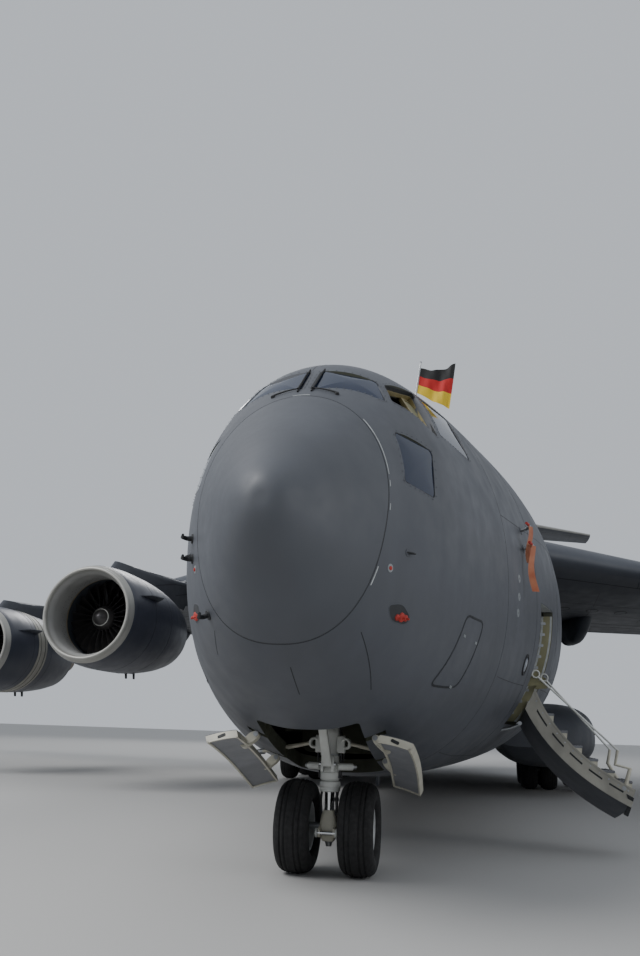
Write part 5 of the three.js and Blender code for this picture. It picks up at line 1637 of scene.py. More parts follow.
@dataclass(frozen=True)
class CrewDoor:
    """The crew door: the doorway's wall hinged at its sill, with stairs, beams, stays and posts."""

    span: tuple[float, float] = (6.57, 7.49)
    heights: tuple[float, float] = (1.77, 3.59)
    hinge: tuple[float, float, float] = (2.36, 7.03, 1.78)
    opened: float = 114
    treads: int = 6
    tread_inset: float = 0.09
    beam_inset: float = 0.03
    foot_corners: tuple = ((3.47, -0.27), (3.585, -0.27), (3.593, -0.1), (3.593, 0.004), (3.53, 0.004),
                           (3.56, -0.15))

    def build(self) -> None:
        """Makes the panel and beams closed, swings them down, then sets the stairs and stays on them."""
        panel = Shape()
        self.panel(panel)
        self.beams(panel)
        panel.turn(self.hinge, AFT, self.opened)
        panel.build("crew_door_panel", "crew_door", "primer", ("crew_door",))
        self.stairs()
        self.stays()
        self.doorway()

    def panel(self, shape: Shape) -> None:
        """The curved door: its thick inner layer, and the painted skin over it.

        Args:
            shape: The shape that gets it.
        """
        for inset, offsets, finish in ((0.0, (0.0, -0.085), Finish.STAIR_GREY),
                                       (0.004, (0.002, -0.006), Finish.BODY_GREY)):
            y = np.linspace(self.span[0] + inset, self.span[1] - inset, 16)[None, :]
            z = np.linspace(self.heights[0] + inset, self.heights[1] - inset, 44)[:, None]
            outer, inner = (side_point(y, z, offset) for offset in offsets)
            shape.loft(np.concatenate([outer, inner[:, ::-1]], 1), finish)

    def beams(self, shape: Shape) -> None:
        """A deep curved beam along each edge, with flanges, and black bars in its web as the long slots'
        painted shade.

        Args:
            shape: The shape that gets it.
        """
        z = np.linspace(self.heights[0] + 0.02, self.heights[1] - 0.02, 40)
        for y, out in ((self.span[0] + self.beam_inset, -1), (self.span[1] - self.beam_inset, 1)):
            for depth, half in (((-0.03, -0.25), 0.02), ((-0.225, -0.25), 0.026), ((-0.02, -0.05), 0.026)):
                near, far = depth
                side_bar(shape, y, z, [(-half, 0, far), (half, 0, far), (half, 0, near), (-half, 0, near)],
                         Finish.STAIR_GREY)
            # Black bars stand in for the web's slots: painted shade.
            for start in np.linspace(0.08, 0.8, 5):
                run = z[0] + (z[-1] - z[0]) * np.linspace(start, start + 0.12, 8)
                side_bar(shape, y, run, [(out * s, 0, d) for s, d in (
                    (0.013, -0.13), (0.0215, -0.13), (0.0215, -0.155), (0.013, -0.155))], Finish.SEAL_BLACK)
            for start in np.linspace(0.05, 0.95, 12):
                height = np.array(z[0] + (z[-1] - z[0]) * start)
                bolt = side_point(np.array(y), height, -0.2)
                shape.tube([bolt + (0, out * 0.015, 0), bolt + (0, out * 0.026, 0)], 0.012, Finish.STEEL, 8)

    def opened_point(self, height: float, offset: float, station: float = 7.03) -> Array:
        """Where a point of the closed door stands once the door is open."""
        closed = side_point(np.array(station), np.array(height), offset)
        return turned(closed, self.hinge, AFT, self.opened)

    def stairs(self) -> None:
        """Level treads with grip strips, risers and side brackets, and then the feet."""
        shape = Shape()
        low, high = self.heights
        y0, y1 = self.span[0] + self.tread_inset, self.span[1] - self.tread_inset
        middle, width = (y0 + y1) / 2, y1 - y0
        for i in range(self.treads):
            height = low + 0.36 + (high - low - 0.5) * i / (self.treads - 1)
            base = self.opened_point(height, -0.1)
            x, z = base[0] + 0.07, base[2] + 0.3
            tread = rounded_box(0.26, 0.036, 0.012)
            shape.cross_plate(tread, (x, middle, z), width, Finish.DOOR_INNER)
            for strip in np.linspace(-0.09, 0.09, 5):
                shape.tube([(x + strip, y0 + 0.03, z + 0.018), (x + strip, y1 - 0.03, z + 0.018)], 0.006,
                           Finish.SEAL_BLACK, 6)
            riser = [(0.08, -0.18), (0.1, -0.18), (0.12, -0.01), (0.1, -0.01)]
            shape.cross_plate(riser, (x, middle, z), width, Finish.DOOR_INNER)
            for y in (y0, y1):
                bracket = [(-0.12, -0.02), (0.12, -0.02), (0.1, -0.16), (-0.02, -0.14)]
                shape.cross_plate(bracket, (x, y, z), 0.02, Finish.GEAR_CREAM)
        shape.build("crew_stair_treads", "crew_door", "floor_grey")
        self.feet()

    def feet(self) -> None:
        """Dark skids at the stair's free end, with their hinge blocks."""
        shape = Shape()
        for y in (self.span[0] + self.beam_inset, self.span[1] - self.beam_inset):
            outline = rounded_outline([self.opened_point(*corner)[[0, 2]] for corner in self.foot_corners],
                                      0.012, 3)
            shape.cross_plate(outline, (0, y, 0), 0.052, Finish.SEAL_BLACK)
            top = self.opened_point(3.42, -0.2, y)
            shape.tube([top + (0, -0.027, 0), top + (0, 0.027, 0)], 0.03, Finish.STEEL, 16)
        shape.build("crew_stair_feet", "crew_door", "floor_grey")

    def stays(self) -> None:
        """Two posts at the stair's end, and two slim white stays with looped ends up to the doorway."""
        shape = Shape()
        for y, loop_x in ((self.span[0] + 0.1, 2.66), (self.span[1] - 0.1, 2.84)):
            top = np.array([3.74, y, 1.44])
            foot = self.opened_point(3.45, -0.2, y)
            post = np.stack([foot, foot + (0.1, 0, 0.3), top + (-0.05, 0, -0.2), top])
            shape.tube(post, [0.034, 0.032, 0.026, 0.022], Finish.GEAR_CREAM, 14)
            shape.tube([foot + (-0.22, 0, 0.14), top + (-0.12, 0, -0.34)], 0.016, Finish.GEAR_CREAM, 10)
            loop = np.array([loop_x, y, 2.47])
            stay = line(loop, top, 12)
            shape.tube(stay, 0.015, Finish.GEAR_WHITE, 10)
            angle, bar = circle(20), circle(8)[:, None]
            out = np.stack([np.cos(angle), 0 * angle, np.sin(angle)], 1)
            ring = out * 0.055 + loop + (-0.03, 0, 0.045)
            tube = ring[:, None] + (out[:, None] * np.cos(bar) + np.array(AFT) * np.sin(bar)) * 0.013
            shape.grid(tube, Finish.GEAR_WHITE, loop=True)
            gusset = rounded_outline([(-0.16, -0.12), (0.05, -0.1), (0.03, 0.06), (-0.04, 0.08)], 0.02, 3)
            shape.cross_plate(gusset, loop + (-0.03, 0.03, -0.02), 0.02, Finish.KHAKI)
        shape.build("crew_stair_stays", "crew_door", "gear_white")

    def doorway(self) -> None:
        """The doorway's frame: primer jambs with pale edges and clips, head strip, sill plate and hinges."""
        shape = Shape()
        y0, y1, sill, head = Skin.door
        z = np.linspace(sill + 0.06, head - 0.08, 36)
        for y, out in ((y0 + 0.007, 1), (y1 - 0.007, -1)):
            side_bar(shape, y, z, [(-out * s, 0, d) for s, d in (
                (0.0, -0.006), (0.0, -0.3), (0.005, -0.3), (0.005, -0.006))], Finish.PRIMER)
            for depth in (-0.012, -0.15):
                side_bar(shape, y, z, [(out * s, 0, depth - d) for s, d in (
                    (-0.002, 0.0), (0.0015, 0.0), (0.0015, 0.03), (-0.002, 0.03))], Finish.SEALANT)
            for height in np.linspace(sill + 0.2, head - 0.2, 9):
                clip = side_point(np.array(y), np.array(height), -0.17)
                shape.cross_plate(rounded_box(0.12, 0.045, 0.012), clip + (0, out * 0.003, 0), 0.008,
                                  Finish.STEEL)
        y = np.linspace(y0 + 0.014, y1 - 0.014, 20)
        side_bar(shape, y, head - 0.007, [(0, 0.0, -0.012), (0, 0.006, -0.012), (0, 0.006, -0.3),
                                          (0, 0.0, -0.3)], Finish.SEALANT)
        side_bar(shape, y, sill, [(0, 0.0, -0.3), (0, 0.007, -0.3), (0, 0.007, -0.06), (0, 0.0, -0.06)],
                 Finish.STEEL)
        shape.build("crew_doorway_frame", "airframe", "primer")
        hinges = Shape()
        for place in (6.79, 7.26):
            x, _, z = self.hinge
            hinges.tube([(x, place - 0.085, z), (x, place, z)], 0.03, Finish.STEEL, 16)
            arm = [(x, place - 0.04, z - 0.02), (2.2, place - 0.04, 1.7), (2.0, place - 0.04, 1.66)]
            hinges.tube(arm, 0.022, Finish.STEEL, 12)
        hinges.build("crew_door_hinges", "airframe", "primer")


AIRFOIL = np.array([
    (0, 0, 0), (0.012, 0.18, -0.15), (0.05, 0.34, -0.28), (0.14, 0.5, -0.41), (0.32, 0.56, -0.44),
    (0.52, 0.52, -0.34), (0.72, 0.36, -0.19), (0.88, 0.17, -0.07), (1, 0.03, -0.02),
])


def airfoil_height(share: Array, row: int) -> Array:
    """The upper (1) or lower (2) surface at chordwise shares: an eased curve along the root of the share."""
    return eased(np.sqrt(AIRFOIL[:, 0]), AIRFOIL[:, row : row + 1], np.sqrt(share))[..., 0]


def symmetric_height(share: Array, row: int) -> Array:
    """Half of the airfoil's thickness on either side of its chord."""
    half = (airfoil_height(share, 1) - airfoil_height(share, 2)) / 2
    return half if row == 1 else -half


@dataclass(frozen=True)
class LiftingSurface:
    """A tapered surface: rows of span place, leading edge, chord, height, incidence and thickness."""

    rows: tuple[tuple[float, ...], ...]
    upright: bool = False
    symmetric: bool = False
    thickness_is_length: bool = False

    def at(self, span: Array, share: Array, row: int, side: int = 1, proud: float = 0.0) -> Array:
        """Points of the surface: the section's airfoil turned by its incidence, straight between sections.

        Args:
            span: Places along the span.
            share: Chordwise shares from the leading edge.
            row: 1 for the upper surface, 2 for the lower, 0 for the chord.
            side: Which side of the aircraft.
            proud: How far outside the surface.

        Returns:
            Points with the arguments' common shape and one more axis.
        """
        span, share = np.broadcast_arrays(np.asarray(span, float), np.asarray(share, float))
        table = np.array(self.rows, float)
        section = symmetric_height if self.symmetric else airfoil_height
        height = section(share, row) if row else 0 * share
        placed = []
        for _, leading, chord, base, tilt, thickness in table:
            size = thickness if self.thickness_is_length else thickness * chord
            lift = height * size + proud * (1 if row == 1 else -1)
            a = math.radians(tilt)
            along = share * chord
            placed.append(np.stack([leading + along * math.cos(a) + lift * math.sin(a),
                                    base - along * math.sin(a) + lift * math.cos(a)], -1))
        stack = np.stack(placed)
        i = np.clip(np.searchsorted(table[:, 0], span, side="right") - 1, 0, len(table) - 2)
        part = ((span - table[i, 0]) / (table[i + 1, 0] - table[i, 0]))[..., None]
        rows, columns = np.indices(span.shape)[:2] if span.ndim == 2 else (np.arange(span.size), None)
        if span.ndim == 2:
            here = stack[i, rows, columns] * (1 - part) + stack[i + 1, rows, columns] * part
        elif span.ndim == 1:
            here = stack[i, rows] * (1 - part) + stack[i + 1, rows] * part
        else:
            here = stack[i] * (1 - part) + stack[i + 1] * part
        if self.upright:
            return np.stack([side * here[..., 1], here[..., 0], span], -1)
        return np.stack([side * span, here[..., 0], here[..., 1]], -1)

    def point(self, span: float, share: float, row: int, side: int) -> Array:
        """One point of the surface."""
        return self.at(np.array([span]), np.array([share]), row, side)[0]

    def spans(self, start: float, end: float, step: float) -> Array:
        """Even places along the span, with the table's own sections among them."""
        count = max(2, int(abs(end - start) / step) + 1)
        inner = [row[0] for row in self.rows if start < row[0] < end]
        return np.unique(np.concatenate([np.linspace(start, end, count), inner]))

    def panel(self, shape: Shape, start: float, end: float, first: float, last: float, finish: Finish,
              side: int, step: float = 0.6, nose: float = 0.0, edge: Finish | None = None) -> None:
        """A closed part of the surface between two span places and two chordwise shares.

        Args:
            shape: The shape that gets it.
            start: Inner end of its span.
            end: Outer end.
            first: Chordwise share at which it starts.
            last: Share at which it ends.
            finish: Its finish.
            side: Which side of the aircraft.
            step: The longest step along the span.
            nose: Where above zero, the share that its wedge-shaped nose takes.
            edge: The finish of the leading strip, where it differs.
        """
        spans = self.spans(start, end, step)[:, None]
        bend = np.linspace(0, 1, 26)
        share = (first + nose) + (last - first - nose) * bend**1.6
        upper = self.at(spans, share[None, ::-1], 1, side)
        lower = self.at(spans, share[None, :], 2, side)
        if nose:
            tip = self.at(spans, np.array([[first]]), 0, side)
            ring = np.concatenate([upper, tip, lower], 1)
        elif first > 0:
            ring = np.concatenate([upper, lower], 1)
        else:
            ring = np.concatenate([upper, lower[:, 1:]], 1)
        shape.loft(ring, finish)
        if edge:
            lead = np.array([0.0, 0.0015, 0.005, 0.011, 0.02])
            strip = [self.at(spans, lead[None, ::-1], 1, side, 0.003),
                     self.at(spans, lead[None, 1:], 2, side, 0.003),
                     self.at(spans, lead[None, :0:-1], 2, side, -0.004),
                     self.at(spans, lead[None, :], 1, side, -0.004)]
            shape.loft(np.concatenate(strip, 1), edge)

    def joint(self, shape: Shape, path: Rows, row: int, side: int, width: float,
              height: float = 0.003) -> None:
        """A thin dark strip on the surface through corners of span place and chordwise share.

        Args:
            shape: The shape that gets it.
            path: The corners.
            row: 1 for the upper surface, 2 for the lower.
            side: Which side of the aircraft, 1 for port.
            width: The strip's width.
            height: How proud it stands.
        """
        corners = np.asarray(path, float)
        runs = [np.linspace(a, b, max(2, int(abs(b[0] - a[0]) / 0.8 + abs(b[1] - a[1]) * 12) + 1),
                            endpoint=False) for a, b in zip(corners[:-1], corners[1:])]
        flat = np.concatenate([*runs, corners[-1:]])
        middle = self.at(flat[:, 0], flat[:, 1], row, side)
        near = self.at(flat[:, 0] + 0.01, flat[:, 1], row, side) - middle
        aft = self.at(flat[:, 0], np.minimum(flat[:, 1] + 0.002, 1), row, side) - self.at(
            flat[:, 0], np.maximum(flat[:, 1] - 0.002, 0), row, side)
        out = unit(np.cross(near, aft)) * (1 if row == 1 else -1) * side * (-1 if self.upright else 1)
        ahead = unit(np.gradient(middle, axis=0))
        beside = unit(np.cross(out, ahead))
        shape.loft(strip_rings(middle, beside, out, width, height), Finish.SEAM_DARK)


WING = LiftingSurface(((3, 16.28, 10.8, 6.76, 4.5, 0.15), (9.5, 19.766, 7.6, 6.27, 4.5, 0.125),
                       (17.5, 24.054, 5.48, 5.67, 3, 0.115), (25.145, 28.15, 3.4, 5.1, 2, 0.11)))


@dataclass(frozen=True)
class Flap:
    """One flap: its span and the places of the brackets that carry it."""

    name: str
    start: float
    end: float
    brackets: tuple[float, float]


@dataclass(frozen=True)
class Wings:
    """Both wings: panels with slat and spoiler joints, flaps with fairings, ailerons and winglets."""

    flaps: tuple[Flap, ...] = (Flap("inner", 4.25, 9.15, (5.2, 8.6)), Flap("outer", 9.85, 17.5, (11.4, 16.3)))
    aileron: tuple[float, float] = (18.0, 23.9)
    tip: float = 25.145
    flap_hinge: float = 0.72
    aileron_hinge: float = 0.75
    bracket_half: float = 0.36
    root: float = 3.1
    fixed_from: float = 0.71
    slat_joints: tuple = ((1, 0.13), (2, 0.07))
    front_fairing: tuple = ((-2.28, -0.05, -0.1, 0.12), (-1.9, 0.0, -0.42, 0.55), (-1.3, 0.05, -0.86, 0.9),
                            (-0.5, 0.02, -1.12, 1.0), (-0.012, 0.0, -1.125, 1.0))
    rear_fairing: tuple = ((0.012, -0.03, -1.0, 0.98), (0.3, -0.03, -1.1, 0.94), (0.8, 0.0, -0.82, 0.75),
                           (1.3, -0.02, -0.42, 0.4), (1.49, -0.05, -0.2, 0.15))

    def build(self) -> None:
        """Makes both wings."""
        for side, hand in SIDES:
            wing = Shape()
            WING.panel(wing, self.root, self.tip, 0.0, self.flap_hinge - 0.006, Finish.BODY_GREY, side,
                       edge=Finish.COMPOSITE_GREY)
            for start, end, last in ((self.root, 4.24, 1.0), (9.16, 9.84, 1.0), (17.51, 17.99, 1.0),
                                     (23.91, self.tip, 1.0), (17.99, 23.91, self.aileron_hinge - 0.007)):
                WING.panel(wing, start, end, self.fixed_from, last, Finish.BODY_GREY, side)
            wing.build(f"wing_{hand}_panel", "airframe", "grey_paint", (f"wing_{hand}",))
            self.lines(side, hand)
            for flap in self.flaps:
                self.build_flap(flap, side, hand)
            aileron = Shape()
            WING.panel(aileron, self.aileron[0] + 0.002, self.aileron[1] - 0.002,
                       self.aileron_hinge + 0.002, 1.0, Finish.BODY_GREY, side, nose=0.016)
            for span in (18.9, 20.9, 22.9):
                WING.joint(aileron, [(span, 0.79), (span, 0.985)], 1, side, 0.014)
            aileron.build(f"aileron_{hand}_skin", f"aileron_{hand}", "composite_grey", (f"aileron_{hand}",))
            self.winglet(side, hand)

    def lines(self, side: int, hand: str) -> None:
        """Slat joints, spoiler outlines, skin joints and tank panels on a wing, and the lamp at its tip.

        Args:
            side: Which side of the aircraft, 1 for port.
            hand: The side's word in the pieces' names.
        """
        shape = Shape()
        tip = self.tip - 0.15
        for row, share in self.slat_joints:
            WING.joint(shape, [(3.8, share), (tip, share)], row, side, 0.022)
        for span in (6.6, 9.6, 12.4, 15.6, 18.6, 21.6, 24.4):
            for row, share in self.slat_joints:
                WING.joint(shape, [(span, 0.004), (span, share)], row, side, 0.02)
        for start, end in ((4.4, 6.7), (6.8, 9.1), (10.0, 13.6), (13.7, 17.3)):
            WING.joint(shape, [(start, 0.6), (start, 0.715), (end, 0.715), (end, 0.6), (start, 0.6)], 1,
                       side, 0.018)
        for share in (0.28, 0.46):
            for row in BOTH_FACES:
                WING.joint(shape, [(3.8, share), (tip, share)], row, side, 0.01, 0.002)
        for span in (5.5, 7.4, 11.2, 14.4, 16.9, 20.2, 22.8):
            for row in BOTH_FACES:
                WING.joint(shape, [(span, 0.14), (span, 0.59)], row, side, 0.01, 0.002)
        for span in np.arange(4.6, 24, 0.95):
            middle = WING.point(span, 0.37, 2, side)
            angle = circle(20)
            oval = np.stack([np.cos(angle) * 0.2, np.sin(angle) * 0.3, 0 * angle], 1) + middle
            rims = ((1, 0.0), (1, -0.006), (0.93, -0.007), (0.93, 0.0))
            rings = [middle + (oval - middle) * size + (0, 0, rise) for size, rise in rims]
            shape.grid(np.stack(rings), Finish.SEAM_DARK, loop=True)
        lamp = WING.point(self.tip - 0.25, 0.012, 2, side)
        shape.lathe([(-0.05, 0.0), (-0.05, 0.07), (0.0, 0.075), (0.05, 0.05), (0.07, 0.0)], lamp, (0, -1, 0),
                    Finish.LAMP_LENS, 20)
        shape.build(f"wing_{hand}_joints", "airframe", "grey_paint")

    def hinge_frame(self, flap: Flap, side: int) -> tuple[Array, Array, Array, Array, float]:
        """The flap's hinge line: its start, direction, the ways aft and up from it, and its length.

        Args:
            flap: The flap.
            side: Which side of the aircraft, 1 for port.

        Returns:
            The start, the three directions and the length.
        """
        start = WING.point(flap.start, self.flap_hinge, 0, side)
        end = WING.point(flap.end, self.flap_hinge, 0, side)
        along = unit(end - start)
        up = unit(np.array([0, 0, 1.0]) - along * along[2])
        aft = np.cross(up, along)
        aft = aft * (1 if aft[1] > 0 else -1)
        return start, along, aft, up, float(np.linalg.norm(end - start))

    def fairing(self, shape: Shape, centre: Array, axes: tuple[Array, Array, Array], table: Rows) -> None:
        """A smooth canoe through rows of aft place, top, bottom and width share: a superellipse at each.

        Args:
            shape: The shape that gets it.
            centre: The hinge point above it.
            axes: The directions along the hinge, aft and up.
            table: Its rows.
        """
        along, aft, up = axes
        rows = np.asarray(table, float)
        at = np.linspace(rows[0, 0], rows[-1, 0], 26)
        values = eased(rows[:, 0], rows[:, 1:], at)
        angle = circle(28)
        across, rise = superellipse(angle, 2.3)
        top, bottom, width = values[:, 0:1], values[:, 1:2], values[:, 2:3]
        height = (top + bottom) / 2 + (top - bottom) / 2 * rise
        rings = (centre + aft * at[:, None, None] + along * (across * width * self.bracket_half)[..., None]
                 + up * height[..., None])
        # The fairings take the body grey darkened as painted shade.
        shape.loft(rings, Finish.UNDER_GREY)

    def build_flap(self, flap: Flap, side: int, hand: str) -> None:
        """A flap with its joints and the rear halves of its fairings, and the front halves on the wing.

        Args:
            flap: The flap.
            side: Which side of the aircraft, 1 for port.
            hand: The side's word in the pieces' names.
        """
        moving, fixed = Shape(), Shape()
        WING.panel(moving, flap.start + 0.002, flap.end - 0.002, self.flap_hinge + 0.0018, 1.0,
                   Finish.BODY_GREY, side)
        for row in BOTH_FACES:
            WING.joint(moving, [(flap.start + 0.05, 0.82), (flap.end - 0.05, 0.82)], row, side, 0.016)
        start, along, aft, up, length = self.hinge_frame(flap, side)
        for x in flap.brackets:
            centre = start + along * (x - flap.start) / (flap.end - flap.start) * length
            self.fairing(fixed, centre, (along, aft, up), self.front_fairing)
            self.fairing(moving, centre, (along, aft, up), self.rear_fairing)
        body = f"flap_{flap.name}_{hand}"
        moving.build(f"{body}_skin", body, "composite_grey", (body,))
        fixed.build(f"{body}_fairings", "airframe", "composite_grey")

    def winglet(self, side: int, hand: str) -> None:
        """The upswept blade at the wing tip, with its lamp.

        Args:
            side: Which side of the aircraft, 1 for port.
            hand: The side's word in the pieces' names.
        """
        blade = LiftingSurface(((4.9, 29.05, 2.43, 25.19, 0, 0.255), (7.8, 30.83, 0.9, 25.82, 0, 0.09)),
                               upright=True, thickness_is_length=True)
        shape = Shape()
        blade.panel(shape, 4.9, 7.8, 0.0, 1.0, Finish.BODY_GREY, side, step=0.3, edge=Finish.LIP_METAL)
        shape.lathe([(-0.1, 0.0), (-0.1, 0.03), (0.14, 0.03), (0.2, 0.0)],
                    blade.point(5.0, 0.97, 0, side), AFT, Finish.LAMP_LENS, 14)
        shape.build(f"winglet_{hand}_skin", "airframe", "grey_paint", (f"winglet_{hand}",))


FIN = LiftingSurface(((6.8, 35.9, 9.8, 0, 0, 1.05), (15.75, 43.68, 6.9, 0, 0, 0.64)), upright=True,
                     symmetric=True, thickness_is_length=True)
TAILPLANE = LiftingSurface(((0.475, 45.05, 6.3, 16.12, 0, 0.11), (9.905, 50.459, 2.581, 15.64, 0, 0.1)),
                           symmetric=True)


@dataclass(frozen=True)
class Tail:
    """Fin with two rudders, the bullet on top, the trimming tailplane and its elevators."""

    rudders: tuple = (("rudder_lower", 8.9, 12.09), ("rudder_upper", 12.1, 15.34))
    hinge: float = 0.7
    fixed_from: float = 0.69
    elevator: tuple[float, float] = (1.15, 9.15)

    def build(self) -> None:
        """Makes the whole tail."""
        fin = Shape()
        FIN.panel(fin, 6.85, 15.74, 0.0, self.hinge - 0.005, Finish.BODY_GREY, 1, step=0.5,
                  edge=Finish.LIP_METAL)
        for start, end in ((6.85, 8.895), (15.35, 15.74)):
            FIN.panel(fin, start, end, self.fixed_from, 1.0, Finish.BODY_GREY, 1, step=0.5)
        for row in BOTH_FACES:
            for share in (0.16, 0.4):
                FIN.joint(fin, [(7.6, share), (15.5, share)], row, 1, 0.014)
            for z in (8.9, 10.5, 12.1, 13.7):
                FIN.joint(fin, [(z, 0.02), (z, self.fixed_from)], row, 1, 0.014)
        fin.build("fin_skin", "airframe", "grey_paint_aft", ("fin",))
        for name, start, end in self.rudders:
            rudder = Shape()
            FIN.panel(rudder, start + 0.02, end - 0.02, self.hinge + 0.001, 1.0, Finish.BODY_GREY, 1,
                      step=0.4, nose=0.035)
            for row in BOTH_FACES:
                FIN.joint(rudder, [(start + 0.1, 0.86), (end - 0.1, 0.86)], row, 1, 0.02)
            rudder.build(f"{name}_skin", name, "composite_grey", (name,))
        self.tailplane()
        kept_node("tail_bullet", Finish.BODY_GREY, "airframe")

    def tailplane(self) -> None:
        """Both halves on their shaft, and both elevators."""
        shape = Shape()
        shape.tube([(-0.57, 49.2, 16.12), (0.57, 49.2, 16.12)], 0.149, Finish.STEEL, 28)
        for side, hand in SIDES:
            TAILPLANE.panel(shape, 0.476, 9.905, 0.0, self.hinge - 0.0012, Finish.BODY_GREY, side, step=0.6,
                            edge=Finish.LIP_METAL)
            for start, end in ((0.476, 1.14), (9.16, 9.905)):
                TAILPLANE.panel(shape, start, end, self.fixed_from, 1.0, Finish.BODY_GREY, side, step=0.3)
            for row in BOTH_FACES:
                TAILPLANE.joint(shape, [(0.7, 0.2), (9.8, 0.2)], row, side, 0.014)
                for span in (2.5, 4.5, 6.5, 8.5):
                    TAILPLANE.joint(shape, [(span, 0.02), (span, self.fixed_from)], row, side, 0.012)
            elevator = Shape()
            TAILPLANE.panel(elevator, self.elevator[0] + 0.01, self.elevator[1] - 0.01, self.hinge + 0.0006,
                            1.0, Finish.BODY_GREY, side, step=0.5, nose=0.03)
            elevator.build(f"elevator_{hand}_skin", f"elevator_{hand}", "composite_grey",
                           (f"elevator_{hand}",))
        shape.build("tailplane_skin", "tailplane", "grey_paint_aft", ("tailplane",))


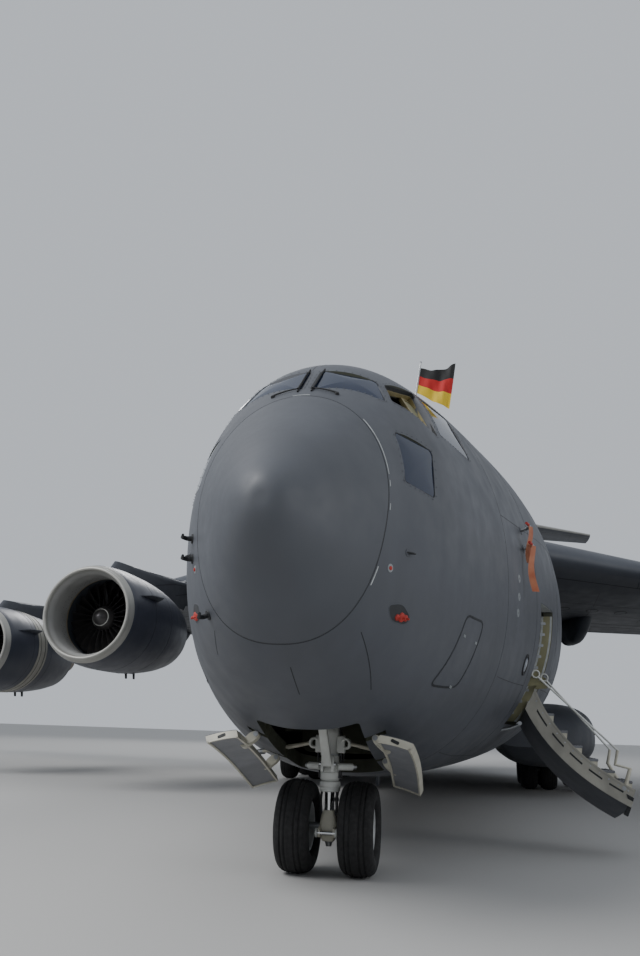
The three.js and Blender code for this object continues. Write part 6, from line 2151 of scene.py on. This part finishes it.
@dataclass(frozen=True)
class Engine:
    """One engine: where its lip's centre is, and its profiles as distance aft of the lip and radius."""

    name: str
    x: float
    lip: float
    z: float
    sides: int = 84
    blades: int = 24
    cowl: tuple = ((0.22, 1.256), (0.3, 1.279), (0.42, 1.292), (1.2, 1.344), (1.9, 1.345), (2.7, 1.32),
                   (3.9, 1.19), (4.55, 1.06))

    def centre(self, aft: float = 0.0) -> Array:
        """A point on the engine's axis."""
        return np.array([self.x, self.lip + aft, self.z])

    def build(self) -> None:
        """Makes the cowl, the fan and the pylon."""
        self.build_cowl()
        self.build_fan()
        self.build_pylon()

    def spin(self, shape: Shape, profile: Rows, finish: Finish) -> None:
        """A surface of revolution round the engine's axis."""
        shape.lathe(profile, self.centre(), AFT, finish, self.sides)

    def spoke(self, angle: float) -> tuple[Array, Array]:
        """The direction outwards at an angle from the side, and the one across it."""
        out = np.array([math.cos(angle), 0, math.sin(angle)])
        return out, np.array([-out[2], 0, out[0]])

    def turn_round(self, shape: Shape, table: Rows, finish: Finish, steps: int,
                   inward: bool = False) -> None:
        """A surface of revolution through an eased profile.

        Args:
            shape: The shape that gets it.
            table: Rows of distance aft of the lip and radius.
            finish: The finish.
            steps: Points of the eased curve.
            inward: Whether its faces look to the axis.
        """
        rows = np.asarray(table, float)
        run = np.concatenate([[0], np.cumsum(np.linalg.norm(np.diff(rows, axis=0), axis=1))])
        profile = eased(run, rows, np.linspace(0, run[-1], steps))
        if inward:
            profile = profile[::-1]
        self.spin(shape, profile, finish)

    def build_cowl(self) -> None:
        """Bright lip, painted cowl, pale liner, case behind the fan in grey darkened as painted shade, vanes,
        core and nozzle.
        """
        shape = Shape()
        angle = np.linspace(-0.5, 0.5, 16) * math.pi
        lip = np.stack([0.09 - 0.09 * np.cos(angle), 1.145 + 0.055 * np.sin(angle)], 1)
        self.spin(shape, [*lip, (0.17, 1.237)], Finish.LIP_METAL)
        self.turn_round(shape, [(0.09, 1.2), (0.17, 1.24), (0.22, 1.256)], Finish.LIP_METAL, 8)
        self.turn_round(shape, self.cowl, Finish.COWL_GREY, 40)
        self.spin(shape, [(4.55, 1.06), (4.55, 1.035)], Finish.STEEL)
        self.turn_round(shape, [(0.09, 1.09), (0.3, 1.022), (0.6, 1.016)], Finish.LINER, 10, inward=True)
        self.turn_round(shape, [(0.6, 1.016), (0.95, 1.03), (0.96, 1.028)], Finish.LINER, 10, inward=True)
        self.turn_round(shape, [(0.96, 1.028), (0.965, 1.04), (1.04, 1.042)], Finish.BRASS, 6, inward=True)
        # The duct behind the fan is in the body grey darkened as painted shade.
        self.turn_round(shape, [(1.04, 1.042), (1.5, 1.06), (3.0, 1.11), (4.55, 1.035)], Finish.UNDER_GREY,
                        24, inward=True)
        self.turn_round(shape, [(1.5, 0.0), (1.5, 0.42), (1.75, 0.57), (3.0, 0.65), (4.5, 0.73)],
                        Finish.COMPOSITE_GREY, 30)
        self.turn_round(shape, [(4.5, 0.73), (5.0, 0.66), (5.5, 0.52), (5.95, 0.4)], Finish.HOT_METAL, 20)
        self.spin(shape, [(5.95, 0.4), (5.95, 0.375), (5.6, 0.4)], Finish.HOT_METAL)
        self.turn_round(shape, [(5.6, 0.34), (5.95, 0.28), (6.35, 0.14), (6.6, 0.0)], Finish.HOT_METAL, 14)
        for a in circle(16):
            out, across = self.spoke(a)
            outline = rounded_outline([(1.8, -0.02), (2.4, -0.01), (2.4, 0.01), (1.8, 0.02)], 0.015, 3)
            flat = self.centre() + outline[:, :1] * np.array(AFT) + outline[:, 1:] * across
            rings = np.stack([flat + out * r for r in (0.5, 0.8, 1.085)])
            shape.loft(rings[:, ::-1], Finish.TITANIUM)
        self.cowl_details(shape)
        shape.build(f"engine_{self.name}_nacelle", "airframe", "engine_metal", (f"engine_{self.name}",))

    def cowl_details(self, shape: Shape) -> None:
        """The outer engines' band, joint rings, split lines, latches, liner holes as black dots of painted
        shade, fin, masts, and grille as dark bars of painted shade.

        Args:
            shape: The shape that gets it.
        """
        if abs(self.x) > 10:
            band = [(1.72, 1.34), (1.72, 1.353), (2.0, 1.353), (2.26, 1.344), (2.26, 1.33)]
            self.spin(shape, band, Finish.STAIR_GREY)
            for aft in (1.86, 2.12):
                groove = [(aft - 0.012, 1.34), (aft - 0.01, 1.356), (aft + 0.01, 1.356), (aft + 0.012, 1.33)]
                self.spin(shape, groove, Finish.SEAM_DARK)
        for aft, radius in ((1.45, 1.3455), (2.6, 1.3255), (3.3, 1.262)):
            low, high = radius - 0.003, radius + 0.001
            joint = [(aft - 0.005, low), (aft - 0.005, high), (aft + 0.005, high), (aft + 0.005, low)]
            self.spin(shape, joint, Finish.SEAM_DARK)
        aft = np.linspace(0.43, 4.5, 24)
        knots = np.array(self.cowl[2:])
        radius = eased(knots[:, 0], knots[:, 1:], aft)[:, 0]
        for a in (-90, 78, 102):
            out, across = self.spoke(math.radians(a))
            middle = self.centre() + np.stack([out[0] * radius, aft, out[2] * radius], 1)
            shape.loft(strip_rings(middle, across, out, 0.016, 0.003), Finish.SEAM_DARK)
        for place in (0.9, 1.6, 2.3, 3.1, 3.9):
            low = self.centre(place) + (0, 0, -np.interp(place, aft, radius))
            shape.flat_plate(rounded_box(0.06, 0.16, 0.02), low + (0, 0, -0.001), 0.012, Finish.FRAME_METAL)
        # Black dots stand in for the liner's holes: painted shade.
        for row_at in (0.66, 0.74, 0.82):
            for a in circle(40) + row_at * 3:
                out, _ = self.spoke(a)
                at = self.centre(row_at) + out * 1.017
                shape.tube([at, at - out * 0.0035], 0.009, Finish.SEAL_BLACK, 6)
        side = 1 if self.x > 0 else -1
        out, across = self.spoke(math.radians(156 if side > 0 else 24))
        fin = rounded_outline([(0.0, 0.0), (0.5, 0.2), (1.12, 0.27), (1.16, 0.03)], 0.03, 4)
        shape.prism(fin, self.centre(0.55) + out * 1.29, AFT, out, across * 0.022, Finish.COMPOSITE_GREY)
        for x, aft_at in ((-0.09, 2.9), (0.08, 3.05)):
            root = self.centre(aft_at) + (x, 0, -1.28)
            mast = [(0, 0.05), (0.13, 0.05), (0.17, -0.16), (0.08, -0.16)]
            shape.side_plate(rounded_outline(mast, 0.02, 3), root, 0.024, Finish.SEAL_BLACK)
        # Dark bars stand in for the grille's slots: painted shade.
        for k in range(6):
            at = self.centre(2.0 + k * 0.045) + (side * 1.345 * math.cos(0.35), 0, -1.345 * math.sin(0.35))
            shape.tube([at + (0, 0, -0.16), at + (0, 0, 0.12)], 0.012, Finish.SEAM_DARK, 6)

    def build_fan(self) -> None:
        """The fan: a pointed spinner with a pale band, and twisted wide blades that sweep at the tip."""
        shape = Shape()
        spinner = [(0.7, 0.0), (0.72, 0.055), (0.78, 0.13), (0.88, 0.22), (0.98, 0.3), (1.1, 0.33),
                   (1.48, 0.33), (1.498, 0.0)]
        shape.lathe(spinner, self.centre(), AFT, Finish.TITANIUM, 56)
        shape.lathe([(0.86, 0.212), (0.884, 0.2285)], self.centre(), AFT, Finish.GEAR_WHITE, 56)
        span = np.linspace(0, 1, 14)[:, None]
        chord = np.linspace(-1, 1, 9)[None, :]
        radius = 0.31 + 0.69 * span
        twist = 0.25 + 0.75 * span
        half = 0.19 + 0.03 * np.sin(span * math.pi)
        camber = 0.035 * (1 - chord**2)
        along = 1.2 + chord * half * np.cos(twist) + 0.05 * span**2 + camber * np.sin(twist)
        swing = chord * half * np.sin(twist) - camber * np.cos(twist)
        thick = 0.011 * (1 - chord**4) * (1 - 0.5 * span) + 0.0015
        for a in circle(self.blades):
            faces = []
            for hand in (1, -1):
                s = swing + hand * thick
                r = np.minimum(radius, np.sqrt(np.maximum(0.9985**2 - s**2, 0.01)))
                faces.append(np.stack([self.x + r * math.cos(a) - s * math.sin(a), self.lip + along + 0 * s,
                                       self.z + r * math.sin(a) + s * math.cos(a)], -1))
            ring = np.concatenate([faces[0], faces[1][:, ::-1]], 1)
            shape.loft(ring[:, ::-1], Finish.TITANIUM)
        shape.build(f"fan_{self.name}_blades", f"fan_{self.name}", "fan_metal", (f"fan_{self.name}",))

    def build_pylon(self) -> None:
        """The pylon: a rounded fin from the cowl's back to the wing, lofted through five levels."""
        side = 1 if self.x > 0 else -1
        span = abs(self.x)
        foot = WING.point(span, 0.0, 0, side)
        back = WING.point(span, 0.45, 0, side)
        rows = [(self.z + 1.08, self.lip + 0.9, self.lip + 6.75),
                (self.z + 1.25, self.lip + 0.98, self.lip + 6.9),
                (self.z + 1.62, self.lip + 1.35, (self.lip + 6.75 + back[1]) / 2),
                (foot[2] - 0.15, foot[1] - 0.5, back[1] - 0.4), (foot[2] + 0.08, foot[1] + 0.15, back[1])]
        table = tuple((z, lead, trail - lead, span, 0, 0.4) for z, lead, trail in rows)
        fin = LiftingSurface(table, upright=True, symmetric=True, thickness_is_length=True)
        shape = Shape()
        fin.panel(shape, rows[0][0], rows[-1][0], 0.0, 1.0, Finish.BODY_GREY, side, step=0.12)
        for row in BOTH_FACES:
            for share in (0.12, 0.42, 0.7):
                fin.joint(shape, [(self.z + 1.4, share), (foot[2] - 0.1, share)], row, side, 0.014)
        shape.build(f"pylon_{self.name}_fairing", "airframe", "composite_grey", (f"pylon_{self.name}",))


ENGINES = tuple(Engine(f"{hand}_{place}", side * x, lip, z) for place, x, lip, z in (
    ("inner", 8.04, 12.19, 4.27), ("outer", 13.9, 16.1, 3.84)) for side, hand in SIDES)


def fuselage_solid(first: float, last: float, inset: float = 0.02) -> Shape:
    """The space inside the skin between two stations, for cutting."""
    angle = circle(96)
    station = np.linspace(first, last, 40)[:, None]
    return Shape().loft(FORM.at(station, angle[None, ::-1], -inset), Finish.UNDER_GREY)


@dataclass(frozen=True)
class BodyFairings:
    """The fairing over the wing's middle and the pods that hold the main gear."""

    top_rows: tuple = (
        (13.45, 0.6, 7.5, 7.0), (14.75, 2.25, 7.8, 6.3), (16.25, 3.15, 7.96, 5.5), (18.25, 3.52, 8.04, 5.05),
        (23.25, 3.56, 8.04, 4.8), (27.25, 3.52, 7.95, 4.65), (29.55, 3.0, 7.78, 5.2), (31.75, 1.8, 7.6, 6.3),
        (33.55, 0.5, 7.48, 6.9),
    )
    pod_rows: tuple = ((17.57, 3.75, 1.95, 1.35), (18.37, 4.5, 2.35, 0.96), (19.87, 5.15, 2.62, 0.79),
                       (21.07, 5.3, 2.68, 0.75), (27.67, 5.3, 2.68, 0.75), (30.47, 4.65, 2.48, 0.95),
                       (32.77, 3.6, 2.05, 1.35))
    pod_inner: float = 2.2
    bay_stations: tuple[float, float] = (22.37, 24.97)
    bay_middle: float = 4.075
    bay_width: float = 2.25
    bay_length: float = 1.44
    bay_roof: float = 1.8
    bay_slack: tuple[float, float, float] = (0.003, 0.005, 0.005)

    def build(self) -> None:
        """Makes the fairing, both pods and their joints."""
        self.build_top()
        for side, hand in SIDES:
            self.build_pod(side, hand)

    def section(self, row: Array, centre: Array, exponent: float, count: int) -> Array:
        """Superellipse rings through rows of station, half width, top and bottom, round a centre line.

        Args:
            row: The rows.
            centre: Where the middle of each ring is across.
            exponent: The superellipse's exponent.
            count: Points in each ring.

        Returns:
            One ring for each row.
        """
        angle = -circle(count)
        across, up = superellipse(angle, exponent)
        x = centre[:, None] + across * row[:, 1:2]
        z = (row[:, 2:3] + row[:, 3:4]) / 2 + up * (row[:, 2:3] - row[:, 3:4]) / 2
        return np.stack([x, np.broadcast_to(row[:, :1], x.shape), z], -1)

    def eased_rows(self, rows: tuple, count: int) -> Array:
        """A table at closer stations, on the eased curve through its rows."""
        table = np.array(rows)
        at = np.linspace(table[0, 0], table[-1, 0], count)
        return np.column_stack([at, eased(table[:, 0], table[:, 1:], at)])

    def build_top(self) -> None:
        """The wing's fairing, cut to the skin."""
        rows = self.eased_rows(self.top_rows, 90)
        shape = Shape().loft(self.section(rows, 0 * rows[:, 0], 3.0, 96), Finish.BODY_GREY)
        piece = shape.build("wing_fairing_shell", "airframe", "composite_grey", ("wing_fairing",))
        carve(piece, [fuselage_solid(12.0, 35.0)])

    def build_pod(self, side: int, hand: str) -> None:
        """A pod, cut to the skin and opened below for its wheels, with its joints and the bays' ribs.

        Args:
            side: Which side of the aircraft, 1 for port.
            hand: The side's word in the pieces' names.
        """
        rows = self.eased_rows(self.pod_rows, 80)
        centre = (rows[:, 1] + self.pod_inner) / 2
        half = (rows[:, 1] - self.pod_inner) / 2
        rings = self.section(np.column_stack([rows[:, 0], half, rows[:, 2:]]), centre, 2.6, 84)
        shape = Shape().loft(rings, Finish.BODY_GREY)
        if side < 0:
            shape.mirror()
        piece = shape.build(f"gear_pod_{hand}_shell", "airframe", "composite_grey", (f"gear_pod_{hand}",))
        tools = [fuselage_solid(16.5, 34.0)]
        for station in self.bay_stations:
            outline = rounded_box(self.bay_width, self.bay_length, 0.08) + (side * self.bay_middle, station)
            tools.append(Shape().flat_plate(outline, (0, 0, self.bay_roof - 0.95), 1.9, Finish.SEAM_DARK))
        carve(piece, tools)
        centres = face_values(piece, "center") / SCALE + (0, MIDDLE, 0)
        within = np.zeros(len(centres), bool)
        for station in self.bay_stations:
            across = np.abs(centres[:, 0] * side - self.bay_middle) < self.bay_width / 2 + self.bay_slack[0]
            along = np.abs(centres[:, 1] - station) < self.bay_length / 2 + self.bay_slack[1]
            below = centres[:, 2] < self.bay_roof + self.bay_slack[2]
            within |= across & along & below & (centres[:, 2] > 0.8)
        # The faces inside the bays take the primer darkened as painted shade.
        prime_faces(piece, within)
        lines = Shape()
        for row in (8, 30, 52, 68):
            ring = rings[row, 8:44] * (side, 1, 1)
            middle = np.array([side * centre[row], ring[0, 1], ring[:, 2].mean()])
            out = unit((ring - middle) * (1, 0, 1))
            lines.loft(strip_rings(ring, AFT, out, 0.014, 0.003), Finish.SEAM_DARK)
        for station in self.bay_stations:
            for edge in (-0.735, 0.735):
                lines.box((side * 4.0 - 0.9, station + edge - 0.012, 0.755),
                          (side * 4.0 + 0.9, station + edge + 0.012, 0.775), Finish.SEAL_BLACK)
            for x in np.linspace(3.2, 5.0, 5):
                lines.box((side * x - 0.02, station - 0.7, 1.74), (side * x + 0.02, station + 0.7, 1.79),
                          Finish.PRIMER)
        lines.build(f"gear_pod_{hand}_joints", "airframe", "composite_grey")


@dataclass(frozen=True)
class MainGear:
    """Four legs with a row of three wheels each."""

    stations: tuple = (("front", 22.37), ("rear", 24.97))
    wheels: tuple[float, ...] = (3.3, 3.92, 4.87)
    leg_x: float = 4.395
    radius: float = 0.635
    width: float = 0.53
    rim: float = 0.3

    def build(self) -> None:
        """Makes every leg, shaft and wheel."""
        for side, hand in SIDES:
            for place, station in self.stations:
                self.build_leg(side, hand, place, station)
                self.build_wheels(side, hand, place, station)

    def build_leg(self, side: int, hand: str, place: str, station: float) -> None:
        """The leg: cylinder with rings, bright piston, axle housing, torque links, hoses and a drag brace.

        Args:
            side: Which side of the aircraft, 1 for port.
            hand: The side's word in the pieces' names.
            place: Which leg of that side.
            station: Where it stands.
        """
        shape = Shape()
        foot = np.array([side * self.leg_x, station, 0.0])
        housing = [(1.0, 0.0), (1.0, 0.11), (1.02, 0.122), (1.1, 0.122), (1.12, 0.112), (1.5, 0.112),
                   (1.52, 0.123), (1.6, 0.123), (1.62, 0.11), (1.797, 0.11), (1.797, 0.0)]
        shape.lathe(housing, foot, UP, Finish.GEAR_WHITE, 32)
        shape.lathe([(0.62, 0.0), (0.62, 0.078), (1.0, 0.078), (1.0, 0.0)], foot, UP, Finish.CHROME, 28)
        hub = [(-0.118, 0.074), (-0.118, 0.14), (-0.09, 0.148), (0.09, 0.148), (0.118, 0.14), (0.118, 0.074)]
        shape.lathe(hub, foot + (0, 0, self.radius), ACROSS, Finish.GEAR_WHITE, 32, closed=True)
        knee = foot + (0, 0.36, 0.86)
        for start, end in ((foot + (0, 0.13, 1.05), knee), (foot + (0, 0.13, 0.68), knee)):
            shape.tube(line(start, end, 6), 0.03 - 0.008 * np.linspace(0, 1, 6), Finish.GEAR_WHITE, 12)
        shape.tube([knee - (0.05, 0, 0), knee + (0.05, 0, 0)], 0.026, Finish.STEEL, 14)
        shape.tube(line(foot + (0, -0.1, 1.2), foot + (0, -0.6, 1.74), 6), 0.034, Finish.GEAR_WHITE, 14)
        share = np.linspace(0, 1, 16)
        for x, r in ((0.1, 0.012), (-0.1, 0.012), (0.06, 0.009)):
            path = foot + np.stack([x + 0.015 * np.sin(share * 9), 0.09 + 0.02 * np.sin(share * 6),
                                    1.75 - 1.02 * share], 1)
            shape.tube(path, r, Finish.HOSE, 8)
        shape.build(f"main_leg_{place}_{hand}_strut", "airframe", "gear_white", (f"main_leg_{place}_{hand}",))

    def build_wheels(self, side: int, hand: str, place: str, station: float) -> None:
        """The shaft, and three grooved tyres with a rim on either face, all turning together.

        Args:
            side: Which side of the aircraft, 1 for port.
            hand: The side's word in the pieces' names.
            place: Which leg of that side.
            station: Where it stands.
        """
        shape = Shape()
        axle = np.array([0, station, self.radius])
        shape.tube([axle + (side * (self.wheels[0] - 0.055), 0, 0),
                    axle + (side * (self.wheels[2] + 0.055), 0, 0)], 0.068, Finish.STEEL, 24)
        grooves = (-0.15, -0.075, 0.0, 0.075, 0.15)
        profile = WHEELS.tyre_profile(self.radius, self.width, self.rim, grooves, 72)
        for x in self.wheels:
            centre = axle + (side * x, 0, 0)
            shape.lathe(profile, centre, ACROSS, Finish.RUBBER, 72, closed=True)
            for face in (1, -1):
                WHEELS.rim(shape, centre, face, self.rim, self.width * 0.36)
        body = f"main_wheels_{place}_{hand}"
        shape.build(f"{body}_set", body, "tyre_rubber", (body,))


@dataclass(frozen=True)
class Inside:
    """What fills the flight deck and the hold."""

    pitch: float = 1.22

    def build(self) -> None:
        """Finishes the floors, ramp, rear door and shells, and adds the seats' and the hold's details."""
        kept_node("aft_fuselage", Finish.BODY_GREY, "airframe")
        kept_node("cargo_ramp", Finish.BODY_GREY, "cargo_ramp")
        kept_node("cargo_door", Finish.BODY_GREY, "cargo_door")
        kept_node("cargo_floor", Finish.FLOOR_METAL, "airframe", smooth=0.1)
        kept_node("flight_deck", Finish.CABIN_DARK, "airframe", smooth=0.1)
        self.deck()
        self.hold()

    def deck(self) -> None:
        """Seat cushions and headrests, the panel's screens under a glareshield, and levers."""
        shape = Shape()
        for x in (-0.56, 0.56):
            for low, high, finish in (
                ((x - 0.24, 2.92, 4.5), (x + 0.24, 3.38, 4.6), Finish.SEAT_CLOTH),
                ((x - 0.13, 3.42, 5.24), (x + 0.13, 3.5, 5.5), Finish.SEAT_CLOTH),
                ((x - 0.29, 2.98, 4.72), (x - 0.24, 3.3, 4.78), Finish.SEAL_BLACK),
                ((x + 0.24, 2.98, 4.72), (x + 0.29, 3.3, 4.78), Finish.SEAL_BLACK),
            ):
                shape.box(low, high, finish)
            back = [(3.3, 4.6), (3.42, 4.6), (3.54, 5.2), (3.44, 5.2)]
            shape.side_plate(rounded_outline(back, 0.04, 4), (x, 0, 0), 0.46, Finish.SEAT_CLOTH)
            screen = rounded_box(0.46, 0.3, 0.03)
            shape.cross_plate(screen, (x * 0.62, 2.352, 4.6), 0.012, Finish.SEAL_BLACK)
        shade = [(1.92, 4.86), (2.2, 4.9), (2.45, 4.87), (2.45, 4.83), (1.92, 4.82)]
        shape.side_plate(shade, (0, 0, 0), 1.34, Finish.CABIN_DARK)
        for x in (-0.1, -0.03, 0.04, 0.11):
            shape.tube([(x, 2.8, 4.42), (x, 2.74, 4.6)], 0.012, Finish.STEEL, 8)
            shape.box((x - 0.025, 2.72, 4.59), (x + 0.025, 2.76, 4.63), Finish.SEAL_BLACK)
        shape.build("flight_deck_fittings", "airframe", "deck_grey")

    def hold(self) -> None:
        """Roller tracks, tie-down rings and the frames along the hold's walls."""
        shape = Shape()
        for x in (-1.3, -0.45, 0.45, 1.3):
            shape.box((x - 0.09, 8.0, 1.63), (x + 0.09, 33.2, 1.665), Finish.FRAME_METAL)
        for x in (-1.85, -0.9, 0.0, 0.9, 1.85):
            for y in np.arange(8.6, 33, self.pitch):
                shape.lathe([(0.0, 0.055), (0.008, 0.05), (0.008, 0.03), (0.0, 0.028)], (x, y, 1.632), UP,
                            Finish.STEEL, 12)
        angle = np.radians(np.linspace(-128, 128, 50))
        for station in np.arange(9.0, 33, self.pitch):
            rings = [FORM.at(station, angle, offset) + (0, aft, 0) for offset, aft in (
                (-0.155, -0.03), (-0.25, -0.03), (-0.25, 0.03), (-0.155, 0.03))]
            shape.loft(np.stack(rings, 1), Finish.PRIMER)
        shape.build("hold_frames_and_tracks", "airframe", "floor_grey")


@dataclass(frozen=True)
class Flag:
    """The cloth on its staff over the flight deck: three equal bands, hung in soft folds."""

    foot: tuple[float, float, float] = (0.975, 4.2, 6.05)
    top: tuple[float, float, float] = (1.075, 4.2, 6.72)
    length: float = 0.46

    def staff(self, z: Array) -> Array:
        """Points of the staff's centre line at heights."""
        foot, top = np.array(self.foot), np.array(self.top)
        return foot + (top - foot) * ((np.asarray(z) - foot[2]) / (top[2] - foot[2]))[..., None]

    def build(self) -> None:
        """Makes the staff with its cap and foot clamp, and the cloth."""
        shape = Shape()
        foot, top = np.array(self.foot), np.array(self.top)
        shape.tube(line(foot - (0.006, 0, 0.04), top, 10), 0.0125, Finish.STEEL, 16)
        shape.lathe([(-0.004, 0.014), (0.006, 0.0165), (0.014, 0.012), (0.018, 0.0)], top, top - foot,
                    Finish.STEEL, 20)
        shape.lathe([(-0.02, 0.05), (0.02, 0.046), (0.03, 0.03), (0.06, 0.02)], foot, top - foot,
                    Finish.SEAL_BLACK, 24)
        shape.build("flag_staff_fitted", "airframe", "staff_metal", ("flag_staff",))
        u, v = np.linspace(0, 1, 61)[None, :], np.linspace(0, 1, 49)[:, None]
        fold = 0.022 * np.sin(u * 12 + v * 3) * u**0.6 + 0.008 * np.sin(u * 27 - v * 5) * u
        head = self.staff(6.235 + 0.395 * (1 - v[:, 0]))[:, None]
        out = 0.014 + u * (0.5 - 0.045 * v)
        rise = (0.03 * u**3 - 0.05 * np.sin(u * 3.3) + 0.007 * np.sin(u * 15 + v * 4)) * (1 - v) - v * u * (
            0.27 - 0.012 * np.sin(u * 9))
        points = head + np.stack([out + 0 * v, fold, rise], -1)
        shape = Shape().grid(points, Finish.WARNING_RED, ring=False)
        piece = shape.build("flag_cloth_hung", "airframe", "flag_cloth", ("flag",), smooth=math.pi)
        piece.data.materials.clear()
        piece.data.materials.append(self.cloth_material())
        layer = piece.data.uv_layers.new(name="cloth")
        corner = np.zeros(len(piece.data.loops), np.int32)
        piece.data.loops.foreach_get("vertex_index", corner)
        place = np.stack(np.broadcast_arrays(u, 1 - v), -1).reshape(-1, 2)
        layer.data.foreach_set("uv", place[corner].astype(np.float32).ravel())
        area = surface_area(piece)

    def cloth_material(self) -> bpy.types.Material:
        """Black, red and gold bands along the cloth, one above the other, with a weave."""
        material, nodes, links, shader = new_material("three_band_cloth")
        place = nodes.new("ShaderNodeUVMap")
        place.uv_map = "cloth"
        parts = nodes.new("ShaderNodeSeparateXYZ")
        links.new(place.outputs["UV"], parts.inputs["Vector"])
        bands = nodes.new("ShaderNodeValToRGB")
        bands.color_ramp.interpolation = "CONSTANT"
        stops = bands.color_ramp.elements
        stops.new(1 / 3)
        gold, red, black = (0.72, 0.5, 0.025, 1), (0.5, 0.012, 0.01, 1), (0.01, 0.01, 0.01, 1)
        for stop, at, colour in zip(stops, (0.0, 1 / 3, 2 / 3), (gold, red, black)):
            stop.position, stop.color = at, colour
        links.new(parts.outputs["Y"], bands.inputs["Fac"])
        links.new(bands.outputs["Color"], shader.inputs["Base Color"])
        shader.inputs["Roughness"].default_value = 0.8
        shader.inputs["Sheen Weight"].default_value = 0.25
        weave = nodes.new("ShaderNodeTexWave")
        weave.inputs["Scale"].default_value = 120
        bump = nodes.new("ShaderNodeBump")
        bump.inputs["Strength"].default_value = 0.2
        bump.inputs["Distance"].default_value = 0.0003
        links.new(place.outputs["UV"], weave.inputs["Vector"])
        links.new(weave.outputs["Fac"], bump.inputs["Height"])
        links.new(bump.outputs["Normal"], shader.inputs["Normal"])
        return material


@dataclass(frozen=True)
class Stage:
    """Floor, lights and the camera: where it stands in full-size metres, its turn and its focal length."""

    eye: tuple[float, float, float] = (1.7663, -6.0326, 1.5421)
    yaw: float = -0.2056
    pitch: float = 0.3187
    roll: float = 0.0342
    focal: float = 772
    picture: tuple[int, int] = (640, 956)

    def build(self) -> None:
        """Makes everything round the aircraft."""
        self.build_floor()
        self.build_lights()
        self.build_camera()

    def build_floor(self) -> None:
        """A wide pale floor under the wheels."""
        mesh = bpy.data.meshes.new("stage_floor")
        reach = 400
        mesh.from_pydata([(-reach, -reach, 0), (reach, -reach, 0), (reach, reach, 0), (-reach, reach, 0)], [],
                         [(0, 1, 2, 3)])
        material, _, _, shader = new_material("stage_pale")
        shader.inputs["Base Color"].default_value = (0.42, 0.415, 0.405, 1)
        shader.inputs["Roughness"].default_value = 0.85
        mesh.materials.append(material)
        floor = bpy.data.objects.new("stage_floor", mesh)
        bpy.context.scene.collection.objects.link(floor)

    def build_lights(self) -> None:
        """A bright even sky and three wide soft lamps."""
        world = bpy.context.scene.world or bpy.data.worlds.new("studio")
        bpy.context.scene.world = world
        world.use_nodes = True
        ground = world.node_tree.nodes["Background"]
        ground.inputs["Color"].default_value = (0.82, 0.87, 0.94, 1)
        ground.inputs["Strength"].default_value = 0.7
        for name, place, aim, size, power in (
            ("key_lamp", (-13, -19, 17), (0, -10, 1.5), 15, 4200),
            ("fill_lamp", (17, -15, 7), (0, -8, 1.5), 10, 500),
            ("back_lamp", (-12, 25, 22), (0, 4, 2), 12, 2600),
        ):
            lamp = bpy.data.lights.new(name, "AREA")
            lamp.shape, lamp.size, lamp.energy = "DISK", size, power
            source = bpy.data.objects.new(name, lamp)
            back = np.array(place, float) - aim
            z = unit(back)
            x = unit(np.cross(UP, z))
            y = np.cross(z, x)
            source.matrix_world = standing(x, y, z, place)
            bpy.context.scene.collection.objects.link(source)

    def build_camera(self) -> None:
        """The camera: forward from yaw and pitch, then rolled about it."""
        level = np.array([math.sin(self.yaw), math.cos(self.yaw), 0.0])
        forward = level * math.cos(self.pitch) + np.array(UP) * math.sin(self.pitch)
        right = np.array([math.cos(self.yaw), -math.sin(self.yaw), 0.0])
        up = np.cross(right, forward)
        c, s = math.cos(self.roll), math.sin(self.roll)
        right, up = c * right + s * up, -s * right + c * up
        data = bpy.data.cameras.new("photo_camera")
        data.sensor_fit, data.sensor_width = "AUTO", 36
        data.lens = 36 * self.focal / max(self.picture)
        data.clip_start, data.clip_end = 0.02, 500
        camera = bpy.data.objects.new("photo_camera", data)
        camera.matrix_world = standing(right, up, -forward, to_frame(np.array(self.eye)))
        bpy.context.scene.collection.objects.link(camera)
        bpy.context.scene.camera = camera


def main() -> None:
    """Builds every group of pieces in turn, then the stage, and reports each piece with its triangles."""
    logging.basicConfig(level=logging.INFO, format="%(message)s")
    skin = Skin()
    steps: list[Callable[[], object]] = [skin.build_radome, skin.build_forward, skin.build_middle,
                                         skin.build_seams, DeckWindows().build, SkinFittings().build,
                                         NoseDoors().build, NoseGear().build, CrewDoor().build,
                                         Wings().build, Tail().build, *(engine.build for engine in ENGINES),
                                         BodyFairings().build, MainGear().build, Inside().build,
                                         Flag().build, Stage().build]
    for step in steps:
        start = len(PIECES)
        step()
        for piece in PIECES[start:]:
            count = sum(len(face.vertices) - 2 for face in piece.data.polygons)
            LOG.info("%-34s %7d triangles", piece.name, count)


if __name__ == "__main__":
    main()
